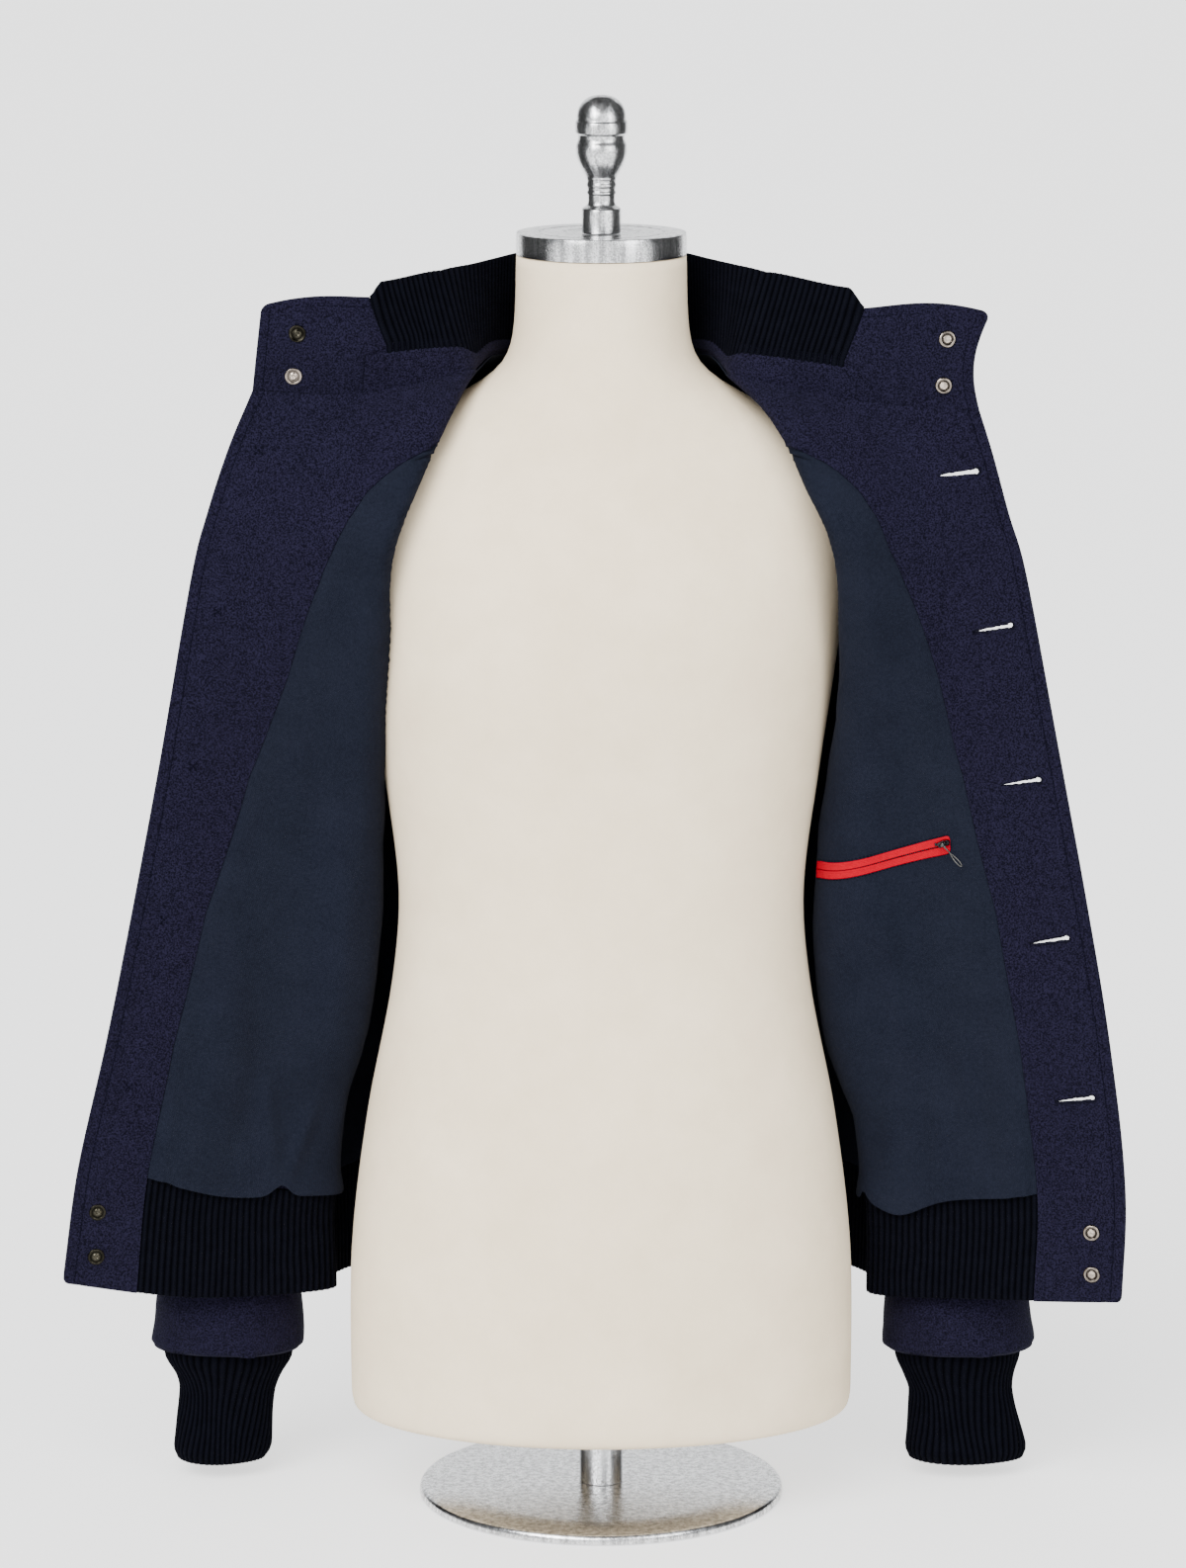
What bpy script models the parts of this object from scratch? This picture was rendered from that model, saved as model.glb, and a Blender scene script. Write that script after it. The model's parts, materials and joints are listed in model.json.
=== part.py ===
"""Navy wool bomber jacket, worn open on a limbless dress form that stands on a low metal foot.

Metres, +Z up, front towards -Y, the wearer's right at -X.
The origin is the centre of the foot's underside, on the surface that it stands on.
"""

import math
from collections import namedtuple
from functools import lru_cache

import bmesh
import bpy
import numpy as np
from mathutils import Matrix, Vector

# ---------------------------------------------------------------- driving dimensions

SEAM = 0.0004  # gap between two pieces at a seam
LAYER_GAP = 0.0007  # gap between two layers of cloth
WOOL = 0.0016  # felted wool of the outer panels, sleeves and collar tabs
FACING = 0.0012  # wool facing inside each front edge
LINING = 0.0010  # cotton jersey lining
RIB_KNIT = 0.0024  # doubled rib knit, without the height of its ribs
RIB_RAISE = 0.0008  # each rib stands this far out of the knit's middle
TAPE = 0.0008  # zip tape
INNER_FACE = WOOL + LAYER_GAP  # depth below the outer face at which facing and lining begin

HEM_RIBS = 104
COLLAR_RIBS = 62
CUFF_RIBS = 24

SNAP_RADIUS = 0.0062
BUTTON_RADIUS = 0.011
BUTTON_HEIGHTS = (0.786, 0.674, 0.562, 0.447, 0.322)
BUTTON_INSET = 0.024  # from the front edge to a button's centre

FORM_BASE = 0.066  # height of the form's underside above the floor
FORM_TOP = 0.9215  # top of the neck, under the metal cap
CAP_RADIUS = 0.0612
CAP_THICKNESS = 0.0165
PLATE_RADIUS = 0.135
PLATE_THICKNESS = 0.008
POLE_RADIUS = 0.016

# Each level of the jacket's body is one row of cloth, from the neckline down to the hem.
# A row runs from the front edge, over the opened front to the roll where the cloth turns back,
# then to the shoulder seam, armhole or side seam, and on across the back.
NECKLINE, SHOULDER_TIP, UNDERARM, RIB_TOP, HEM = 0, 2, 4, 7, 8

Front = namedtuple("Front", "level edge_right edge_left roll_right roll_left")
FRONT = [
    Front(0, (-0.248, -0.055, 0.831), (0.269, -0.055, 0.816), (-0.096, -0.030, 0.841), (0.096, -0.030, 0.838)),
    Front(1, (-0.265, -0.060, 0.790), (0.279, -0.060, 0.783), (-0.110, -0.062, 0.815), (0.124, -0.062, 0.812)),
    Front(2, (-0.280, -0.062, 0.744), (0.290, -0.062, 0.742), (-0.138, -0.090, 0.757), (0.152, -0.090, 0.760)),
    Front(3, (-0.293, -0.062, 0.694), (0.304, -0.062, 0.694), (-0.160, -0.078, 0.696), (0.174, -0.078, 0.696)),
    Front(4, (-0.319, -0.058, 0.555), (0.332, -0.058, 0.555), (-0.171, -0.020, 0.545), (0.178, -0.020, 0.545)),
    Front(5, (-0.339, -0.054, 0.453), (0.352, -0.054, 0.453), (-0.171, -0.007, 0.445), (0.175, -0.007, 0.445)),
    Front(6, (-0.360, -0.051, 0.353), (0.370, -0.051, 0.350), (-0.181, 0.002, 0.343), (0.182, 0.002, 0.343)),
    Front(7, (-0.382, -0.046, 0.259), (0.383, -0.046, 0.243), (-0.200, 0.008, 0.229), (0.200, 0.008, 0.226)),
    Front(8, (-0.395, -0.042, 0.172), (0.382, -0.042, 0.157), (-0.201, 0.010, 0.153), (0.201, 0.010, 0.149)),
]

# How far each row of a front sags in the middle of the opened part.
Sag = namedtuple("Sag", "level right left")
SAGS = [
    Sag(0.0, 0.009, 0.005),
    Sag(1.0, 0.003, 0.002),
    Sag(2.0, 0.0, 0.0),
    Sag(6.5, 0.0, 0.0),
    Sag(7.0, 0.001, 0.0),
    Sag(8.0, 0.008, 0.0),
]

Back = namedtuple("Back", "level blade centre")
BACK = [
    Back(0, (0.055, 0.062, 0.844), (0.0, 0.083, 0.840)),
    Back(1, (0.098, 0.072, 0.816), (0.0, 0.100, 0.800)),
    Back(2, (0.140, 0.096, 0.762), (0.0, 0.121, 0.748)),
    Back(3, (0.142, 0.120, 0.680), (0.0, 0.138, 0.665)),
    Back(4, (0.148, 0.122, 0.546), (0.0, 0.146, 0.545)),
    Back(5, (0.141, 0.126, 0.448), (0.0, 0.147, 0.447)),
    Back(6, (0.142, 0.130, 0.344), (0.0, 0.150, 0.344)),
    Back(7, (0.146, 0.124, 0.232), (0.0, 0.146, 0.232)),
    Back(8, (0.144, 0.118, 0.152), (0.0, 0.138, 0.152)),
]

Seam = namedtuple("Seam", "level point")
SHOULDER_SEAM = [
    Seam(0, (0.081, 0.006, 0.850)),
    Seam(1, (0.138, 0.004, 0.814)),
    Seam(2, (0.205, 0.004, 0.772)),
]
SIDE_SEAM = [
    Seam(4, (0.198, 0.030, 0.572)),
    Seam(5, (0.187, 0.045, 0.460)),
    Seam(6, (0.191, 0.050, 0.348)),
    Seam(7, (0.203, 0.054, 0.230)),
    Seam(8, (0.203, 0.054, 0.151)),
]

# Rings of a sleeve, from the armhole to the seam inside the gathered wrist.
Ring = namedtuple("Ring", "outer front inner back")
SLEEVE = [
    Ring((0.205, 0.004, 0.772), (0.197, -0.042, 0.672), (0.198, 0.030, 0.572), (0.205, 0.072, 0.678)),
    Ring((0.238, 0.006, 0.750), (0.221, -0.044, 0.655), (0.207, 0.030, 0.563), (0.229, 0.077, 0.660)),
    Ring((0.262, 0.010, 0.700), (0.237, -0.042, 0.615), (0.210, 0.030, 0.537), (0.243, 0.080, 0.620)),
    Ring((0.278, 0.016, 0.620), (0.245, -0.034, 0.550), (0.211, 0.031, 0.490), (0.250, 0.084, 0.555)),
    Ring((0.294, 0.028, 0.500), (0.253, -0.020, 0.445), (0.212, 0.036, 0.400), (0.256, 0.087, 0.450)),
    Ring((0.310, 0.038, 0.340), (0.264, -0.004, 0.310), (0.218, 0.042, 0.290), (0.264, 0.089, 0.310)),
    Ring((0.316, 0.045, 0.190), (0.271, 0.004, 0.180), (0.222, 0.046, 0.180), (0.271, 0.088, 0.180)),
    Ring((0.325, 0.046, 0.124), (0.272, 0.001, 0.118), (0.217, 0.046, 0.122), (0.272, 0.091, 0.122)),
    Ring((0.328, 0.046, 0.106), (0.273, 0.004, 0.099), (0.218, 0.046, 0.104), (0.273, 0.088, 0.103)),
    Ring((0.3255, 0.046, 0.109), (0.273, 0.010, 0.109), (0.2205, 0.046, 0.109), (0.273, 0.082, 0.109)),
]
SLEEVE_LEAN = -0.006  # both sleeves end this far towards -X

CuffRing = namedtuple("CuffRing", "z right left half_right half_left half_depth")
CUFF = [  # right and left are the x of each ring's centre
    CuffRing(0.1055, -0.279, 0.2670, 0.0462, 0.0462, 0.0318),
    CuffRing(0.090, -0.279, 0.2670, 0.0440, 0.0445, 0.0310),
    CuffRing(0.066, -0.280, 0.2700, 0.0352, 0.0385, 0.0262),
    CuffRing(0.012, -0.2865, 0.2735, 0.0368, 0.0468, 0.0278),
]
CUFF_Y = 0.046

# Where the wool facing ends and the lining begins, as a station of each row:
# 0 is the front edge, 1 the middle of the opened front, 2 the roll, 3 half way back, 4 the seam.
EDGE, WING, ROLL, UNDER, BODY_SEAM = 0, 1, 2, 3, 4
FacingSeam = namedtuple("FacingSeam", "level right left")
FACING_SEAM = [
    FacingSeam(0.0, 1.98, 1.98),
    FacingSeam(1.0, 1.95, 1.95),
    FacingSeam(1.5, 1.73, 1.75),
    FacingSeam(2.0, 1.47, 1.48),
    FacingSeam(3.0, 1.33, 1.27),
    FacingSeam(3.5, 1.15, 1.08),
    FacingSeam(4.0, 0.88, 0.92),
    FacingSeam(5.0, 0.62, 0.74),
    FacingSeam(6.0, 0.54, 0.68),
    FacingSeam(8.0, 0.55, 0.70),
]

# Soft folds of the body: where the fold's middle is, how far it reaches and how high it stands.
# Stations 4 to 8 run across the back from the wearer's right side seam to the left one.
Fold = namedtuple("Fold", "station level half_station half_level height")
FRONT_FOLDS = [
    Fold(1.35, 5.3, 0.28, 1.4, 0.0030),
    Fold(0.80, 5.9, 0.30, 1.0, -0.0020),
    Fold(1.72, 4.1, 0.16, 1.0, -0.0025),
    Fold(0.75, 3.0, 0.30, 0.9, 0.0025),
]
BACK_FOLDS = [
    Fold(4.75, 5.4, 0.16, 1.2, 0.0060),
    Fold(5.25, 5.8, 0.14, 1.0, -0.0050),
    Fold(6.15, 5.2, 0.20, 1.5, 0.0045),
    Fold(6.90, 5.7, 0.15, 1.1, -0.0050),
    Fold(7.30, 5.3, 0.16, 1.2, 0.0065),
]
BLOUSE_LEVEL = 6.55  # the body swells out here, above the gathered rib
BLOUSE_HEIGHT = 0.007

CollarTop = namedtuple("CollarTop", "right left")
COLLAR_TOP = [
    CollarTop((-0.241, -0.052, 0.891), (0.276, -0.052, 0.886)),  # front edge
    CollarTop((-0.166, -0.052, 0.897), (0.188, -0.052, 0.889)),  # end of the wool tab
    CollarTop((-0.116, -0.018, 0.912), (0.118, -0.018, 0.911)),  # above the roll
    CollarTop((-0.094, 0.008, 0.914), (0.095, 0.008, 0.914)),
    CollarTop((-0.081, 0.030, 0.915), (0.081, 0.030, 0.915)),  # above the shoulder seam
    CollarTop((-0.052, 0.072, 0.917), (0.052, 0.072, 0.917)),
    CollarTop((0.0, 0.091, 0.918), (0.0, 0.091, 0.918)),  # centre back
]
TAB_END = 1.02  # station at which each wool tab of the collar ends
STAND_AT_TAB = 0.36  # height of the wool stand under the rib, as a share of the collar's
STAND_AT_BACK = 0.13

FormRing = namedtuple("FormRing", "z half_width half_depth")
FORM = [
    FormRing(FORM_BASE, 0.177, 0.113),
    FormRing(0.071, 0.183, 0.119),
    FormRing(0.083, 0.185, 0.1215),
    FormRing(0.190, 0.184, 0.124),
    FormRing(0.290, 0.172, 0.118),
    FormRing(0.390, 0.153, 0.109),
    FormRing(0.460, 0.148, 0.106),
    FormRing(0.550, 0.159, 0.113),
    FormRing(0.640, 0.172, 0.121),
    FormRing(0.700, 0.179, 0.120),
    FormRing(0.742, 0.184, 0.108),
    FormRing(0.765, 0.180, 0.096),
    FormRing(0.784, 0.162, 0.086),
    FormRing(0.803, 0.135, 0.078),
    FormRing(0.820, 0.105, 0.072),
    FormRing(0.834, 0.082, 0.068),
    FormRing(0.848, 0.0690, 0.0655),
    FormRing(0.870, 0.0630, 0.0630),
    FormRing(FORM_TOP, 0.0610, 0.0610),
]

Turned = namedtuple("Turned", "z radius")
FINIAL = [  # height above the cap, from the top of the knob down
    Turned(0.0985, 0.0),
    Turned(0.0970, 0.0080),
    Turned(0.0905, 0.0143),
    Turned(0.0810, 0.0166),
    Turned(0.0795, 0.0185),
    Turned(0.0720, 0.0186),
    Turned(0.0700, 0.0168),
    Turned(0.0655, 0.0168),
    Turned(0.0595, 0.0183),
    Turned(0.0490, 0.0158),
    Turned(0.0395, 0.0103),
    Turned(0.0250, 0.0094),
    Turned(0.0200, 0.0098),
    Turned(0.0180, 0.0133),
    Turned(0.0, 0.0133),
]

RIGHT, LEFT = "right", "left"
SIDES = (RIGHT, LEFT)

# ---------------------------------------------------------------- materials

Finish = namedtuple("Finish", "colour roughness metallic")
FINISHES = {
    "wool": Finish((0.022, 0.024, 0.062), 0.95, 0.0),
    "lining": Finish((0.013, 0.024, 0.042), 0.85, 0.0),
    "rib": Finish((0.004, 0.005, 0.013), 0.95, 0.0),
    "form_cloth": Finish((0.78, 0.73, 0.65), 0.9, 0.0),
    "satin_metal": Finish((0.62, 0.63, 0.65), 0.32, 1.0),
    "snap_metal": Finish((0.70, 0.66, 0.62), 0.25, 1.0),
    "button": Finish((0.016, 0.018, 0.035), 0.35, 0.0),
    "zip_tape": Finish((0.62, 0.010, 0.016), 0.8, 0.0),
    "dark_metal": Finish((0.045, 0.048, 0.055), 0.3, 1.0),
}


def make_material(name):
    finish = FINISHES[name]
    material = bpy.data.materials.new(name)
    material.use_nodes = True
    shader = material.node_tree.nodes["Principled BSDF"]
    shader.inputs["Base Color"].default_value = (*finish.colour, 1.0)
    shader.inputs["Roughness"].default_value = finish.roughness
    shader.inputs["Metallic"].default_value = finish.metallic
    return material


# ---------------------------------------------------------------- smooth curves


def smooth_point(before, start, end, after, share):
    """A point between start and end on a smooth curve through all four (centripetal Catmull-Rom)."""
    knots = [0.0]
    for a, b in ((before, start), (start, end), (end, after)):
        knots.append(knots[-1] + max(math.sqrt(np.linalg.norm(b - a)), 1e-6))
    t = knots[1] + share * (knots[2] - knots[1])

    def between(p, q, low, high):
        return p + (q - p) * ((t - low) / (high - low))

    a1 = between(before, start, knots[0], knots[1])
    a2 = between(start, end, knots[1], knots[2])
    a3 = between(end, after, knots[2], knots[3])
    b1 = between(a1, a2, knots[0], knots[2])
    b2 = between(a2, a3, knots[1], knots[3])
    return between(b1, b2, knots[1], knots[2])


def along(points, station):
    """A point on the smooth curve through points, where station 0 is the first and 1 the second."""
    k = min(max(int(math.floor(station)), 0), len(points) - 2)
    before = points[k - 1] if k > 0 else 2 * points[0] - points[1]
    after = points[k + 2] if k + 2 < len(points) else 2 * points[-1] - points[-2]
    return smooth_point(before, points[k], points[k + 1], after, station - k)


def table_value(levels, values, level):
    """Smooth interpolation of a table's column at a level between its rows."""
    level = min(max(level, levels[0]), levels[-1])
    k = min(max(int(np.searchsorted(levels, level, side="right")) - 1, 0), len(levels) - 2)
    span = levels[k + 1] - levels[k]
    t = (level - levels[k]) / span
    p0, p1 = values[k], values[k + 1]
    m0 = slope(levels, values, k) * span
    m1 = slope(levels, values, k + 1) * span
    return (
        (2 * t**3 - 3 * t**2 + 1) * p0
        + (t**3 - 2 * t**2 + t) * m0
        + (3 * t**2 - 2 * t**3) * p1
        + (t**3 - t**2) * m1
    )


def slope(levels, values, k):
    low, high = max(k - 1, 0), min(k + 1, len(levels) - 1)
    return (values[high] - values[low]) / (levels[high] - levels[low])


def column(table, name):
    levels = [row.level for row in table]
    return levels, [np.array(getattr(row, name), float) for row in table]


def mirrored(point):
    return point * np.array([-1.0, 1.0, 1.0])


def to_side(point, side):
    """Tables of symmetric lines are written for the wearer's left, at +X."""
    return point if side == LEFT else mirrored(point)


def rise(value, low, high):
    """0 below low, 1 above high, and a smooth ramp between them."""
    t = min(max((value - low) / (high - low), 0.0), 1.0)
    return t * t * (3 - 2 * t)


def bell(value, middle, half):
    return math.exp(-(((value - middle) / half) ** 2))


# ---------------------------------------------------------------- the jacket's body surface


def sleeve_ring(ring, angle):
    """A point of a closed ring; angle 0 is its outer side, a quarter turn its front."""
    o, f, i, b = (np.array(p, float) for p in ring)
    middle = (o + f + i + b) / 4
    pinch = (o - f + i - b) / 4
    return (
        middle
        + (o - i) / 2 * math.cos(angle)
        + (f - b) / 2 * math.sin(angle)
        + pinch * math.cos(2 * angle)
    )


def seam_point(level, towards_back):
    """The shoulder seam, then the armhole's front or back edge, then the side seam."""
    if level <= SHOULDER_TIP:
        return table_value(*column(SHOULDER_SEAM, "point"), level)
    if level >= UNDERARM:
        return table_value(*column(SIDE_SEAM, "point"), level)
    angle = math.pi * (level - SHOULDER_TIP) / (UNDERARM - SHOULDER_TIP)
    return sleeve_ring(SLEEVE[0], -angle if towards_back else angle)


def armhole_share(level):
    """1 along the armhole, where a row stops at the sleeve, and 0 where it goes on to the next panel."""
    return rise(level, SHOULDER_TIP, SHOULDER_TIP + 0.3) * (1 - rise(level, UNDERARM - 0.3, UNDERARM))


@lru_cache(maxsize=None)
def front_keys(side, level):
    """The points that a row of one front passes: edge, wing, roll, under, seam, and on to the back."""
    edge = table_value(*column(FRONT, f"edge_{side}"), level)
    roll = table_value(*column(FRONT, f"roll_{side}"), level)
    seam = to_side(seam_point(level, towards_back=False), side)
    blade = to_side(table_value(*column(BACK, "blade"), level), side)
    sag = float(np.interp(level, [row.level for row in SAGS], [getattr(row, side) for row in SAGS]))
    wing = 0.5 * (edge + roll) + np.array([0.0, -0.005, -sag])
    under = 0.55 * roll + 0.45 * seam
    cut = armhole_share(level)
    beyond = (1 - cut) * blade + cut * (2 * seam - under)
    return [edge, wing, roll, under, seam, beyond]


@lru_cache(maxsize=None)
def back_keys(level):
    """The points that a row of the back passes, from the right side's under point to the left's."""
    seam = seam_point(level, towards_back=True)
    blade = table_value(*column(BACK, "blade"), level)
    centre = table_value(*column(BACK, "centre"), level)
    cut = armhole_share(level)
    beyond_right = (1 - cut) * front_keys(RIGHT, level)[UNDER] + cut * mirrored(1.4 * seam - 0.4 * blade)
    beyond_left = (1 - cut) * front_keys(LEFT, level)[UNDER] + cut * (1.4 * seam - 0.4 * blade)
    return [beyond_right, mirrored(seam), mirrored(blade), centre, blade, seam, beyond_left]


def smooth_body(piece, station, level):
    if piece == "back":
        return along(back_keys(level), station - BODY_SEAM + 1)
    keys = front_keys(piece, level)
    k = min(int(station), UNDER)
    before = keys[k - 1] if k > 0 else 2 * keys[0] - keys[1]
    return smooth_point(before, keys[k], keys[k + 1], keys[k + 2], station - k)


def fold_height(piece, station, level):
    """How far the soft folds and the blouse above the rib push the cloth out at a point."""
    folds = BACK_FOLDS if piece == "back" else FRONT_FOLDS
    height = sum(
        f.height * bell(station, f.station, f.half_station) * bell(level, f.level, f.half_level)
        for f in folds
    )
    blouse = BLOUSE_HEIGHT * bell(level, BLOUSE_LEVEL, 0.40)
    if piece != "back":
        blouse *= rise(station, 0.7, 2.2)
    fade = rise(level, 0.3, 2.4) * (1 - rise(level, 6.6, 7.0))
    return height * fade + blouse * (1 - rise(level, 6.85, 7.05) * 0.9)


@lru_cache(maxsize=None)
def smooth_normal(piece, station, level):
    """Unit normal of the body surface, pointing away from the wearer."""
    step = 0.004
    low, high = (4.0, 8.0) if piece == "back" else (0.0, 4.0)
    s0, s1 = max(station - step, low), min(station + step, high)
    u0, u1 = max(level - step, NECKLINE), min(level + step, HEM)
    across = smooth_body(piece, s1, level) - smooth_body(piece, s0, level)
    down = smooth_body(piece, station, u1) - smooth_body(piece, station, u0)
    normal = np.cross(across, down)
    if piece == LEFT:
        normal = -normal
    return normal / np.linalg.norm(normal)


def body(piece, station, level, depth=0.0):
    """A point of the jacket's body, depth below its outer face."""
    normal = smooth_normal(piece, station, level)
    return smooth_body(piece, station, level) + normal * (fold_height(piece, station, level) - depth)


def station_step(piece, station, level, distance):
    """How much a station changes over a short distance along its row."""
    step = 0.01 if station < (7.9 if piece == "back" else 3.9) else -0.01
    length = np.linalg.norm(smooth_body(piece, station + step, level) - smooth_body(piece, station, level))
    return distance * abs(step) / length


def facing_seam(side, level):
    levels = [row.level for row in FACING_SEAM]
    values = [getattr(row, side) for row in FACING_SEAM]
    return float(np.interp(level, levels, values))


# ---------------------------------------------------------------- meshes from rows of points


def new_object(name, mesh, material):
    thing = bpy.data.objects.new(name, mesh)
    PARTS.objects.link(thing)
    mesh.materials.append(MATERIALS[material])
    return thing


def shade(mesh, sharp_degrees=40):
    mesh.shade_smooth()
    mesh.set_sharp_from_angle(angle=math.radians(sharp_degrees))


def wall(name, outer, inner, material, closed=False, keep=None):
    """A closed thin wall between two grids of points of the same size.

    closed joins the last column to the first. keep(row, column) says which cells are cloth.
    Both faces split each cell along the same diagonal, so that the wall keeps its thickness.
    """
    rows, columns = len(outer), len(outer[0])
    wrap = columns if closed else columns - 1
    bm = bmesh.new()
    verts = {}

    def vert(face, i, j):
        key = (face, i, j % columns)
        if key not in verts:
            grid = outer if face == 0 else inner
            verts[key] = bm.verts.new(grid[i][j % columns])
        return verts[key]

    cells = {(i, j) for i in range(rows - 1) for j in range(wrap) if keep is None or keep(i, j)}
    for i, j in cells:
        for face in (0, 1):
            a, b = vert(face, i, j), vert(face, i, j + 1)
            c, d = vert(face, i + 1, j + 1), vert(face, i + 1, j)
            for corners in ((a, b, c), (a, c, d)):
                bm.faces.new(corners if face == 0 else corners[::-1])
        sides = (
            ((i, j), (i, j + 1), (i - 1, j)),
            ((i, j + 1), (i + 1, j + 1), (i, j + 1)),
            ((i + 1, j + 1), (i + 1, j), (i + 1, j)),
            ((i + 1, j), (i, j), (i, j - 1)),
        )
        for start, end, (ni, nj) in sides:
            neighbour = (ni, nj % columns) if closed else (ni, nj)
            if neighbour not in cells:
                p, q = vert(0, *start), vert(0, *end)
                r, s = vert(1, *end), vert(1, *start)
                bm.faces.new((q, p, s))
                bm.faces.new((q, s, r))
    bmesh.ops.recalc_face_normals(bm, faces=bm.faces)
    mesh = bpy.data.meshes.new(name)
    bm.to_mesh(mesh)
    bm.free()
    shade(mesh)
    return new_object(name, mesh, material)


def turned(name, profile, segments, material, place=Matrix.Identity(4), closed=False):
    """A turned solid: a profile of (radius, height) points, top to bottom, swept by a Screw modifier."""
    mesh = bpy.data.meshes.new(name)
    count = len(profile)
    edges = [(k, k + 1) for k in range(count - 1)] + ([(count - 1, 0)] if closed else [])
    mesh.from_pydata([(r, 0.0, z) for r, z in profile], edges, [])
    thing = new_object(name, mesh, material)
    screw = thing.modifiers.new("turn", "SCREW")
    screw.steps = screw.render_steps = segments
    screw.use_merge_vertices = True
    screw.merge_threshold = 0.00001
    screw.use_smooth_shade = True
    thing.matrix_world = place
    return thing


def frame_at(point, normal, downwards=Vector((0, 0, -1))):
    """A place on the cloth, with local +Z along its normal and local -Y as far downwards as it can be."""
    z = Vector(normal).normalized()
    y = -(downwards - z * downwards.dot(z)).normalized()
    x = y.cross(z)
    return Matrix.Translation(Vector(point)) @ Matrix((x, y, z)).transposed().to_4x4()


# ---------------------------------------------------------------- body panels, facings and lining

SHOULDER_ROWS = 4
ARMHOLE_ROWS = 8
SIDE_ROWS = 4
LEVELS = (
    [SHOULDER_TIP * k / SHOULDER_ROWS for k in range(SHOULDER_ROWS)]
    + [SHOULDER_TIP + 2 * k / ARMHOLE_ROWS for k in range(ARMHOLE_ROWS)]
    + [UNDERARM + (RIB_TOP - UNDERARM) * k / SIDE_ROWS for k in range(SIDE_ROWS)]
    + [RIB_TOP - 0.002]
)
TAB_LEVELS = [float(HEM)]
FACING_CELLS = 5
LINED_CELLS = 12
BACK_CELLS = 12


@lru_cache(maxsize=None)
def front_stations(side, level):
    """Stations of a front's columns: evenly over the facing, then on to the seam, closest at the roll."""
    turn = facing_seam(side, level)
    last = BODY_SEAM - station_step(side, BODY_SEAM, level, SEAM / 2)
    over_facing = [turn * k / FACING_CELLS for k in range(FACING_CELLS)]
    samples = np.linspace(turn, last, 200)
    weights = 1.0 + 3.4 * np.exp(-(((samples - 1.88) / 0.32) ** 2))
    sums = np.concatenate([[0.0], np.cumsum(0.5 * (weights[1:] + weights[:-1]))])
    over_lining = np.interp(np.linspace(0.0, sums[-1], LINED_CELLS + 1), sums, samples)
    return tuple(over_facing) + tuple(float(s) for s in over_lining)


def back_stations(level):
    gap = station_step("back", BODY_SEAM, level, SEAM / 2)
    return tuple(BODY_SEAM + gap + (4 - 2 * gap) * k / BACK_CELLS for k in range(BACK_CELLS + 1))


Grid = namedtuple("Grid", "levels stations points inwards")


@lru_cache(maxsize=None)
def panel_grid(piece):
    """The outer face of a panel as a grid of points, and the step from each to one unit of depth.

    Inside the grid the step is square to the flat facets around a point, so that all layers stay
    parallel. Along the border it is the smooth surface's normal, which the next panel shares.
    """
    levels = LEVELS if piece == "back" else LEVELS + TAB_LEVELS
    find = back_stations if piece == "back" else lambda level: front_stations(piece, level)
    stations = [find(level) for level in levels]
    points = np.array([[body(piece, s, u) for s in row] for u, row in zip(levels, stations)])
    smooth = np.array([[smooth_normal(piece, s, u) for s in row] for u, row in zip(levels, stations)])
    sums, counts = np.zeros_like(points), np.zeros(points.shape[:2])
    a, b = points[:-1, :-1], points[:-1, 1:]
    d, c = points[1:, :-1], points[1:, 1:]
    upper, lower = np.cross(b - a, c - a), np.cross(c - a, d - a)
    corners = {"a": (0, 0), "b": (0, 1), "c": (1, 1), "d": (1, 0)}
    rows, columns = points.shape[0] - 1, points.shape[1] - 1
    for facets, names in ((upper, "abc"), (lower, "acd")):
        unit = facets / np.linalg.norm(facets, axis=2, keepdims=True)
        for name in names:
            i, j = corners[name]
            sums[i : i + rows, j : j + columns] += unit
            counts[i : i + rows, j : j + columns] += 1
    mean = sums / counts[..., None]
    if np.sum(mean * smooth) < 0:
        mean = -mean
    length = np.linalg.norm(mean, axis=2, keepdims=True)
    inwards = -mean / np.maximum(length, 0.85) ** 2
    for border in (np.s_[0], np.s_[len(LEVELS) - 1 :], np.s_[:, 0], np.s_[:, -1]):
        inwards[border] = -smooth[border]
    return Grid(levels, stations, points, inwards)


def layer(piece, depth):
    """All points of a panel's grid at one depth below its outer face."""
    grid = panel_grid(piece)
    return grid.points + grid.inwards * depth


def on_facets(piece, station, level, depth):
    """A point and its outward normal on the flat facets of a panel, at a depth below its outer face."""
    grid = panel_grid(piece)
    i = min(max(int(np.searchsorted(grid.levels, level, side="right")) - 1, 0), len(grid.levels) - 2)
    v = (level - grid.levels[i]) / (grid.levels[i + 1] - grid.levels[i])
    here = (1 - v) * np.array(grid.stations[i]) + v * np.array(grid.stations[i + 1])
    j = min(max(int(np.searchsorted(here, station, side="right")) - 1, 0), len(here) - 2)
    u = (station - here[j]) / (here[j + 1] - here[j])
    points = layer(piece, depth)
    a, b, d, c = points[i][j], points[i][j + 1], points[i + 1][j], points[i + 1][j + 1]
    if u >= v:
        point, normal = a * (1 - u) + b * (u - v) + c * v, np.cross(b - a, c - a)
    else:
        point, normal = a * (1 - v) + c * u + d * (v - u), np.cross(c - a, d - a)
    if np.dot(normal, grid.inwards[i][j]) > 0:
        normal = -normal
    return point, normal / np.linalg.norm(normal)


def front_panel(side):
    rib_row = len(LEVELS) - 1

    def is_cloth(i, j):
        return i < rib_row or j < FACING_CELLS

    return wall(f"front_{side}", layer(side, 0.0), layer(side, WOOL), "wool", keep=is_cloth)


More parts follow.
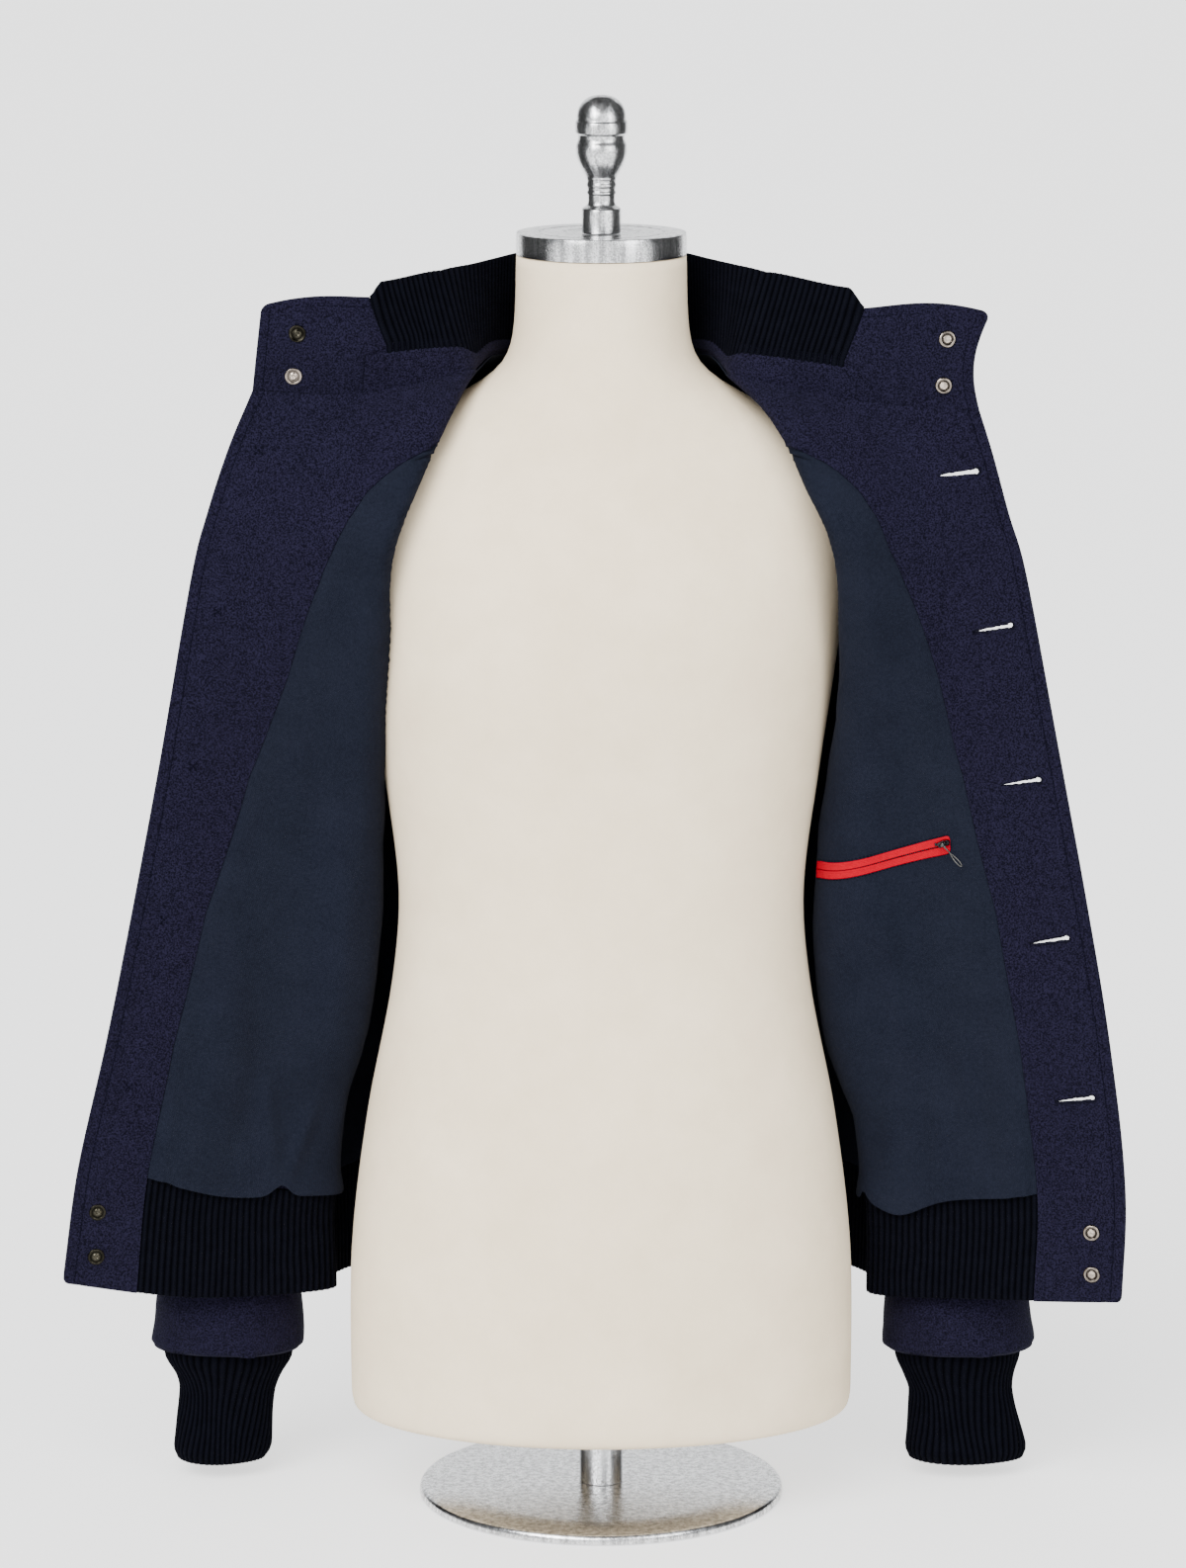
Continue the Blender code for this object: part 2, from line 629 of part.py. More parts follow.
def facing(side):
    """The wool facing lies on the inside of the front panel, along its edge, down to the hem."""
    grid = panel_grid(side)
    faces = []
    for depth in (INNER_FACE, INNER_FACE + FACING):
        rows = [list(row[: FACING_CELLS + 1]) for row in layer(side, depth)]
        for row, level, stations in zip(rows, grid.levels, grid.stations):
            seam = stations[FACING_CELLS]
            edge = seam - station_step(side, seam, level, SEAM)
            row[-1] = on_facets(side, edge, level, depth)[0]
        faces.append(rows)
    return wall(f"facing_{side}", *faces, "wool")


LiningDip = namedtuple("LiningDip", "station half_station drop")
LINING_DIPS = {  # the lining bags down over the rib here; drop is in levels
    RIGHT: [LiningDip(1.28, 0.34, 0.07)],
    LEFT: [LiningDip(1.72, 0.22, 0.12)],
}


def lining_hem(side, station, seam_station):
    """Level at which the lining ends: just above the rib beside the facing, lower where it bags."""
    free = rise(station, seam_station + 0.12, seam_station + 0.25)
    dips = sum(d.drop * bell(station, d.station, d.half_station) for d in LINING_DIPS[side])
    return RIB_TOP - 0.02 + free * (0.04 + dips)


def bag_depth(level, free):
    """Extra depth of the lining low down, where it hangs loose inside the outer cloth."""
    return 0.0046 * free * rise(level, 6.0, 6.9)


def hanging_point(side, station, level, depth):
    """A point that follows the facets of the panel in front of it, down to the panel's lower edge."""
    if level <= LEVELS[-1]:
        return on_facets(side, station, level, depth)[0]
    return body(side, station, level, depth)


def front_lining(side):
    outer, inner = [], []
    for row, level in enumerate(LEVELS + [None]):
        at = RIB_TOP - 0.002 if level is None else level
        stations = list(front_stations(side, at)[FACING_CELLS:])
        seam_station = stations[0]
        stations[0] += station_step(side, seam_station, at, SEAM)
        points_out, points_in = [], []
        for s in stations:
            hem = lining_hem(side, s, seam_station)
            last_full = LEVELS[-1]
            here = hem if level is None else min(level, last_full - 0.04)
            free = rise(s, seam_station, seam_station + 0.10)
            depth = INNER_FACE + bag_depth(here, free)
            points_out.append(hanging_point(side, s, here, depth))
            points_in.append(hanging_point(side, s, here, depth + LINING))
        outer.append(points_out)
        inner.append(points_in)
    return wall(f"lining_{side}", outer, inner, "lining")


def back_panel():
    return wall("back_panel", layer("back", 0.0), layer("back", WOOL), "wool")


def back_lining():
    return wall("lining_back", layer("back", INNER_FACE), layer("back", INNER_FACE + LINING), "lining")


# ---------------------------------------------------------------- sleeves and cuffs

SLEEVE_COLUMNS = 2 * ARMHOLE_ROWS
SLEEVE_STATIONS = (0.016, 0.6, 1.2, 2.0, 3.0, 4.0, 5.0, 6.0, 7.0, 7.6, 8.0, 8.5, 9.0)
SLEEVE_CLEAR = 0.0013  # the sleeve starts this far outside the armhole's edge


def sleeve_point(side, station, angle):
    keys = [sleeve_ring(ring, angle) for ring in SLEEVE]
    point = along(keys, station) + np.array([SLEEVE_CLEAR, 0.0, 0.0])
    lean = SLEEVE_LEAN * rise(station, 1.0, 6.0)
    return to_side(point, side) + np.array([lean, 0.0, 0.0])


def sleeve_normal(side, station, angle):
    """Unit normal of the sleeve, pointing out of the tube."""
    step = 0.01
    s0, s1 = max(station - step, 0.0), min(station + step, len(SLEEVE) - 1.0)
    down = sleeve_point(side, s1, angle) - sleeve_point(side, s0, angle)
    round_ = sleeve_point(side, station, angle + step) - sleeve_point(side, station, angle - step)
    normal = np.cross(down, round_)
    if side == RIGHT:
        normal = -normal
    return normal / np.linalg.norm(normal)


def sleeve(side):
    outer, inner = [], []
    for station in SLEEVE_STATIONS:
        angles = [math.tau * k / SLEEVE_COLUMNS for k in range(SLEEVE_COLUMNS)]
        points = [sleeve_point(side, station, a) for a in angles]
        normals = [sleeve_normal(side, station, a) for a in angles]
        outer.append(points)
        inner.append([p - n * WOOL for p, n in zip(points, normals)])
    return wall(f"sleeve_{side}", outer, inner, "wool", closed=True)


def cuff(side):
    columns = 2 * CUFF_RIBS
    outer, inner = [], []
    for ring in CUFF:
        centre, half_width = getattr(ring, side), getattr(ring, f"half_{side}")
        points_out, points_in = [], []
        for k in range(columns):
            angle = math.tau * k / columns
            raised = RIB_RAISE if k % 2 == 0 else -RIB_RAISE
            for points, grow in ((points_out, raised), (points_in, -RIB_KNIT)):
                x = centre + (half_width + grow) * math.cos(angle)
                y = CUFF_Y + (ring.half_depth + grow) * math.sin(angle)
                points.append((x, y, ring.z))
        outer.append(points_out)
        inner.append(points_in)
    return wall(f"cuff_{side}", outer, inner, "rib", closed=True)


# ---------------------------------------------------------------- ribbed hem

WHOLE_ROW = 12.0  # stations of a whole row: right front 0 to 4, back 4 to 8, left front 8 to 12


def row_piece(station):
    if station < BODY_SEAM:
        return RIGHT, station
    if station <= WHOLE_ROW - BODY_SEAM:
        return "back", station
    return LEFT, WHOLE_ROW - station


def whole_row(station, level, depth):
    piece, own = row_piece(station)
    return body(piece, own, level, depth)


def even_stations(point_at, start, end, cells):
    """Stations from start to end that are the same distance apart along the curve."""
    samples = np.linspace(start, end, 400)
    points = np.array([point_at(s) for s in samples])
    lengths = np.concatenate([[0.0], np.cumsum(np.linalg.norm(np.diff(points, axis=0), axis=1))])
    return [float(s) for s in np.interp(np.linspace(0, lengths[-1], cells + 1), lengths, samples)]


def hem_rib():
    level_top, level_bottom = RIB_TOP + 0.005, float(HEM)
    middle = 0.5 * (level_top + level_bottom)
    start = facing_seam(RIGHT, middle)
    end = WHOLE_ROW - facing_seam(LEFT, middle)
    stations = even_stations(lambda s: whole_row(s, middle, 0.0), start, end, 2 * HEM_RIBS)
    outer, inner = [], []
    for level in (level_top, level_bottom):
        turn_right = facing_seam(RIGHT, level)
        gap = station_step(RIGHT, turn_right, level, SEAM)
        points_out, points_in = [], []
        for k, s in enumerate(stations):
            s = min(max(s, turn_right + gap), WHOLE_ROW - facing_seam(LEFT, level) - gap)
            raised = RIB_RAISE if k % 2 else -RIB_RAISE
            points_out.append(whole_row(s, level, -raised))
            points_in.append(whole_row(s, level, RIB_KNIT - raised))
        outer.append(points_out)
        inner.append(points_in)
    return wall("hem_rib", outer, inner, "rib")


# ---------------------------------------------------------------- collar


def collar_top(station):
    right = [np.array(row.right) for row in COLLAR_TOP]
    left = [np.array(row.left) for row in COLLAR_TOP]
    return along(right + left[-2::-1], station)


LEFT_TAB_HOLLOW = 0.008  # the left tab's front edge curves in between its corners
RIB_END_RISE = 0.009  # the rib stands this much above the wool tab beside it
TAB_SLANT = 0.13  # above the stand, the seam of tab and rib leans over this much of a station
TAB_CROWN = 0.0035  # height of the curve in a tab's top edge


COLLAR_LIFT = 0.0017  # height of the collar's lower edge above the neckline
UP = np.array([0.0, 0.0, 1.0])


def collar_point(station, share):
    """A point of the collar's outer face; share is 0 at the neckline and 1 at the top edge."""
    piece, own = row_piece(station)
    low = on_facets(piece, own, 0.0, 0.0)[0] + UP * COLLAR_LIFT
    point = low + (collar_top(station) - low) * share
    from_left_edge = WHOLE_ROW - station
    from_edge = min(station, from_left_edge)
    point[2] += TAB_CROWN * share * math.sin(math.pi * min(from_edge / TAB_END, 1.0))
    point[0] -= LEFT_TAB_HOLLOW * math.sin(math.pi * share) * (1 - rise(from_left_edge, 0.0, 0.7))
    point[1] -= 0.004 * math.sin(math.pi * share)
    return point


def collar_normal(station, share):
    step = 0.01
    s0, s1 = max(station - step, 0.0), min(station + step, WHOLE_ROW)
    h0, h1 = max(share - step, 0.0), min(share + step, 1.0)
    across = collar_point(s1, share) - collar_point(s0, share)
    up = collar_point(station, h1) - collar_point(station, h0)
    normal = np.cross(up, across)
    return normal / np.linalg.norm(normal)


def collar(station, share, depth):
    """A point of the collar below its outer face; the lower edge clears the panels' inner layers."""
    piece, own = row_piece(station)
    overhang = max(0.0, -smooth_normal(piece, own, 0.0)[2])
    point = collar_point(station, share) + UP * (overhang * depth * (1 - share))
    return point - collar_normal(station, share) * depth


def stand_share(station):
    """Top of the wool stand: high beside each tab, low behind the neck."""
    from_edge = min(station, WHOLE_ROW - station)
    return STAND_AT_BACK + (STAND_AT_TAB - STAND_AT_BACK) * (1 - rise(from_edge, TAB_END, 2.8))


COLLAR_WALL = WOOL + FACING  # two layers of wool, sewn together all round


def tab_end(share):
    """Station at which a tab ends; over the stand it reaches further, and leans back towards its top."""
    return TAB_END + TAB_SLANT * max(0.0, (1.0 - share) / (1.0 - STAND_AT_TAB)) * rise(share, 0.37, 0.40)


def tab_stations(side, share):
    """Stations of a tab's columns; the panel's own columns are among them."""
    end = tab_end(share) - 0.010
    panel = front_stations(side, 0.0)
    stations = [0.0, 0.5 * panel[1], panel[1], 0.5 * (panel[1] + panel[2]), panel[2], 0.5 * (panel[2] + end), end]
    return stations if side == RIGHT else [WHOLE_ROW - s for s in stations][::-1]


def collar_tab(side):
    shares = (0.0, 0.18, 0.36, 0.41, 0.60, 0.80, 1.0)
    outer = [[collar(s, h, 0.0) for s in tab_stations(side, h)] for h in shares]
    inner = [[collar(s, h, COLLAR_WALL) for s in tab_stations(side, h)] for h in shares]
    return wall(f"collar_tab_{side}", outer, inner, "wool")


def collar_stand():
    past_tab = [[s for s in front_stations(side, 0.0) if s > TAB_END + 0.05] for side in SIDES]
    stations = [TAB_END, *past_tab[0], *back_stations(0.0)[1:-1]]
    stations += [WHOLE_ROW - s for s in past_tab[1][::-1]] + [WHOLE_ROW - TAB_END]
    tops = [stand_share(s) for s in stations]
    outer = [[collar(s, h * k, 0.0) for s, h in zip(stations, tops)] for k in (0, 1)]
    inner = [[collar(s, h * k, COLLAR_WALL) for s, h in zip(stations, tops)] for k in (0, 1)]
    return wall("collar_stand", outer, inner, "wool")


def rib_point(station, up, depth):
    """A point of the rib collar; up is 0 at the stand and 1 at the top edge."""
    from_edge = min(station, WHOLE_ROW - station)
    low = max(stand_share(station), STAND_AT_TAB * (1 - rise(from_edge, TAB_END + TAB_SLANT, 1.6))) + 0.020
    share = low + (1.0 - low) * up
    slant = (tab_end(max(share, 0.41)) - TAB_END) * (1 - rise(from_edge, TAB_END, 1.9))
    moved = station + (slant if station < BODY_SEAM else -slant)
    lift = RIB_END_RISE * up * rise(from_edge, TAB_END - 0.04, TAB_END + 0.14)
    lift *= 1 - min(max((from_edge - 1.15) / 0.85, 0.0), 1.0)
    return collar(moved, share, depth) + UP * lift


def collar_rib():
    start, end = TAB_END + 0.006, WHOLE_ROW - TAB_END - 0.006
    stations = even_stations(lambda s: collar_point(s, 0.6), start, end, 2 * COLLAR_RIBS)
    outer, inner = [], []
    for up in (0, 1):
        raised = [RIB_RAISE if k % 2 else -RIB_RAISE for k in range(len(stations))]
        outer.append([rib_point(s, up, -r) for s, r in zip(stations, raised)])
        inner.append([rib_point(s, up, RIB_KNIT - r) for s, r in zip(stations, raised)])
    return wall("collar_rib", outer, inner, "rib")


# ---------------------------------------------------------------- snaps, buttons and zip


def wing_place(side, height, inset):
    """The station and level of a point on an opened front, at a height and a distance from its edge."""
    levels = np.linspace(NECKLINE, HEM, 161)
    heights = [front_keys(side, float(u))[EDGE][2] for u in levels]
    level = float(np.interp(-height, [-h for h in heights], levels))
    return station_step(side, 0.02, level, inset), level


CAP_PROFILE = [(0.0, 0.0014), (0.0044, 0.0011), (SNAP_RADIUS, 0.0), (0.0, 0.0)]
RING_PROFILE = [(SNAP_RADIUS, 0.0), (0.0030, 0.0), (0.0030, 0.0016), (0.0050, 0.0018), (SNAP_RADIUS, 0.0006)]
STUD_PROFILE = [(0.0, 0.0030), (0.0020, 0.0030), (0.0020, 0.0012), (SNAP_RADIUS, 0.0), (0.0, 0.0)]
SNAP_SIDES = 9
SNAP_LIFT = 0.0007  # between the cloth and the flat back of a snap

Snap = namedtuple("Snap", "name height inset")
SNAPS = {
    RIGHT: [Snap("hem_low", 0.1955, 0.022), Snap("hem_high", 0.2290, 0.019)],
    LEFT: [Snap("hem_low", 0.1790, 0.023), Snap("hem_high", 0.2115, 0.025)],
}
CollarSnap = namedtuple("CollarSnap", "name right left share_right share_left")
COLLAR_SNAPS = [
    CollarSnap("collar_low", 0.365, 0.275, 0.19, 0.24),
    CollarSnap("collar_high", 0.365, 0.275, 0.63, 0.68),
]


def snap_pair(side, name, point, normal, thickness):
    """Both halves of a snap: one on the cloth's outer face and one on its inner face."""
    p, n = Vector(point), Vector(normal)
    above, below = frame_at(p + n * SNAP_LIFT, n), frame_at(p - n * (thickness + SNAP_LIFT), -n)
    if side == LEFT:  # the upper front: a smooth cap outside, a socket inside
        turned(f"snap_cap_{name}", CAP_PROFILE, SNAP_SIDES, "snap_metal", above)
        turned(f"snap_socket_{name}", RING_PROFILE, SNAP_SIDES, "snap_metal", below, closed=True)
    else:  # the under front: a stud outside, its back plate inside
        turned(f"snap_stud_{name}", STUD_PROFILE, SNAP_SIDES, "snap_metal", above)
        turned(f"snap_plate_{name}", CAP_PROFILE, SNAP_SIDES, "snap_metal", below)


def snaps():
    for side in SIDES:
        for snap in SNAPS[side]:
            station, level = wing_place(side, snap.height, snap.inset)
            point, normal = on_facets(side, station, level, 0.0)
            snap_pair(side, snap.name, point, normal, INNER_FACE + FACING)
        for snap in COLLAR_SNAPS:
            station = snap.right if side == RIGHT else WHOLE_ROW - snap.left
            share = getattr(snap, f"share_{side}")
            normal = collar_normal(station, share)
            snap_pair(side, snap.name, collar(station, share, 0.0), normal, COLLAR_WALL)


BUTTON_PROFILE = [(0.0, 0.0028), (0.0080, 0.0028), (0.0098, 0.0040), (BUTTON_RADIUS, 0.0026), (0.0085, 0.0), (0.0, 0.0)]
SHANK = 0.0018  # length of the thread between the cloth and a button


def buttons():
    """Five buttons on the outer face of the wearer's right front."""
    for k, height in enumerate(BUTTON_HEIGHTS, 1):
        station, level = wing_place(RIGHT, height, BUTTON_INSET)
        point, normal = (Vector(v) for v in on_facets(RIGHT, station, level, 0.0))
        turned(f"button_{k}", BUTTON_PROFILE, 10, "button", frame_at(point + normal * SHANK, normal))


Hole = namedtuple("Hole", "height inset length eye_radius")
HOLES = [Hole(h, 0.0155, 0.026, 0.0020) for h in (0.771, 0.660, 0.547, 0.429, 0.311)]
HOLE_HALF_WIDTH = 0.0015


def buttonhole_cutter(index, hole):
    """A keyhole slit: a round eye towards the front edge and a slit that runs inwards from it."""
    station, level = wing_place(LEFT, hole.height, hole.inset)
    normal = smooth_normal(LEFT, station, level)
    inwards = body(LEFT, station + 0.05, level) - body(LEFT, station, level)
    along_slit = Vector(inwards).normalized()
    n = Vector(normal)
    across = n.cross(along_slit).normalized()
    outline = []
    for k in range(5):
        angle = math.radians(45 + 270 * k / 4)
        outline.append((hole.eye_radius * math.cos(angle), hole.eye_radius * math.sin(angle)))
    outline.append((hole.length * 0.6, -HOLE_HALF_WIDTH))
    outline.append((hole.length, 0.0))
    outline.append((hole.length * 0.6, HOLE_HALF_WIDTH))
    base = Vector(body(LEFT, station, level))
    bm = bmesh.new()
    ring = [bm.verts.new(base + along_slit * x + across * y - n * 0.012) for x, y in outline]
    face = bm.faces.new(ring)
    grown = bmesh.ops.extrude_face_region(bm, geom=[face])
    moved = [v for v in grown["geom"] if isinstance(v, bmesh.types.BMVert)]
    bmesh.ops.translate(bm, verts=moved, vec=n * 0.024)
    bmesh.ops.recalc_face_normals(bm, faces=bm.faces)
    mesh = bpy.data.meshes.new(f"buttonhole_cutter_{index}")
    bm.to_mesh(mesh)
    bm.free()
    cutter = bpy.data.objects.new(mesh.name, mesh)
    CUTTERS.objects.link(cutter)
    cutter.hide_render = True
    cutter.display_type = "WIRE"
    return cutter


def cut_buttonholes(pieces):
    for index, hole in enumerate(HOLES, 1):
        cutter = buttonhole_cutter(index, hole)
        for piece in pieces:
            cut = piece.modifiers.new(f"hole_{index}", "BOOLEAN")
            cut.operation = "DIFFERENCE"
            cut.solver = "EXACT"
            cut.object = cutter


ZIP_START = (1.07, 4.47)  # station and level of the zip's closed end, beside the facing
ZIP_END = (1.97, 4.73)
ZIP_HALF_WIDTH = 0.0060
ZIP_CELLS = 16
LINING_FACE = INNER_FACE + LINING  # depth of the lining's visible face
TAPE_LIFT = 0.0007


def zip_line(share):
    """Station and level of the zip pocket's middle line."""
    return tuple(a + (b - a) * share for a, b in zip(ZIP_START, ZIP_END))


def zip_tape():
    rows = {0: [], 1: []}
    for k in range(ZIP_CELLS + 1):
        station, level = zip_line(k / ZIP_CELLS)
        drop = 0.01
        per_level = np.linalg.norm(smooth_body(LEFT, station, level + drop) - smooth_body(LEFT, station, level))
        half = ZIP_HALF_WIDTH * drop / per_level
        for face, lift in ((0, TAPE_LIFT), (1, TAPE_LIFT + TAPE)):
            points = []
            for across in (-1.0, 0.0, 1.0):
                point, _ = on_facets(LEFT, station, level + half * across, LINING_FACE)
                points.append(point - smooth_normal(LEFT, station, level + half * across) * lift)
            rows[face].append(points)
    return wall("zip_tape", rows[0], rows[1], "zip_tape")


SLIDER = (0.0080, 0.0062, 0.0016)  # length, width and thickness of the zip slider's body
PIN_RADIUS = 0.0008
BARREL_RADIUS = 0.0016
BARREL_HOLE = 0.00118
BARREL_LENGTH = 0.0030
LUG = 0.0012  # thickness of each lug that holds the pin
PULL_LENGTH = 0.021
PULL_WIDTH = 0.0044
PULL_THICKNESS = 0.0012
PIN_LIFT = 0.0022  # the pin's height above the slider's body
PULL_SLANT = math.radians(42)  # the pull hangs this far from straight down, towards the front edge


def slider_place():
    """Frame of the slider: local +Z off the lining towards the viewer, local -Y along the pull."""
    station, level = zip_line(0.03)
    point, outwards = (Vector(v) for v in on_facets(LEFT, station, level, LINING_FACE))
    place = frame_at(point - outwards * (TAPE_LIFT + TAPE + 2 * SEAM), -outwards)
    return place @ Matrix.Rotation(PULL_SLANT, 4, "Z")


def box_mesh(bm, size, centre):
    made = bmesh.ops.create_cube(bm, size=1.0)
    bmesh.ops.scale(bm, vec=size, verts=made["verts"])
    bmesh.ops.translate(bm, vec=centre, verts=made["verts"])


def rod_mesh(bm, radius, length, centre, sides):
    place = Matrix.Translation(centre) @ Matrix.Rotation(math.pi / 2, 4, "Y")
    bmesh.ops.create_cone(
        bm, cap_ends=True, segments=sides, radius1=radius, radius2=radius, depth=length, matrix=place
    )


def solid(name, build, material, collection):
    mesh = bpy.data.meshes.new(name)
    bm = bmesh.new()
    build(bm)
    bm.to_mesh(mesh)
    bm.free()
    thing = bpy.data.objects.new(name, mesh)
    collection.objects.link(thing)
    if material:
        mesh.materials.append(MATERIALS[material])
    else:
        thing.hide_render = True
        thing.display_type = "WIRE"
    return thing


def combine(base, other, operation):
    """A Boolean on base, which other takes part in from the cutters' collection."""
    change = base.modifiers.new(operation.lower(), "BOOLEAN")
    change.operation = operation
    change.solver = "EXACT"
    change.object = other


def zip_slider_and_pull():
    place = slider_place()
    lift = SLIDER[2] + PIN_LIFT
    pin_centre = Vector((0.0, 0.0, lift))
    lug_x = BARREL_LENGTH / 2 + SEAM + LUG / 2
    slider = solid("zip_slider", lambda bm: box_mesh(bm, SLIDER[1::-1] + SLIDER[2:], (0, 0, SLIDER[2] / 2)),
                   "dark_metal", PARTS)
    lug_height = lift + 0.001
    additions = [
        solid(f"slider_lug_{k}", lambda bm, x=x: box_mesh(bm, (LUG, 0.0030, lug_height), (x, 0, lug_height / 2 + 0.0004)),
              None, CUTTERS)
        for k, x in enumerate((-lug_x, lug_x))
    ]
    pin_length = 2 * lug_x
    additions.append(
        solid("slider_pin", lambda bm: rod_mesh(bm, PIN_RADIUS, pin_length, pin_centre, 10), None, CUTTERS)
    )
    for piece in additions:
        piece.matrix_world = place
        combine(slider, piece, "UNION")
    slider.matrix_world = place

    pull_place = place @ Matrix.Translation(pin_centre)
    reach = PULL_LENGTH - BARREL_RADIUS
    pull = solid("zip_pull", lambda bm: rod_mesh(bm, BARREL_RADIUS, BARREL_LENGTH, (0, 0, 0), 14), "dark_metal", PARTS)
    neck = solid("pull_neck", lambda bm: box_mesh(bm, (BARREL_LENGTH * 0.8, 0.007, PULL_THICKNESS), (0, -0.0045, 0)),
                 None, CUTTERS)
    blade_length = reach - 0.006
    blade = solid(
        "pull_blade",
        lambda bm: box_mesh(bm, (PULL_WIDTH, blade_length, PULL_THICKNESS * 1.1), (0, -0.006 - blade_length / 2, 0)),
        None, CUTTERS,
    )
    hole = solid("pull_hole", lambda bm: rod_mesh(bm, BARREL_HOLE, BARREL_LENGTH * 2, (0, 0, 0), 14), None, CUTTERS)
    for piece, operation in ((neck, "UNION"), (blade, "UNION"), (hole, "DIFFERENCE")):
        piece.matrix_world = pull_place
        combine(pull, piece, operation)
    pull.matrix_world = pull_place


# ---------------------------------------------------------------- dress form and foot

FORM_SIDES = 24


def form_body():
    """A limbless bust: a loft of ellipses from the flat base up to the neck."""
    bm = bmesh.new()
    rings = []
    for ring in FORM:
        angles = [math.tau * k / FORM_SIDES for k in range(FORM_SIDES)]
        points = [(ring.half_width * math.cos(a), ring.half_depth * math.sin(a), ring.z) for a in angles]
        rings.append([bm.verts.new(p) for p in points])
    for low, high in zip(rings, rings[1:]):
        for k in range(FORM_SIDES):
            n = (k + 1) % FORM_SIDES
            bm.faces.new((low[k], low[n], high[n], high[k]))
    bm.faces.new(rings[0][::-1])
    bm.faces.new(rings[-1])
    mesh = bpy.data.meshes.new("form_body")
    bm.to_mesh(mesh)
    bm.free()
    shade(mesh, 50)
    return new_object("form_body", mesh, "form_cloth")


def form_metal():
    cap_low = FORM_TOP + SEAM
    cap_high = cap_low + CAP_THICKNESS
    cap_profile = [
        (0.0, cap_high - 0.0015),
        (0.030, cap_high - 0.0015),
        (0.034, cap_high),
        (CAP_RADIUS - 0.001, cap_high),
        (CAP_RADIUS, cap_high - 0.001),
        (CAP_RADIUS, cap_low),
        (0.0, cap_low),
    ]
    turned("form_cap", cap_profile, 24, "satin_metal")
    finial_low = cap_high - 0.0015 + SEAM
    finial_profile = [(row.radius, finial_low + row.z) for row in FINIAL] + [(0.0, finial_low)]
    turned("form_finial", finial_profile, 14, "satin_metal")

    pole_low, pole_high = PLATE_THICKNESS + SEAM, FORM_BASE - SEAM
    turned("foot_pole", [(0.0, pole_high), (POLE_RADIUS, pole_high), (POLE_RADIUS, pole_low), (0.0, pole_low)],
           16, "satin_metal")
    plate_profile = [
        (0.0, PLATE_THICKNESS),
        (PLATE_RADIUS - 0.004, PLATE_THICKNESS),
        (PLATE_RADIUS, PLATE_THICKNESS - 0.004),
        (PLATE_RADIUS, 0.0),
        (0.0, 0.0),
    ]
    turned("foot_plate", plate_profile, 32, "satin_metal")


# ---------------------------------------------------------------- build


def clear_scene():
    for thing in list(bpy.data.objects):
        bpy.data.objects.remove(thing, do_unlink=True)


def new_collection(name):
    made = bpy.data.collections.new(name)
    bpy.context.scene.collection.children.link(made)
    return made


def build():
    form_body()
    form_metal()
    back_panel()
    back_lining()
    left_layers = []
    for side in SIDES:
        layers = [front_panel(side), facing(side)]
        if side == LEFT:
            left_layers = layers
        front_lining(side)
        sleeve(side)
        cuff(side)
        collar_tab(side)
    cut_buttonholes(left_layers)
    hem_rib()
    collar_stand()
    collar_rib()
    snaps()
    buttons()
    zip_tape()
    zip_slider_and_pull()


clear_scene()
PARTS = new_collection("bomber_jacket_on_dress_form")
CUTTERS = new_collection("cutters")
MATERIALS = {name: make_material(name) for name in FINISHES}
build()
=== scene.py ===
# %% [markdown]
# # A bomber jacket on a dress form
#
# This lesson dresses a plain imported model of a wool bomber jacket. The model gives every size and place;
# here each panel is made again with fine points, so that it can carry folds, stitches and rib knit.
# Lengths are metres, +Z is up, the front looks towards -Y, and the wearer's right is at -X.

import json
import math
from collections import namedtuple

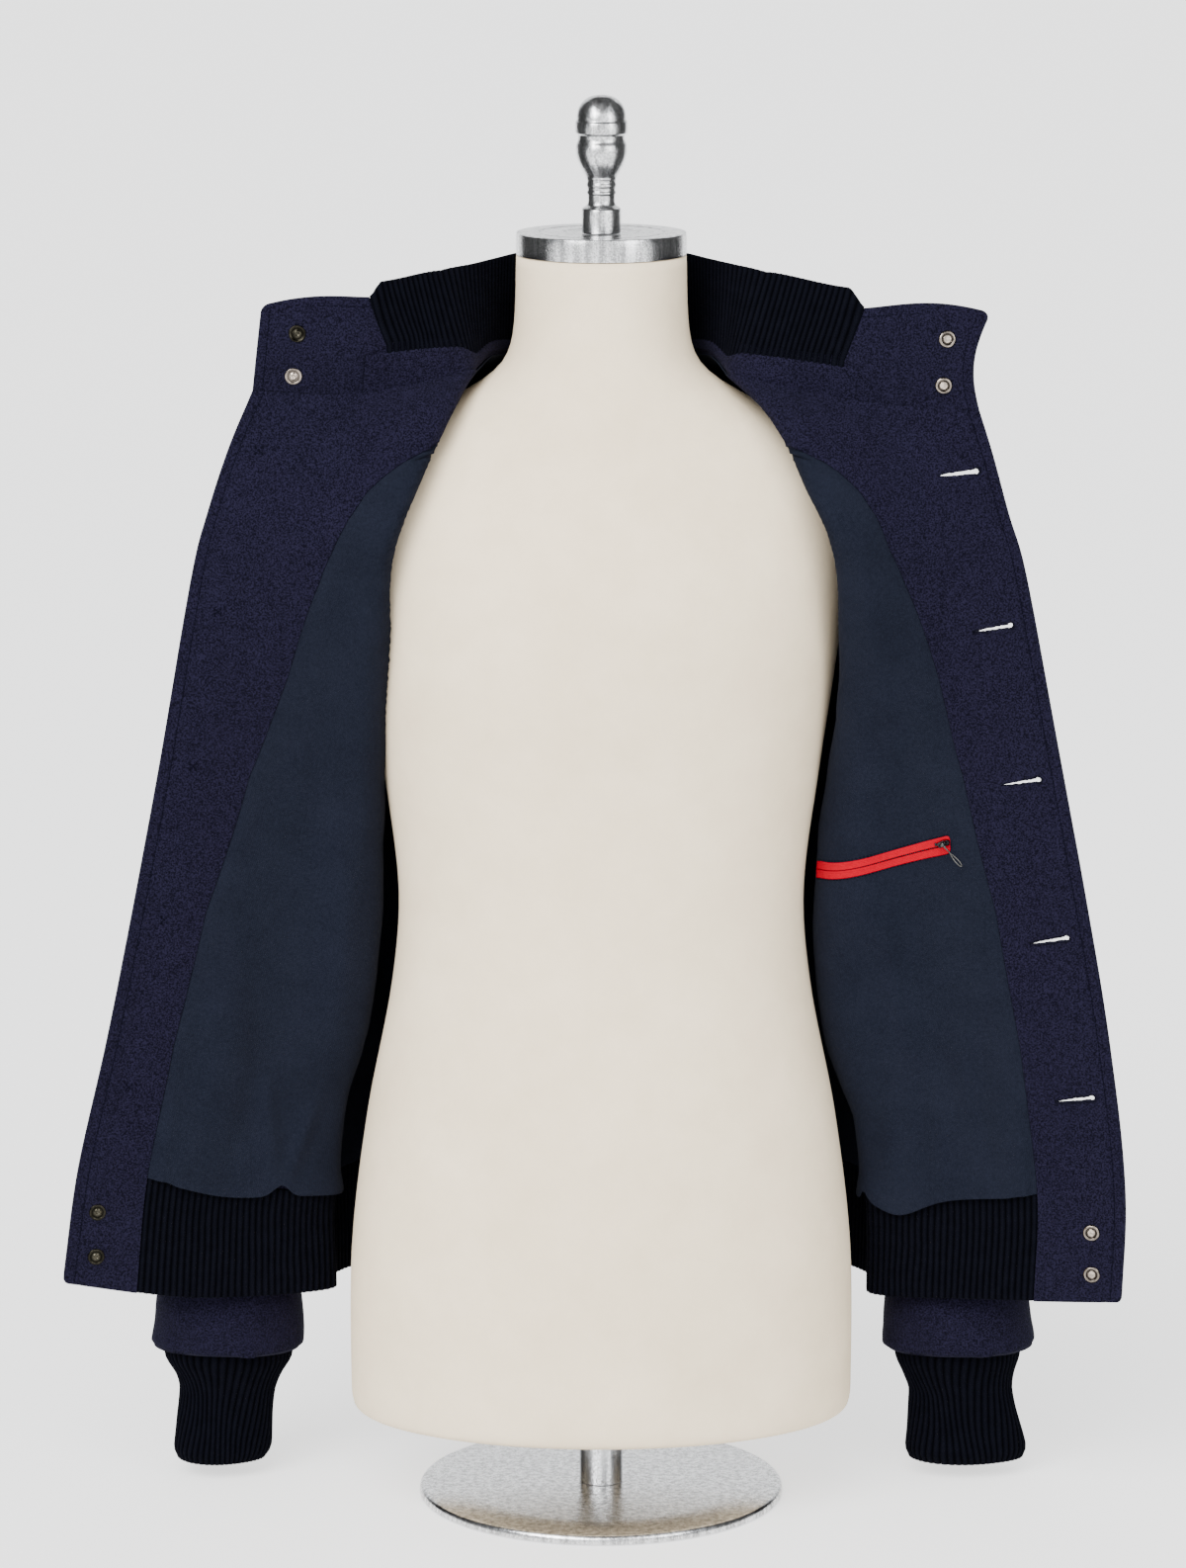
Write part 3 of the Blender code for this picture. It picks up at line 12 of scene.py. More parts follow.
import bmesh
import bpy
import numpy as np
from mathutils import Matrix, Vector, kdtree, noise
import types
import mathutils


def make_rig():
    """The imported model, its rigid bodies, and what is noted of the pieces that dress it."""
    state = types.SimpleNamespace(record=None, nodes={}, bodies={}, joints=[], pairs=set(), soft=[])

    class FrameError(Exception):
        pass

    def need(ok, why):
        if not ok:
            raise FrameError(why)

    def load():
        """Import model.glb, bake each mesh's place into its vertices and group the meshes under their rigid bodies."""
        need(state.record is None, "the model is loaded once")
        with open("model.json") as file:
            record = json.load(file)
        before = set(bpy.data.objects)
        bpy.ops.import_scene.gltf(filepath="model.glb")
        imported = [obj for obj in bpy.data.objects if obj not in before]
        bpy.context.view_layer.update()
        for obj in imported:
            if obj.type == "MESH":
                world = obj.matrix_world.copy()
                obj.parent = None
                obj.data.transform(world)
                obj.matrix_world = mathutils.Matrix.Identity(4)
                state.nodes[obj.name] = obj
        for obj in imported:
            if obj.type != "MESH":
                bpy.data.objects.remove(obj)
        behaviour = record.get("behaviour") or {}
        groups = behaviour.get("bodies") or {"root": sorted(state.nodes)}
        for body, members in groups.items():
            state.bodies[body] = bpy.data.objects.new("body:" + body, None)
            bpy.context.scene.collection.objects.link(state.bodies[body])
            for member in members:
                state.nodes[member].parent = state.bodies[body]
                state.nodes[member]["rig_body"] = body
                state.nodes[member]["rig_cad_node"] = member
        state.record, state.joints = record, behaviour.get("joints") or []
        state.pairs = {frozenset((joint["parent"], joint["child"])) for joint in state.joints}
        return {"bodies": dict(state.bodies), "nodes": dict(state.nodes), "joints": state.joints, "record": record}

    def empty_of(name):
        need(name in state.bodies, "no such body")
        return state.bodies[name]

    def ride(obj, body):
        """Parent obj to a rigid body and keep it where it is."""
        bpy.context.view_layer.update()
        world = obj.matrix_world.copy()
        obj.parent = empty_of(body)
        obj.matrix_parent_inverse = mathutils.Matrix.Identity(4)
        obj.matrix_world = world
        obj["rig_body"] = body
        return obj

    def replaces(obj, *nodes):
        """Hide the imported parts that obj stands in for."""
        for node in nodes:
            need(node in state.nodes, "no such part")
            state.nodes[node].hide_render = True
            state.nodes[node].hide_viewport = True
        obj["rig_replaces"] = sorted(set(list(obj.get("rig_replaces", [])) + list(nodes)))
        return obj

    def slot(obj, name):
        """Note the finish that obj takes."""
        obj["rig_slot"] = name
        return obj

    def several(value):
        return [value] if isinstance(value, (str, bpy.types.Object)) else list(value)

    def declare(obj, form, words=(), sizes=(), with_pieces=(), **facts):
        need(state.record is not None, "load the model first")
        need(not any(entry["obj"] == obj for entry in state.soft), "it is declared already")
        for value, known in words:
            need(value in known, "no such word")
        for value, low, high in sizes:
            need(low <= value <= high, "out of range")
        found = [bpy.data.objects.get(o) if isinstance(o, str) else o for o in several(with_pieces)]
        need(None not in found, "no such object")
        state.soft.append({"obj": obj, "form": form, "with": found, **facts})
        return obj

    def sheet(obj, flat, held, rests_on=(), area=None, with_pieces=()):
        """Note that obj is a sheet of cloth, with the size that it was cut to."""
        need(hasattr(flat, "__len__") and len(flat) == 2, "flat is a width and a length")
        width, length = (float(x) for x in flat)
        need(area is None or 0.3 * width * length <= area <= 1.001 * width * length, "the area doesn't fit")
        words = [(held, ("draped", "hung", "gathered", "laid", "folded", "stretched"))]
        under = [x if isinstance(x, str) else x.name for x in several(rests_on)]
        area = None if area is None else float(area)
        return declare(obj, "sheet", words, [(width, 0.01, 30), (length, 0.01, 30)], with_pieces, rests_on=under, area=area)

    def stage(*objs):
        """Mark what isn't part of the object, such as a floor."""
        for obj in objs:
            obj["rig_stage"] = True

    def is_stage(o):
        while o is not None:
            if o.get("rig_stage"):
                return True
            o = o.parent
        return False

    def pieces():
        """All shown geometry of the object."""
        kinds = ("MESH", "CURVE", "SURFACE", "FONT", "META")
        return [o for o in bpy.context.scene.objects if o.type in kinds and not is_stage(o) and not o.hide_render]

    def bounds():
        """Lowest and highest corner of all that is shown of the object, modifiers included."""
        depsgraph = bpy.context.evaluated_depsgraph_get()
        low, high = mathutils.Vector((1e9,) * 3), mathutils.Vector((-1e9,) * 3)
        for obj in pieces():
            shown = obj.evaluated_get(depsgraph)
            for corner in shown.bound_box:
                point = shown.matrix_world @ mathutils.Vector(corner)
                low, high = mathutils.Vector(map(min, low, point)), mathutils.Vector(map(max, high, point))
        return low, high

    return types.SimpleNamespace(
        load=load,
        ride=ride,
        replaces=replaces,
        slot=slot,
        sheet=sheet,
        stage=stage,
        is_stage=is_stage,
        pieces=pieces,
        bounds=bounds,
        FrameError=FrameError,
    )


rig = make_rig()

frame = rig.load()
NODES = frame["nodes"]
CAD_BOX = [list(corner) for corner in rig.bounds()]
JACKET, PULL = "jacket_and_form", "pull"
RIGHT, LEFT, BACK_SIDE = "right", "left", "back"
SIDES = (RIGHT, LEFT)
print("nodes:", len(NODES), "box:", [[round(v, 3) for v in corner] for corner in CAD_BOX])

# %% [markdown]
# ## Camera, floor and light
#
# The jacket is seen from slightly above with a long lens, as in a catalogue. A long lens far away keeps the
# collar and the cuffs at the same scale. The floor runs on past the frame, so no horizon shows, and one broad
# sun with a pale world around it gives soft, nearly shadowless light. Turned metal looks flat in such light,
# so dark cards stand beside and above the form, out of the picture, where only reflections show them.

# %% Camera
AIM = Vector((-0.006, 0.0, 0.5355))
CAMERA_DISTANCE = 4.5
CAMERA_ELEVATION = math.radians(11)


def placed(name, data):
    thing = bpy.data.objects.new(name, data)
    bpy.context.scene.collection.objects.link(thing)
    return thing


lens = bpy.data.cameras.new("camera")
lens.lens, lens.sensor_width = 141.9, 36.0
lens.clip_end = 200.0
camera = placed("camera", lens)
towards_camera = Vector((0.0, -math.cos(CAMERA_ELEVATION), math.sin(CAMERA_ELEVATION)))
camera.location = AIM + towards_camera * CAMERA_DISTANCE
camera.rotation_euler = (-towards_camera).to_track_quat("-Z", "Y").to_euler()
bpy.context.scene.camera = camera
print("camera at", [round(v, 3) for v in camera.location])


# %% Nodes
def settle(node, inputs=(), **named_inputs):
    """Links or sets a node's inputs; in a name, _ stands for a space."""
    names = {name.replace("_", " "): value for name, value in named_inputs.items()}
    for key, value in {**dict(inputs), **names}.items():
        if isinstance(value, bpy.types.NodeSocket):
            node.id_data.links.new(value, node.inputs[key])
        else:
            node.inputs[key].default_value = value
    return node


def add(tree, kind, inputs=(), **settings):
    node = tree.nodes.new(kind)
    for name, value in settings.items():
        setattr(node, name, value)
    return settle(node, inputs)


def ramp(factor, low, high, stops=(0.0, 1.0)):
    """A colour that runs from low to high between two values of a factor."""
    node = add(factor.id_data, "ShaderNodeValToRGB", {"Fac": factor})
    for element, colour, stop in zip(node.color_ramp.elements, (low, high), stops):
        element.color, element.position = (*colour, 1.0), stop
    return node.outputs["Color"]


def new_material(name):
    """A material, its node tree, its shader and the coordinates of the object that wears it."""
    material = bpy.data.materials.new(name)
    material.use_nodes = True
    tree = material.node_tree
    where = add(tree, "ShaderNodeTexCoord").outputs["Object"]
    return material, tree, tree.nodes["Principled BSDF"], where


# %% Floor, cards and lights
FLOOR_HALF = 60.0
CARD_GREY = 0.055


def studio_sheet(name, corners, **look):
    """A flat sheet of the studio; it isn't part of the jacket."""
    mesh = bpy.data.meshes.new(name)
    mesh.from_pydata(corners, [], [(0, 1, 2, 3)])
    material, _, shader, _ = new_material(name)
    settle(shader, Specular_IOR_Level=0.0, **look)
    mesh.materials.append(material)
    sheet = placed(name, mesh)
    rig.stage(sheet)
    return sheet


def add_floor():
    h = FLOOR_HALF
    look = {"Emission_Color": (1.0, 1.0, 1.0, 1), "Emission_Strength": 1.28}  # keeps shadows faint
    corners = [(-h, -h, 0), (h, -h, 0), (h, h, 0), (-h, h, 0)]
    studio_sheet("floor", corners, Base_Color=(0.48, 0.48, 0.48, 1), Roughness=1.0, **look)


def add_cards():
    """Dark cards that show only in reflections, and throw no shadow."""
    near, far, side, top, low = -0.4, 1.1, 1.0, 2.6, 0.02
    half, front, back, height = 0.8, -3.0, 1.6, 2.3
    cards = {
        name: [(x, near, low), (x, far, low), (x, far, top), (x, near, top)]
        for name, x in (("card_right", -side), ("card_left", side))
    }
    over = [(-half, front), (half, front), (half, back), (-half, back)]
    cards["card_above"] = [(x, y, height) for x, y in over]
    for name, corners in cards.items():
        card = studio_sheet(name, corners, Base_Color=(CARD_GREY, CARD_GREY, CARD_GREY, 1))
        card.visible_camera = card.visible_diffuse = card.visible_shadow = False


def add_light(kind, name, energy, place, size):
    light = bpy.data.lights.new(name, kind)
    light.energy = energy
    if kind == "SUN":
        light.angle = size
    else:
        light.shape, light.size = "DISK", size
    lamp = placed(name, light)
    lamp.location = Vector(place)
    lamp.rotation_euler = (Vector((0, 0, 0.55)) - lamp.location).to_track_quat("-Z", "Y").to_euler()


def studio_world():
    """Pale all round, darker at both sides, where turned metal then shows dark streaks."""
    world = bpy.data.worlds.new("studio")
    bpy.context.scene.world = world
    world.use_nodes = True
    tree = world.node_tree
    split = add(tree, "ShaderNodeSeparateXYZ", {0: add(tree, "ShaderNodeTexCoord").outputs["Generated"]})
    sideways = add(tree, "ShaderNodeMath", {0: split.outputs["X"]}, operation="ABSOLUTE").outputs[0]
    colour = ramp(sideways, (0.95, 0.96, 0.97), (0.34, 0.35, 0.36), (0.3, 0.75))
    settle(tree.nodes["Background"], Color=colour, Strength=1.9)


add_floor()
add_cards()
studio_world()
add_light("SUN", "broad_sun", 5.0, (-1.5, -3.5, 4.0), math.radians(50))
add_light("AREA", "left_softbox", 60.0, (-1.6, -2.4, 1.9), 1.6)
add_light("AREA", "right_softbox", 40.0, (1.9, -2.2, 1.5), 1.6)
print("lights:", [o.name for o in bpy.data.objects if o.type == "LIGHT"])

# %% [markdown]
# ## The lines of the cut
#
# The body of the jacket is one curved surface. A *level* counts the rows of cloth from the neckline down to
# the hem, and a *station* counts along a row: 0 is the front edge, 1 the middle of the opened front, 2 the
# roll where the cloth turns back, 4 the side seam, and 4 to 8 runs across the back. A few measured points
# for each row are enough, because smooth curves run through them.

# %% Cloth thicknesses and levels
WOOL = 0.0016  # felted wool
FACING = 0.0012  # wool facing inside each front edge
LINING = 0.001  # cotton jersey
RIB_KNIT = 0.0024
LAYER_GAP = 0.0007
COLLAR_WALL = WOOL + FACING
NECKLINE, SHOULDER_TIP, UNDERARM, RIB_TOP, HEM = 0, 2, 4, 7, 8
EDGE, UNDER, BODY_SEAM = 0, 3, 4
WHOLE_ROW = 12.0

# %% Fronts: edge and roll of each row
def table(row_type, *rows):
    return [row_type(*row) for row in rows]


Front = namedtuple("Front", "level edge_right edge_left roll_right roll_left")
FRONT = table(
    Front,
    (0, (-0.248, -0.055, 0.831), (0.269, -0.055, 0.816), (-0.096, -0.03, 0.841), (0.096, -0.03, 0.838)),
    (1, (-0.265, -0.06, 0.79), (0.279, -0.06, 0.783), (-0.11, -0.062, 0.815), (0.124, -0.062, 0.812)),
    (2, (-0.28, -0.062, 0.744), (0.29, -0.062, 0.742), (-0.138, -0.09, 0.757), (0.152, -0.09, 0.76)),
    (3, (-0.293, -0.062, 0.694), (0.304, -0.062, 0.694), (-0.16, -0.078, 0.696), (0.174, -0.078, 0.696)),
    (4, (-0.319, -0.058, 0.555), (0.332, -0.058, 0.555), (-0.171, -0.02, 0.545), (0.178, -0.02, 0.545)),
    (5, (-0.339, -0.054, 0.453), (0.352, -0.054, 0.453), (-0.171, -0.007, 0.445), (0.175, -0.007, 0.445)),
    (6, (-0.36, -0.051, 0.353), (0.37, -0.051, 0.35), (-0.181, 0.002, 0.343), (0.182, 0.002, 0.343)),
    (7, (-0.382, -0.046, 0.259), (0.383, -0.046, 0.243), (-0.2, 0.008, 0.229), (0.2, 0.008, 0.226)),
    (8, (-0.395, -0.042, 0.172), (0.382, -0.042, 0.157), (-0.201, 0.01, 0.153), (0.201, 0.01, 0.149)),
)

# How far each row of a front sags in the middle of the opened part.
Sag = namedtuple("Sag", "level right left")
SAGS = table(
    Sag,
    (0.0, 0.009, 0.005), (1.0, 0.003, 0.002), (2.0, 0.0, 0.0), (6.5, 0.0, 0.0), (7.0, 0.001, 0.0),
    (8.0, 0.008, 0.0),
)

# %% Back, shoulder seam and side seam
Back = namedtuple("Back", "level blade centre")
BACK = table(
    Back,
    (0, (0.055, 0.062, 0.844), (0.0, 0.083, 0.84)), (1, (0.098, 0.072, 0.816), (0.0, 0.1, 0.8)),
    (2, (0.14, 0.096, 0.762), (0.0, 0.121, 0.748)), (3, (0.142, 0.12, 0.68), (0.0, 0.138, 0.665)),
    (4, (0.148, 0.122, 0.546), (0.0, 0.146, 0.545)), (5, (0.141, 0.126, 0.448), (0.0, 0.147, 0.447)),
    (6, (0.142, 0.13, 0.344), (0.0, 0.15, 0.344)), (7, (0.146, 0.124, 0.232), (0.0, 0.146, 0.232)),
    (8, (0.144, 0.118, 0.152), (0.0, 0.138, 0.152)),
)

Seam = namedtuple("Seam", "level point")
SHOULDER_SEAM = table(
    Seam,
    (0, (0.081, 0.006, 0.85)), (1, (0.138, 0.004, 0.814)), (2, (0.205, 0.004, 0.772)),
)
SIDE_SEAM = table(
    Seam,
    (4, (0.198, 0.03, 0.572)), (5, (0.187, 0.045, 0.46)), (6, (0.191, 0.05, 0.348)),
    (7, (0.203, 0.054, 0.23)), (8, (0.203, 0.054, 0.151)),
)

# %% Sleeves and cuffs
# Rings of a sleeve, from the armhole to the seam inside the gathered wrist.
Ring = namedtuple("Ring", "outer front inner back")
SLEEVE = table(
    Ring,
    ((0.205, 0.004, 0.772), (0.197, -0.042, 0.672), (0.198, 0.03, 0.572), (0.205, 0.072, 0.678)),
    ((0.238, 0.006, 0.75), (0.221, -0.044, 0.655), (0.207, 0.03, 0.563), (0.229, 0.077, 0.66)),
    ((0.262, 0.01, 0.7), (0.237, -0.042, 0.615), (0.21, 0.03, 0.537), (0.243, 0.08, 0.62)),
    ((0.278, 0.016, 0.62), (0.245, -0.034, 0.55), (0.211, 0.031, 0.49), (0.25, 0.084, 0.555)),
    ((0.294, 0.028, 0.5), (0.253, -0.02, 0.445), (0.212, 0.036, 0.4), (0.256, 0.087, 0.45)),
    ((0.31, 0.038, 0.34), (0.264, -0.004, 0.31), (0.218, 0.042, 0.29), (0.264, 0.089, 0.31)),
    ((0.316, 0.045, 0.19), (0.271, 0.004, 0.18), (0.222, 0.046, 0.18), (0.271, 0.088, 0.18)),
    ((0.325, 0.046, 0.124), (0.272, 0.001, 0.118), (0.217, 0.046, 0.122), (0.272, 0.091, 0.122)),
    ((0.328, 0.046, 0.106), (0.273, 0.004, 0.099), (0.218, 0.046, 0.104), (0.273, 0.088, 0.103)),
    ((0.3255, 0.046, 0.109), (0.273, 0.01, 0.109), (0.2205, 0.046, 0.109), (0.273, 0.082, 0.109)),
)
SLEEVE_LEAN = -0.006  # both sleeves end this far towards -X

# right and left are the x of each ring's centre
CuffRing = namedtuple("CuffRing", "level right left half_right half_left half_depth")
CUFF = table(
    CuffRing,
    (0.1055, -0.279, 0.267, 0.0475, 0.047, 0.0318), (0.092, -0.279, 0.267, 0.0472, 0.0462, 0.0312),
    (0.078, -0.279, 0.268, 0.0392, 0.0412, 0.0282), (0.064, -0.28, 0.27, 0.0354, 0.0385, 0.0262),
    (0.012, -0.2865, 0.2735, 0.0368, 0.0468, 0.0278),
)
CUFF_Y = 0.046

# %% Facing seam and large folds
# Where the wool facing ends and the lining begins, as a station of each row.
FacingSeam = namedtuple("FacingSeam", "level right left")
FACING_SEAM = table(
    FacingSeam,
    (0.0, 2.35, 2.35), (1.28, 2.3, 2.3), (1.42, 1.96, 1.93), (1.53, 1.69, 1.66), (1.66, 1.57, 1.54),
    (1.85, 1.47, 1.44), (2.17, 1.41, 1.38), (2.7, 1.38, 1.38), (3.0, 1.33, 1.31), (3.5, 1.15, 1.08),
    (4.0, 0.88, 0.92), (5.0, 0.62, 0.74), (6.0, 0.54, 0.68), (8.0, 0.55, 0.7),
)

# Soft folds of the body: where the fold's middle is, how far it reaches and how high it stands.
# Stations 4 to 8 run across the back from the wearer's right side seam to the left one.
Fold = namedtuple("Fold", "station level half_station half_level height")
FRONT_FOLDS = table(
    Fold,
    (1.35, 5.3, 0.28, 1.4, 0.003), (0.8, 5.9, 0.3, 1.0, -0.002), (1.72, 4.1, 0.16, 1.0, -0.0025),
    (0.75, 3.0, 0.3, 0.9, 0.0025),
)
BACK_FOLDS = table(
    Fold,
    (4.75, 5.4, 0.16, 1.2, 0.006), (5.25, 5.8, 0.14, 1.0, -0.005), (6.15, 5.2, 0.2, 1.5, 0.0045),
    (6.9, 5.7, 0.15, 1.1, -0.005), (7.3, 5.3, 0.16, 1.2, 0.0065),
)
BLOUSE_LEVEL = 6.55  # the body swells out here, above the gathered rib
BLOUSE_HEIGHT = 0.007

# %% Collar
CollarTop = namedtuple("CollarTop", "right left")
COLLAR_TOP = table(
    CollarTop,
    ((-0.241, -0.052, 0.891), (0.276, -0.052, 0.886)),  # front edge
    ((-0.166, -0.052, 0.897), (0.188, -0.052, 0.889)),  # end of the wool tab
    ((-0.116, -0.018, 0.912), (0.118, -0.018, 0.911)),  # above the roll
    ((-0.094, 0.008, 0.914), (0.095, 0.008, 0.914)),
    ((-0.081, 0.03, 0.915), (0.081, 0.03, 0.915)),  # above the shoulder seam
    ((-0.052, 0.072, 0.917), (0.052, 0.072, 0.917)),
    ((0.0, 0.091, 0.918), (0.0, 0.091, 0.918)),  # centre back
)
TAB_END = 1.02  # station at which each wool tab of the collar ends
STAND_AT_TAB = 0.36  # height of the wool stand under the rib, as a share of the collar's
STAND_AT_BACK = 0.13

# %% [markdown]
# ## Curves through tables
#
# `table_value` reads a smooth value between two rows of a table, and `along` runs a curve through points.
# Both take whole arrays, so that one call finds thousands of points of cloth at once.


# %% Smooth steps, bells and table values
def arrays(*values):
    """Arrays of numbers, all of one shape."""
    return np.broadcast_arrays(*(np.asarray(value, float) for value in values))


def unit(vectors):
    return vectors / np.linalg.norm(vectors, axis=-1, keepdims=True)


def rise(value, low, high):
    """0 below low, 1 above high, and a smooth ramp between them."""
    t = np.clip((np.asarray(value, float) - low) / (high - low), 0.0, 1.0)
    return t * t * (3 - 2 * t)


def bell(value, middle, half):
    return np.exp(-(((np.asarray(value, float) - middle) / half) ** 2))


def table_value(rows, name, at):
    """Smooth values of one column of a table at an array of levels."""
    levels = np.array([row.level for row in rows], float)
    values = np.array([getattr(row, name) for row in rows], float).reshape(len(rows), -1)
    at = np.clip(np.asarray(at, float), levels[0], levels[-1])
    k = np.clip(np.searchsorted(levels, at, side="right") - 1, 0, len(levels) - 2)
    before, after = np.maximum(k - 1, 0), np.minimum(k + 2, len(levels) - 1)
    span = (levels[k + 1] - levels[k])[..., None]
    t = (at - levels[k])[..., None] / span
    slope_0 = (values[k + 1] - values[before]) / (levels[k + 1] - levels[before])[..., None] * span
    slope_1 = (values[after] - values[k]) / (levels[after] - levels[k])[..., None] * span
    start = (2 * t**3 - 3 * t**2 + 1) * values[k] + (t**3 - 2 * t**2 + t) * slope_0
    return start + (3 * t**2 - 2 * t**3) * values[k + 1] + (t**3 - t**2) * slope_1


def plain_value(rows, name, at):
    return np.interp(at, [row.level for row in rows], [getattr(row, name) for row in rows])


print("hem, wearer's right edge:", table_value(FRONT, "edge_right", np.array([8.0])).round(3))


# %% Curves through points
def smooth_point(before, start, end, after, share):
    """Points between start and end on a smooth curve through all four (centripetal Catmull-Rom)."""

    def step(a, b):
        return np.maximum(np.sqrt(np.linalg.norm(b - a, axis=-1, keepdims=True)), 1e-6)

    k1 = step(before, start)
    k2 = k1 + step(start, end)
    k3 = k2 + step(end, after)
    t = k1 + share[..., None] * (k2 - k1)
    a1 = before + (start - before) * (t / k1)
    a2 = start + (end - start) * ((t - k1) / (k2 - k1))
    a3 = end + (after - end) * ((t - k2) / (k3 - k2))
    b1 = a1 + (a2 - a1) * (t / k2)
    b2 = a2 + (a3 - a2) * ((t - k1) / (k3 - k1))
    return b1 + (b2 - b1) * ((t - k1) / (k2 - k1))


def along(keys, station):
    """Points on smooth curves through keys, where station 0 is the first key and 1 the second."""
    keys = np.asarray(keys, float)
    chain = np.concatenate([2 * keys[:1] - keys[1:2], keys, 2 * keys[-1:] - keys[-2:-1]])
    k = np.clip(np.floor(station).astype(int), 0, len(keys) - 2)
    if keys.ndim == 2:
        pick = [chain[k + n] for n in range(4)]
    else:
        pick = [np.take_along_axis(chain, (k + n)[None, ..., None], axis=0)[0] for n in range(4)]
    return smooth_point(*pick, station - k)


# %% The jacket's body surface
MIRROR = np.array([-1.0, 1.0, 1.0])
UP = np.array([0.0, 0.0, 1.0])


def sleeve_ring(ring, angle):
    o, f, i, b = (np.array(p, float) for p in ring)
    middle, pinch = (o + f + i + b) / 4, (o - f + i - b) / 4
    c, s, c2 = np.cos(angle)[..., None], np.sin(angle)[..., None], np.cos(2 * angle)[..., None]
    return middle + (o - i) / 2 * c + (f - b) / 2 * s + pinch * c2


def seam_point(level, towards_back):
    shoulder = table_value(SHOULDER_SEAM, "point", level)
    side = table_value(SIDE_SEAM, "point", level)
    angle = math.pi * (level - SHOULDER_TIP) / (UNDERARM - SHOULDER_TIP)
    armhole = sleeve_ring(SLEEVE[0], -angle if towards_back else angle)
    level = level[..., None]
    return np.where(level <= SHOULDER_TIP, shoulder, np.where(level >= UNDERARM, side, armhole))


def armhole_share(level):
    """1 along the armhole, where a row stops at the sleeve, and 0 where it goes on to the next panel."""
    past_shoulder = rise(level, SHOULDER_TIP, SHOULDER_TIP + 0.3)
    return (past_shoulder * (1 - rise(level, UNDERARM - 0.3, UNDERARM)))[..., None]


def front_keys(side, level):
    flip = MIRROR if side == RIGHT else 1.0
    edge = table_value(FRONT, f"edge_{side}", level)
    roll = table_value(FRONT, f"roll_{side}", level)
    seam = seam_point(level, False) * flip
    blade = table_value(BACK, "blade", level) * flip
    wing = 0.5 * (edge + roll) + np.array([0.0, -0.005, 0.0]) - UP * plain_value(SAGS, side, level)[..., None]
    under = 0.55 * roll + 0.45 * seam
    cut = armhole_share(level)
    beyond = (1 - cut) * blade + cut * (2 * seam - under)
    return np.array([edge, wing, roll, under, seam, beyond])


def back_keys(level):
    seam = seam_point(level, True)
    blade, centre = table_value(BACK, "blade", level), table_value(BACK, "centre", level)
    cut = armhole_share(level)
    past = 1.4 * seam - 0.4 * blade
    right = (1 - cut) * front_keys(RIGHT, level)[UNDER] + cut * past * MIRROR
    left = (1 - cut) * front_keys(LEFT, level)[UNDER] + cut * past
    return np.array([right, seam * MIRROR, blade * MIRROR, centre, blade, seam, left])


def bare_body(piece, station, level):
    station, level = arrays(station, level)
    if piece == BACK_SIDE:
        return along(back_keys(level), station - BODY_SEAM + 1)
    return along(front_keys(piece, level), np.minimum(station, BODY_SEAM + 0.999))


def body_normal(piece, station, level):
    low, high = (4.0, 8.0) if piece == BACK_SIDE else (0.0, 4.0)
    s0, s1 = np.maximum(station - 0.004, low), np.minimum(station + 0.004, high)
    u0, u1 = np.maximum(level - 0.004, NECKLINE), np.minimum(level + 0.004, HEM)
    across = bare_body(piece, s1, level) - bare_body(piece, s0, level)
    down = bare_body(piece, station, u1) - bare_body(piece, station, u0)
    normal = np.cross(across, down) * (-1 if piece == LEFT else 1)
    return unit(normal)


def fold_height(piece, station, level):
    """How far the large folds and the blouse above the rib push the cloth out."""
    height = 0.0
    for f in BACK_FOLDS if piece == BACK_SIDE else FRONT_FOLDS:
        across, down = bell(station, f.station, f.half_station), bell(level, f.level, f.half_level)
        height = height + f.height * across * down
    blouse = BLOUSE_HEIGHT * bell(level, BLOUSE_LEVEL, 0.4)
    if piece != BACK_SIDE:
        blouse = blouse * rise(station, 0.7, 2.2)
    fade = rise(level, 0.3, 2.4) * (1 - rise(level, 6.6, 7.0))
    return height * fade + blouse * (1 - rise(level, 6.85, 7.05) * 0.9)


def body(piece, station, level, depth=0.0):
    """Points of the jacket's body, depth below its outer face."""
    station, level = arrays(station, level)
    normal = body_normal(piece, station, level)
    lift = np.asarray(fold_height(piece, station, level) - depth)
    return bare_body(piece, station, level) + normal * lift[..., None]


print("centre back, level 5:", body(BACK_SIDE, np.array([6.0]), np.array([5.0])).round(3))

# %% [markdown]
# ## Cloth with round edges
#
# Real cloth has no knife edges: felt rounds over at a cut, and at a seam two rounded edges meet in a
# groove. So each piece is a closed shell around a middle surface. Its two faces come together along the
# border in a quarter circle, and points are set close together there, further apart in the open cloth.


# %% Points closer together at borders
EDGE_STEPS = (0.0, 0.00022, 0.0006, 0.0011, 0.0018, 0.003)  # distances from a border
STITCH_STEPS = (0.005, 0.0068, 0.0078, 0.0084, 0.009, 0.0098)  # past an edge with a line of stitches


def spaced(length, cells, start_steps, end_steps):
    """Distances from 0 to length: close together at both ends, even between them."""
    low, high = start_steps[-1], length - end_steps[-1]
    middle = np.linspace(low, high, cells + 1)[1:-1]
    return np.concatenate([start_steps, middle, length - np.array(end_steps[::-1])])


def path_lengths(points):
    return np.concatenate([[0.0], np.cumsum(np.linalg.norm(np.diff(points, axis=0), axis=1))])


def spread(samples, points, cells, start_steps=EDGE_STEPS, end_steps=EDGE_STEPS):
    """Picks samples of a line so that its points are spaced in this way."""
    lengths = path_lengths(points)
    return np.interp(spaced(lengths[-1], cells, start_steps, end_steps), lengths, samples)


def spaced_levels(piece, station, low, high, cells, start_steps=EDGE_STEPS, end_steps=EDGE_STEPS):
    samples = np.linspace(low, high, 300)
    return spread(samples, bare_body(piece, np.full(300, station), samples), cells, start_steps, end_steps)


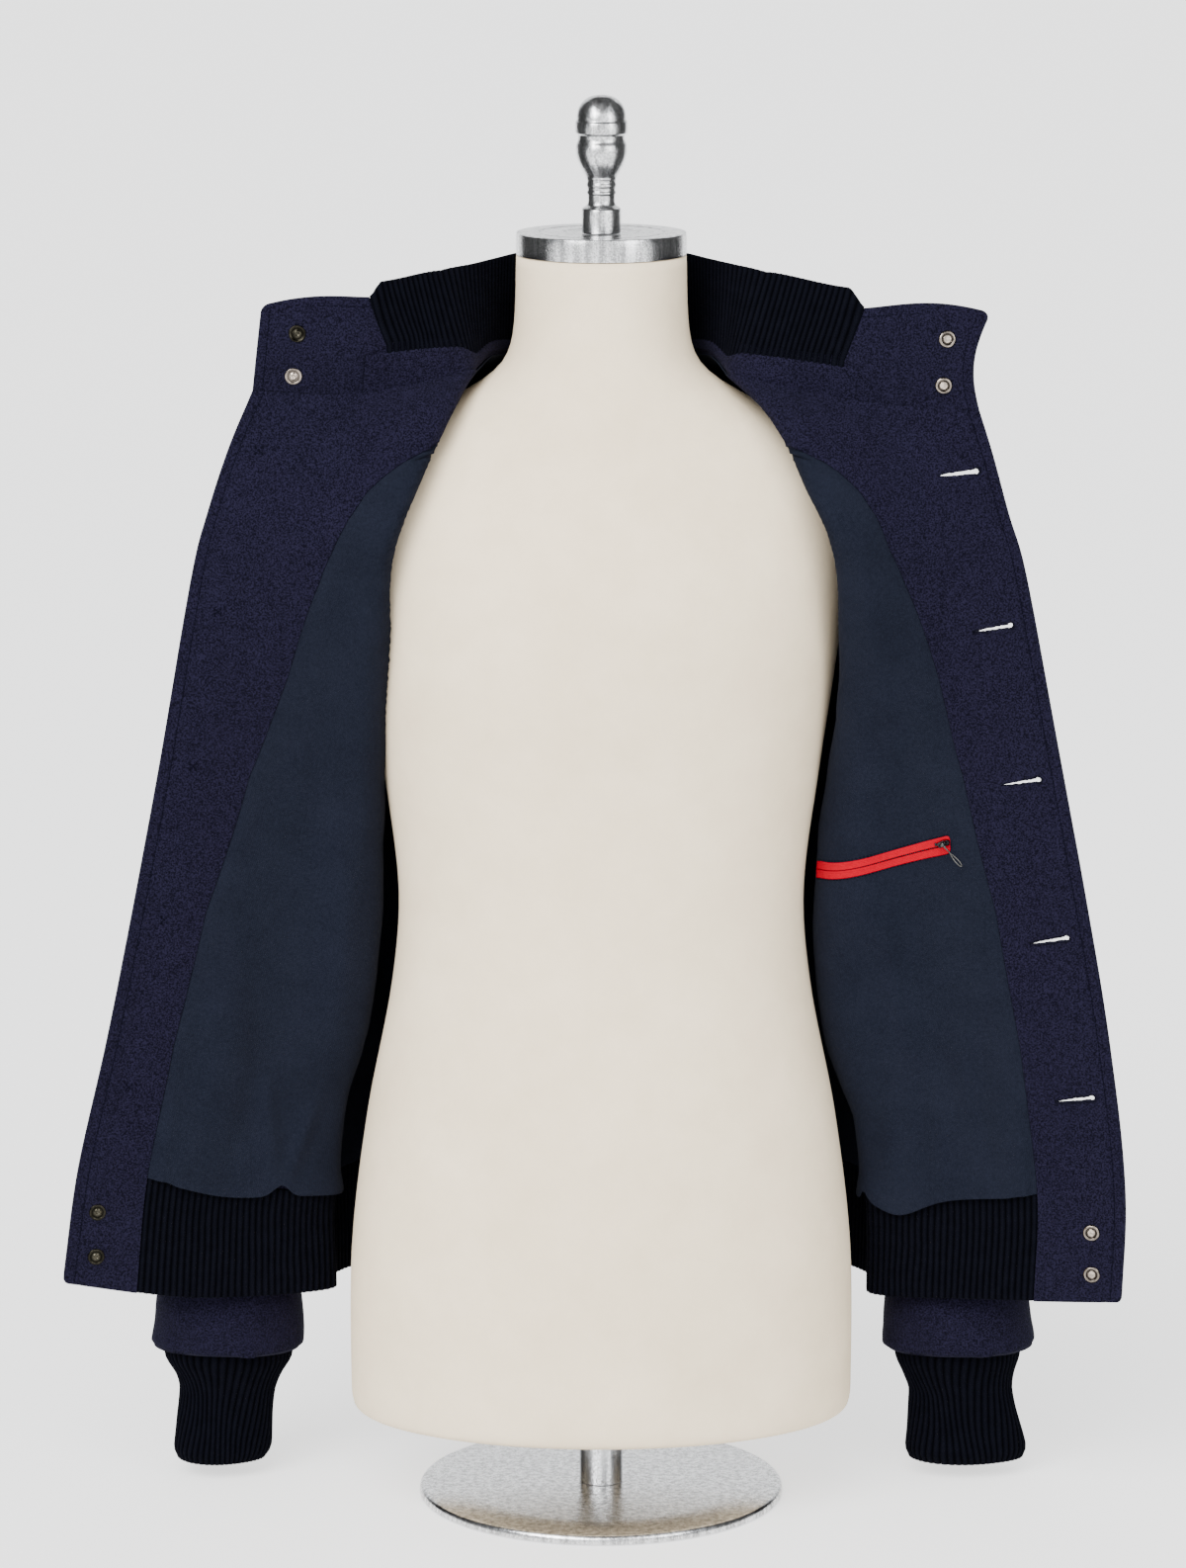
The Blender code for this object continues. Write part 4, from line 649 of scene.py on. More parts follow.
# %% A closed shell of cloth
def distance_to_border(points, cells, closed):
    """Distance from each point of a grid to the nearest border point of its kept cells."""
    rows, columns = points.shape[:2]
    around = np.zeros((rows, columns), int)  # how many kept cells touch each point
    own = cells.astype(int) if closed else np.pad(cells.astype(int), ((0, 0), (0, 1)))
    for down in (0, 1):
        for across in (0, 1):
            around[down : down + rows - 1] += np.roll(own, across, axis=1)
    used = around > 0
    border = used & (around < 4)
    tree = make_tree(points[border])
    distance = np.array([tree.find(p)[2] for p in points.reshape(-1, 3)]).reshape(rows, columns)
    return distance, border, used


def make_tree(points):
    tree = kdtree.KDTree(len(points))
    for k, point in enumerate(points):
        tree.insert(point, k)
    tree.balance()
    return tree


def weave_lengths(points):
    """Distance along the rows and down the columns at each point of a grid."""
    across = np.linalg.norm(np.diff(points, axis=1), axis=2)
    down = np.linalg.norm(np.diff(points, axis=0), axis=2)
    u = np.pad(np.cumsum(across, axis=1), ((0, 0), (1, 0)))
    v = np.pad(np.cumsum(down, axis=0), ((1, 0), (0, 0)))
    return np.stack([u, v, np.zeros_like(u)], axis=-1)


def shell(name, middle, normals, half, closed=False, cells=None, round_over=1.5):
    """A closed sheet around a grid of middle points, of this half thickness, with round edges."""
    rows, columns = middle.shape[:2]
    wrap = columns if closed else columns - 1
    cells = np.ones((rows - 1, wrap), bool) if cells is None else cells
    distance, border, used = distance_to_border(middle, cells, closed)
    half = np.broadcast_to(half, distance.shape)
    near = np.clip(distance / (half * round_over), 0.0, 1.0)
    swell = (half * np.sqrt(np.maximum(1 - (1 - near) ** 2, 0.0)))[..., None]
    faces_out, faces_in = middle + normals * swell, middle - normals * swell
    number = np.full((2, rows, columns), -1)
    number[0][used] = np.arange(used.sum())
    inner_used = used & ~border
    number[1][inner_used] = used.sum() + np.arange(inner_used.sum())
    number[1][border] = number[0][border]
    verts = np.concatenate([faces_out[used], faces_in[inner_used]])
    i, j = np.nonzero(cells)
    j2 = (j + 1) % columns
    outer, inner = (np.stack([n[i, j], n[i, j2], n[i + 1, j2], n[i + 1, j]], axis=1) for n in number)
    mesh = bpy.data.meshes.new(name)
    mesh.from_pydata(verts, [], np.concatenate([outer, inner[:, ::-1]]))
    for key, values in (("weave", weave_lengths(middle)), ("out", normals)):
        store(mesh, key, np.concatenate([values[used], values[inner_used]]))
    return finish_mesh(name, mesh)


def store(mesh, name, values):
    kind, field = ("FLOAT", "value") if values.ndim == 1 else ("FLOAT_VECTOR", "vector")
    if name in mesh.attributes:
        mesh.attributes.remove(mesh.attributes[name])
    attribute = mesh.attributes.new(name, kind, "POINT")
    attribute.data.foreach_set(field, np.ascontiguousarray(values, dtype=np.float32).ravel())


def finish_mesh(name, mesh):
    bm = bmesh.new()
    bm.from_mesh(mesh)
    bmesh.ops.recalc_face_normals(bm, faces=bm.faces)
    if bm.calc_volume(signed=True) < 0:  # on a thin shell the faces may all point inwards
        bmesh.ops.reverse_faces(bm, faces=bm.faces)
    bm.to_mesh(mesh)
    bm.free()
    mesh.shade_smooth()
    return placed(name, mesh)


def triangles(thing):
    return sum(len(p.vertices) - 2 for p in thing.data.polygons)

# %% [markdown]
# ## Places on the cloth
#
# Every layer of the body follows one surface, at its own depth: outer wool, facing, lining. The creases are
# part of that surface too, so that the layers move together and never pass through each other. A crease is
# a short line of given points; the cloth rises or sinks beside it in a soft bell and fades at its ends.


# %% Creases
# Each crease is a line of (station, level), a width and a height.
def crease_height(points, line, width, height):
    """Height of one crease at many points: a bell across its line, fading towards both ends."""
    line = np.asarray(line)
    starts, spans = line[:-1], np.diff(line, axis=0)
    lengths = np.linalg.norm(spans, axis=1)
    before = np.concatenate([[0.0], np.cumsum(lengths)])
    best, travelled = np.full(points.shape[:-1], np.inf), np.zeros(points.shape[:-1])
    for start, span, length, passed in zip(starts, spans, lengths, before):
        t = np.clip(((points - start) @ span) / length**2, 0.0, 1.0)
        gap = np.linalg.norm(points - start - t[..., None] * span, axis=-1)
        nearer = gap < best
        best = np.where(nearer, gap, best)
        travelled = np.where(nearer, (passed + t * length) / before[-1], travelled)
    fade = np.sin(np.pi * np.clip(travelled * 0.94 + 0.03, 0.0, 1.0)) ** 0.7
    return height * fade * np.exp(-((best / width) ** 2))


def uneven(points, size, height, seed):
    """Slow unevenness of cloth: height times smooth noise of a given size."""
    flat = (points / size + seed * 17.3).reshape(-1, 3)
    values = np.array([noise.noise(Vector(p)) for p in flat])
    return height * values.reshape(points.shape[:-1])


FRONT_CREASES = {
    RIGHT: [
        ([(1.05, 0.15), (0.95, 0.7), (1.0, 1.6), (1.15, 2.4)], 0.013, 0.0022),
        ([(0.35, 3.2), (0.42, 4.4), (0.4, 5.4)], 0.016, -0.0016),
        ([(0.16, 4.9), (0.22, 5.8), (0.24, 6.7)], 0.01, 0.0022),
        ([(0.62, 5.2), (0.74, 6.1), (0.7, 6.9)], 0.012, 0.002),
        ([(1.05, 5.6), (1.1, 6.3), (1.02, 6.95)], 0.01, -0.0022),
        ([(2.35, 2.4), (2.7, 3.1), (3.3, 3.7)], 0.02, -0.003),
        ([(2.3, 4.2), (2.8, 5.0), (3.4, 5.9)], 0.024, 0.0034),
        ([(2.6, 5.6), (3.0, 6.3), (3.2, 6.9)], 0.018, -0.003),
    ],
    LEFT: [
        ([(1.05, 0.1), (0.9, 0.8), (0.95, 1.7), (1.2, 2.5)], 0.014, 0.0022),
        ([(0.55, 3.0), (0.5, 4.2), (0.55, 5.2)], 0.015, -0.0014),
        ([(1.3, 4.9), (1.42, 5.4), (1.46, 6.0)], 0.011, 0.0022),
        ([(0.95, 5.9), (1.05, 6.4), (1.0, 6.95)], 0.009, 0.0022),
        ([(1.5, 6.0), (1.55, 6.5), (1.5, 6.95)], 0.01, -0.002),
        ([(2.35, 2.5), (2.75, 3.2), (3.35, 3.7)], 0.02, -0.0028),
        ([(2.35, 4.4), (2.9, 5.1), (3.5, 5.8)], 0.024, 0.0032),
        ([(2.7, 5.8), (3.1, 6.4), (3.3, 6.9)], 0.018, -0.003),
    ],
}
BACK_CREASES = [
    ([(4.35, 4.2), (4.7, 4.9), (5.2, 5.3)], 0.018, -0.0032),
    ([(7.65, 4.3), (7.2, 5.0), (6.8, 5.2)], 0.018, -0.003),
    ([(4.6, 5.3), (4.9, 6.0), (5.0, 6.8)], 0.016, 0.003),
    ([(5.5, 6.0), (5.45, 6.5), (5.5, 6.95)], 0.011, -0.0026),
    ([(6.3, 5.9), (6.25, 6.4), (6.3, 6.95)], 0.012, 0.0026),
    ([(6.9, 6.1), (7.0, 6.5), (6.95, 6.95)], 0.01, -0.0024),
    ([(7.5, 5.4), (7.35, 6.1), (7.4, 6.9)], 0.015, 0.003),
    ([(5.1, 1.2), (5.5, 1.9), (6.0, 2.2), (6.5, 1.9), (6.9, 1.2)], 0.02, 0.0016),
    ([(4.5, 2.3), (4.75, 3.0), (4.8, 3.7)], 0.014, -0.0024),
    ([(7.5, 2.3), (7.25, 3.1), (7.2, 3.8)], 0.014, -0.0022),
]


def creased(points, creases, place):
    """The summed height of creases; place turns the two columns of a crease's line into points."""
    height = 0.0
    for line, width, crest in creases:
        columns = (np.array(column, float) for column in zip(*line))
        height = height + crease_height(points, place(*columns), width, crest)
    return height


def cloth(piece, station, level, depth):
    """Middle points and outward normals of a layer of the body, with its creases."""
    station, level = arrays(station, level)
    base, normal = bare_body(piece, station, level), body_normal(piece, station, level)
    creases = BACK_CREASES if piece == BACK_SIDE else FRONT_CREASES[piece]
    lift = fold_height(piece, station, level) + creased(base, creases, lambda s, u: bare_body(piece, s, u))
    seed = {RIGHT: 1, LEFT: 2, BACK_SIDE: 3}[piece]
    lift = lift + uneven(base, 0.055, 0.0008, seed) * rise(level, 0.0, 0.5)
    return base + normal * np.asarray(lift - depth)[..., None], normal


print("creases:", sum(len(v) for v in FRONT_CREASES.values()) + len(BACK_CREASES))


# %% Grids of stations
def row_stations(piece, levels, start, end, cells, start_steps=EDGE_STEPS, end_steps=EDGE_STEPS):
    levels = np.asarray(levels, float)
    start, end = np.broadcast_to(start, levels.shape), np.broadcast_to(end, levels.shape)
    samples = start[:, None] + (end - start)[:, None] * np.linspace(0.0, 1.0, 140)
    points = bare_body(piece, samples, levels[:, None])
    return np.array([spread(at, line, cells, start_steps, end_steps) for at, line in zip(samples, points)])


def facing_seam(side, level):
    return plain_value(FACING_SEAM, side, level)


# %% [markdown]
# ## Wool
#
# The outer cloth is boiled or felted wool: no weave shows, only a short matted nap, slightly mottled, which
# lights up softly where it turns away. So the material has two sizes of noise in its colour, a fine bump
# and a sheen. The patterns read the object's own coordinates, so they stay on the cloth.


# %% Wool
def speckle(where, scale, detail=4.0, roughness=0.6):
    noise_inputs = {"Vector": where, "Scale": scale, "Detail": detail, "Roughness": roughness}
    return add(where.id_data, "ShaderNodeTexNoise", noise_inputs).outputs["Fac"]


def bump(height, distance, strength=1.0, **under):
    inputs = {"Height": height, "Distance": distance, "Strength": strength, **under}
    return add(height.id_data, "ShaderNodeBump", inputs).outputs["Normal"]


def combine(operation, a, b=0.0):
    return add(a.id_data, "ShaderNodeMath", {0: a, 1: b}, operation=operation).outputs[0]


def weighted(a, part_a, b, part_b):
    """So many parts of a and so many of b."""
    return combine("ADD", combine("MULTIPLY", a, part_a), combine("MULTIPLY", b, part_b))


def matt(shader, roughness, specular, sheen=0.0, sheen_roughness=0.5, tint=(1.0, 1.0, 1.0)):
    """A dry surface, with some sheen where it is hairy."""
    settle(shader, Roughness=roughness, Specular_IOR_Level=specular)
    if sheen:
        settle(shader, Sheen_Weight=sheen, Sheen_Roughness=sheen_roughness, Sheen_Tint=(*tint, 1.0))


WOOL_DARK, WOOL_LIGHT = (0.0014, 0.0012, 0.0038), (0.0078, 0.0068, 0.0175)


def wool_material():
    material, _, shader, where = new_material("felted_wool")
    coarse, fine = speckle(where, 60.0, 3.0), speckle(where, 820.0, 2.0)
    colour = ramp(weighted(fine, 0.92, coarse, 0.08), WOOL_DARK, WOOL_LIGHT, (0.4, 0.61))
    nap = bump(coarse, 0.0008, 0.3, Normal=bump(fine, 0.0009, 0.8))
    settle(shader, Base_Color=colour, Normal=nap)
    matt(shader, 0.95, 0.04, 0.018, 0.55, (0.42, 0.45, 0.75))
    return material


WOOL_CLOTH = wool_material()


def dress(thing, material, body_name, slot, *nodes):
    """Gives a piece its material, its body, its slot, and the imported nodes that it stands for."""
    thing.data.materials.clear()
    thing.data.materials.append(material)
    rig.ride(thing, body_name)
    if nodes:
        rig.replaces(thing, *nodes)
    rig.slot(thing, slot)
    print(f"{thing.name}: {triangles(thing)} triangles")
    return thing


# %% [markdown]
# ## The two fronts
#
# Each front is one wool panel from the collar seam to the top of the hem rib, with a narrow tab beside its
# edge that runs on down to the hem. The wool lies open, so the front is seen from its inside, as a facing.
# A line of machine stitches 8 mm from the edge presses the two layers together and leaves a shallow groove.

# %% Front panels
FRONT_LEVELS_ABOVE, FRONT_LEVELS_TAB = 136, 16
STITCH_INSET = 0.0084
GROOVE_WIDTH, GROOVE_DEPTH = 0.0011, 0.00045


def groove(distance, inset=STITCH_INSET):
    """How far a line of stitches pulls the cloth in, at a distance from the edge."""
    return GROOVE_DEPTH * bell(distance, inset, GROOVE_WIDTH)


def front_levels(side):
    upper = spaced_levels(side, 0.6, NECKLINE, RIB_TOP, FRONT_LEVELS_ABOVE)
    lower = spaced_levels(side, 0.3, RIB_TOP, HEM, FRONT_LEVELS_TAB)
    return np.concatenate([upper, lower[1:]]), len(upper) - 1


def rounded_corner(levels):
    """Where each row starts, in stations, so that the lower front corner is rounded."""
    low = np.clip((levels - HEM) / 0.056 + 1.0, 0.0, 1.0)
    return EDGE + 0.044 * (1.0 - np.sqrt(1.0 - low**2))


def front_grid(side):
    """Levels, stations, and the row and column where the panel steps in beside the hem rib."""
    levels, rib_row = front_levels(side)
    turn = facing_seam(side, levels)
    over_facing = row_stations(side, levels, rounded_corner(levels), turn, 24, EDGE_STEPS + STITCH_STEPS)
    over_lining = row_stations(side, levels, turn, BODY_SEAM, 52)
    stations = np.concatenate([over_facing, over_lining[:, 1:]], axis=1)
    return levels, stations, rib_row, over_facing.shape[1] - 1


def from_edge(points):
    return weave_lengths(points)[..., 0]


def front_panel(side):
    levels, stations, rib_row, turn_column = front_grid(side)
    middle, normal = cloth(side, stations, levels[:, None], WOOL / 2)
    middle = middle - normal * groove(from_edge(middle))[..., None]
    cells = np.ones((len(levels) - 1, stations.shape[1] - 1), bool)
    cells[rib_row:, turn_column:] = False
    return shell(f"front_{side}_wool", middle, normal, WOOL / 2, cells=cells)


def for_sides(make, material, slot, node):
    """Makes and dresses one piece for each side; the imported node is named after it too."""
    return {side: dress(make(side), material, JACKET, slot, f"{node}_{side}") for side in SIDES}


FRONTS = for_sides(front_panel, WOOL_CLOTH, "wool", "front")


# %% Wool facings
FACING_DEPTH = WOOL + LAYER_GAP  # depth at which the facing and the lining begin
FACING_BACK = FACING_DEPTH + FACING


def pressed(distance):
    """How much closer the edge's stitches hold both layers together."""
    return (LAYER_GAP - 0.00008) * bell(distance, 0.0, 0.012)


def facing_panel(side):
    levels, _ = front_levels(side)
    turn = facing_seam(side, levels)
    stations = row_stations(side, levels, rounded_corner(levels), turn, 34, EDGE_STEPS + STITCH_STEPS)
    base = bare_body(side, stations, levels[:, None])
    edge = from_edge(base)
    depth = FACING_DEPTH + FACING / 2 - pressed(edge) - groove(edge)
    middle, normal = cloth(side, stations, levels[:, None], depth)
    return shell(f"facing_{side}_wool", middle, normal, FACING / 2)


FACINGS = for_sides(facing_panel, WOOL_CLOTH, "wool", "facing")

# %% [markdown]
# ## Back, sleeves
#
# The back is one panel from side seam to side seam. A sleeve is a tube that starts at the armhole, hangs
# beside the body and puffs out over its cuff. Its creases are rings of stooping cloth, deeper in the crook.


# %% Back panel
def back_grid(cells=96, rows=104):
    levels = spaced_levels(BACK_SIDE, 6.0, NECKLINE, RIB_TOP, rows)
    return levels, row_stations(BACK_SIDE, levels, BODY_SEAM, 2 * BODY_SEAM, cells)


def back_panel():
    levels, stations = back_grid()
    middle, normal = cloth(BACK_SIDE, stations, levels[:, None], WOOL / 2)
    return shell("back_wool", middle, normal, WOOL / 2)


BACK_PIECE = dress(back_panel(), WOOL_CLOTH, JACKET, "wool", "back_panel")

# %% Sleeves
SLEEVE_END = 9.0
SLEEVE_SLOUCH = 0.006  # both sides of a sleeve hang this much lower over the cuff
SLEEVE_CREASES = {  # lines of (station, angle in degrees): 0 is the outer side, 90 the front
    RIGHT: [
        ([(1.0, 150), (1.5, 110), (1.9, 60)], 0.014, -0.003),
        ([(2.5, 165), (2.9, 115), (3.2, 50)], 0.015, 0.0028),
        ([(3.6, 180), (3.9, 120), (4.0, 60)], 0.014, -0.0034),
        ([(4.3, 175), (4.6, 110), (4.8, 30)], 0.013, 0.003),
        ([(4.9, 160), (5.2, 100), (5.3, 20)], 0.013, -0.0026),
        ([(5.8, 130), (6.0, 70), (6.0, 10)], 0.013, 0.0024),
        ([(6.6, 160), (6.8, 100), (6.7, 40), (6.8, -10)], 0.012, -0.0022),
        ([(2.0, 220), (2.6, 255), (3.1, 300)], 0.016, -0.003),
        ([(4.0, 200), (4.4, 250), (4.6, 320)], 0.015, 0.003),
        ([(5.4, 210), (5.7, 270), (5.8, 330)], 0.014, -0.0026),
        ([(7.3, 108), (7.9, 111), (8.6, 112)], 0.006, -0.006),
        ([(7.2, 60), (7.7, 48), (8.3, 44)], 0.009, 0.0026),
    ],
    LEFT: [
        ([(0.9, 140), (1.4, 95), (1.9, 50)], 0.015, -0.0028),
        ([(2.4, 160), (2.8, 105), (3.0, 40)], 0.014, 0.003),
        ([(3.4, 175), (3.8, 110), (4.1, 55)], 0.014, -0.0032),
        ([(4.5, 170), (4.7, 115), (4.8, 45)], 0.013, 0.0028),
        ([(5.1, 150), (5.3, 90), (5.4, 25)], 0.013, -0.0028),
        ([(5.9, 140), (6.1, 80), (6.1, 0)], 0.013, 0.0024),
        ([(6.7, 150), (6.75, 90), (6.8, 30)], 0.011, -0.0022),
        ([(2.2, 215), (2.7, 260), (3.0, 310)], 0.016, -0.0028),
        ([(4.1, 205), (4.3, 260), (4.7, 330)], 0.015, 0.003),
        ([(5.5, 215), (5.6, 265), (5.9, 320)], 0.014, -0.0028),
        ([(7.3, 72), (7.9, 70), (8.6, 68)], 0.007, -0.0042),
        ([(7.2, 130), (7.7, 126), (8.3, 124)], 0.009, 0.0026),
    ],
}


def sleeve_middle(side, station, angle):
    """Points of a sleeve's surface; it starts on the armhole's edge and hangs a little outside it."""
    station, angle = arrays(station, angle)
    point = along(np.array([sleeve_ring(ring, angle) for ring in SLEEVE]), station)
    point[..., 2] -= SLEEVE_SLOUCH * rise(station, 6.4, 7.7) * np.cos(angle) ** 2
    point = point + np.array([1.0, 0.0, 0.0]) * (0.0002 + 0.0011 * rise(station, 0.0, 0.4))[..., None]
    if side == RIGHT:
        point = point * MIRROR
    return point + np.array([SLEEVE_LEAN, 0.0, 0.0]) * rise(station, 1.0, 6.0)[..., None]


def sleeve_normal(side, station, angle):
    step = 0.01
    s0, s1 = np.maximum(station - step, 0.0), np.minimum(station + step, SLEEVE_END)
    down = sleeve_middle(side, s1, angle) - sleeve_middle(side, s0, angle)
    around = sleeve_middle(side, station, angle + step) - sleeve_middle(side, station, angle - step)
    normal = np.cross(down, around) * (-1 if side == RIGHT else 1)
    return unit(normal)


def sleeve_grid(side, columns=84, rows=128):
    samples = np.linspace(0.0, SLEEVE_END, 700)
    points = sleeve_middle(side, samples, np.full(700, 0.0))
    stations = spread(samples, points, rows)
    angles = np.linspace(0.0, math.tau, columns, endpoint=False)
    return np.meshgrid(stations, angles, indexing="ij")


def sleeve(side):
    station, angle = sleeve_grid(side)
    base, normal = sleeve_middle(side, station, angle), sleeve_normal(side, station, angle)
    seed = 5 if side == RIGHT else 6
    lift = uneven(base, 0.05, 0.0012, seed) * rise(station, 0.2, 1.0)
    lift = lift + uneven(base, 0.02, 0.0022, seed + 10) * rise(station, 6.8, 7.8)  # the lip over the cuff
    place = lambda s, degrees: sleeve_middle(side, s, np.radians(degrees))
    lift = lift + creased(base, SLEEVE_CREASES[side], place) * rise(station, 0.3, 1.2)
    middle = base + normal * (lift - WOOL / 2)[..., None]
    return shell(f"sleeve_{side}_wool", middle, normal, WOOL / 2, closed=True)


SLEEVES = for_sides(sleeve, WOOL_CLOTH, "wool", "sleeve")

# %% [markdown]
# ## Lining
#
# The lining is a thin cotton jersey, cut a little longer than the wool. It hangs loose and bags down over
# the top of the hem rib, so it gets small folds of its own. They all swell towards the wearer, because the
# wool is in the way on the other side. Its surface is a fine knit, so the bump is a grid of tiny stitches.


# %% Jersey
def kept(tree, name, output="Vector"):
    return add(tree, "ShaderNodeAttribute", attribute_name=name).outputs[output]


def knit_wave(tree, columns, rows):
    """A height that repeats like the loops of plain knitting, from distances along and down the cloth."""
    split = add(tree, "ShaderNodeSeparateXYZ", {0: kept(tree, "weave")})
    ribs = combine("SINE", combine("MULTIPLY", split.outputs["X"], columns * math.tau))
    down = combine("MULTIPLY", split.outputs["Y"], rows * math.tau)
    return combine("ADD", ribs, combine("MULTIPLY", combine("SINE", combine("ADD", down, ribs)), 0.6))


JERSEY_DARK, JERSEY_LIGHT = (0.0026, 0.0034, 0.0074), (0.0058, 0.0072, 0.0136)


def jersey_material():
    material, tree, shader, where = new_material("cotton_jersey")
    cloud, fleck = speckle(where, 26.0, 5.0, 0.65), speckle(where, 520.0, 3.0, 0.7)
    colour = ramp(weighted(cloud, 0.35, fleck, 0.65), JERSEY_DARK, JERSEY_LIGHT, (0.36, 0.66))
    loops = bump(knit_wave(tree, 620.0, 560.0), 0.0002, 0.35)
    settle(shader, Base_Color=colour, Normal=bump(speckle(where, 900.0, 2.0), 0.0005, 0.45, Normal=loops))
    matt(shader, 0.9, 0.06, 0.012, 0.6, (0.4, 0.47, 0.66))
    return material


JERSEY = jersey_material()

# %% Front linings
LiningDip = namedtuple("LiningDip", "station half_station drop")
LINING_DIPS = {  # where the lining bags down over the rib; drop is in levels
    RIGHT: [LiningDip(1.15, 0.34, 0.06), LiningDip(1.5, 0.07, -0.09)],
    LEFT: [LiningDip(1.66, 0.2, 0.12), LiningDip(1.98, 0.06, -0.07)],
}
LINING_FOLDS = {  # heights are towards the wearer
    RIGHT: [
        ([(1.1, 0.75), (1.42, 1.9), (1.38, 3.0), (1.3, 4.2)], 0.01, 0.002),
        ([(1.66, 1.72), (1.62, 2.0), (1.7, 2.6), (1.79, 3.3), (1.84, 4.4)], 0.0055, 0.0034),
        ([(1.84, 1.72), (1.8, 2.0), (1.89, 2.6), (1.98, 3.3), (2.04, 4.4)], 0.0055, 0.0038),
        ([(1.6, 4.3), (1.66, 5.1), (1.7, 5.9)], 0.01, 0.0042),
        ([(0.9, 5.4), (0.96, 6.0), (0.94, 6.6)], 0.012, 0.0022),
        ([(1.28, 6.2), (1.38, 6.6), (1.46, 6.92)], 0.007, 0.003),
        ([(1.66, 6.35), (1.6, 6.65), (1.53, 6.92)], 0.006, 0.003),
        ([(0.7, 6.75), (1.0, 6.9), (1.3, 6.93)], 0.006, 0.002),
    ],
    LEFT: [
        ([(1.62, 2.4), (1.56, 3.4), (1.44, 4.3)], 0.01, 0.0034),
        ([(1.2, 3.2), (1.22, 4.0), (1.12, 4.4)], 0.009, 0.0016),
        ([(1.6, 4.75), (1.5, 5.5), (1.42, 6.2)], 0.011, 0.0042),
        ([(1.05, 5.7), (1.12, 6.1), (1.12, 6.5)], 0.01, 0.0024),
        ([(1.28, 6.25), (1.36, 6.6), (1.38, 6.95)], 0.008, 0.0026),
        ([(1.62, 6.3), (1.7, 6.7), (1.66, 7.0)], 0.008, 0.0024),
        ([(1.02, 5.05), (1.3, 5.15), (1.55, 5.1)], 0.006, 0.0014),
    ],
}
LINING_BAGS = {  # where the loose lining rolls over towards the wearer, beside the form
    RIGHT: [([(2.05, 3.2), (2.15, 4.2), (2.15, 5.2), (2.05, 6.0)], 0.032, 0.01)],
    LEFT: [([(2.1, 3.7), (2.2, 4.6), (2.2, 5.5), (2.1, 6.5)], 0.036, 0.017)],
}
ZIP_START, ZIP_END = (1.07, 4.47), (1.97, 4.73)  # station and level of the pocket's zip, beside the facing


def lining_hem(side, station, seam_station):
    """Level at which the lining ends: just above the rib beside the facing, lower where it bags."""
    free = rise(station, seam_station + 0.12, seam_station + 0.25)
    dips = sum(d.drop * bell(station, d.station, d.half_station) for d in LINING_DIPS[side])
    return RIB_TOP + 0.006 + free * (0.014 + dips)


def zip_calm(side, station, level):
    if side == RIGHT:
        return 1.0
    middle = np.interp(station, [ZIP_START[0], ZIP_END[0]], [ZIP_START[1], ZIP_END[1]])
    near = bell(level, middle, 0.22) * rise(station, 0.75, 1.0)
    return 1.0 - near


def lining_extra(side, base, station, level, free):
    """Extra depth of the lining: it bags low down and has folds of its own."""
    place, calm = lambda s, u: bare_body(side, s, u), zip_calm(side, station, level)
    deep = 0.0042 * free * rise(level, 6.0, 6.9) + 0.0007 * rise(level, 6.7, 7.0)
    deep = deep + creased(base, LINING_FOLDS[side], place) * free * calm
    deep = np.maximum(deep + creased(base, LINING_BAGS[side], place), 0.0)
    waves = 0.0006 + uneven(base, 0.03, 0.001, 8 if side == RIGHT else 9)
    return deep + np.maximum(waves, 0.0) * free * calm


def front_lining(side, rows=132, columns=84):
    levels = spaced_levels(side, 1.2, NECKLINE, RIB_TOP, rows)
    turn = facing_seam(side, levels)
    stations = row_stations(side, levels, turn, BODY_SEAM, columns)
    hem = lining_hem(side, stations[-1], turn[-1])
    stretch = rise(levels, 5.0, 7.0)[:, None]  # only the lowest rows follow the dipping hem
    at = levels[:, None] + (hem - RIB_TOP)[None, :] * stretch
    free = rise(stations, turn[:, None], turn[:, None] + 0.1)
    base = bare_body(side, stations, at)
    depth = FACING_DEPTH + LINING / 2 + lining_extra(side, base, stations, at, free)
    depth = depth - 0.0004 * bell(from_edge(base), 0.0, 0.0022)  # the seam dips in beside the facing
    middle, normal = cloth(side, stations, at, depth)
    return shell(f"lining_{side}_jersey", middle, normal, LINING / 2)


LININGS = for_sides(front_lining, JERSEY, "lining", "lining")


# %% Back lining
def back_lining():
    levels, stations = back_grid(64, 70)
    base = bare_body(BACK_SIDE, stations, levels[:, None])
    extra = np.maximum(uneven(base, 0.04, 0.0016, 10), 0.0) * rise(levels[:, None], 0.2, 1.0)
    middle, normal = cloth(BACK_SIDE, stations, levels[:, None], FACING_DEPTH + LINING / 2 + extra)
    return shell("lining_back_jersey", middle, normal, LINING / 2)


BACK_LINING = dress(back_lining(), JERSEY, JACKET, "lining", "lining_back")

# %% [markdown]
# ## Rib knit
#
# Hem, cuffs and collar are rib knit: ridges that run in and out, which make it springy. A small Geometry
# Nodes tree raises them. It reads two values kept in the mesh, the way out of the cloth and how many ribs
# lie before this point, and pushes each point out by a rounded wave with narrow valleys.


# %% A tree that raises ribs
def socket_id(tree, name):
    return next(i.identifier for i in tree.interface.items_tree if i.name == name and i.in_out == "INPUT")


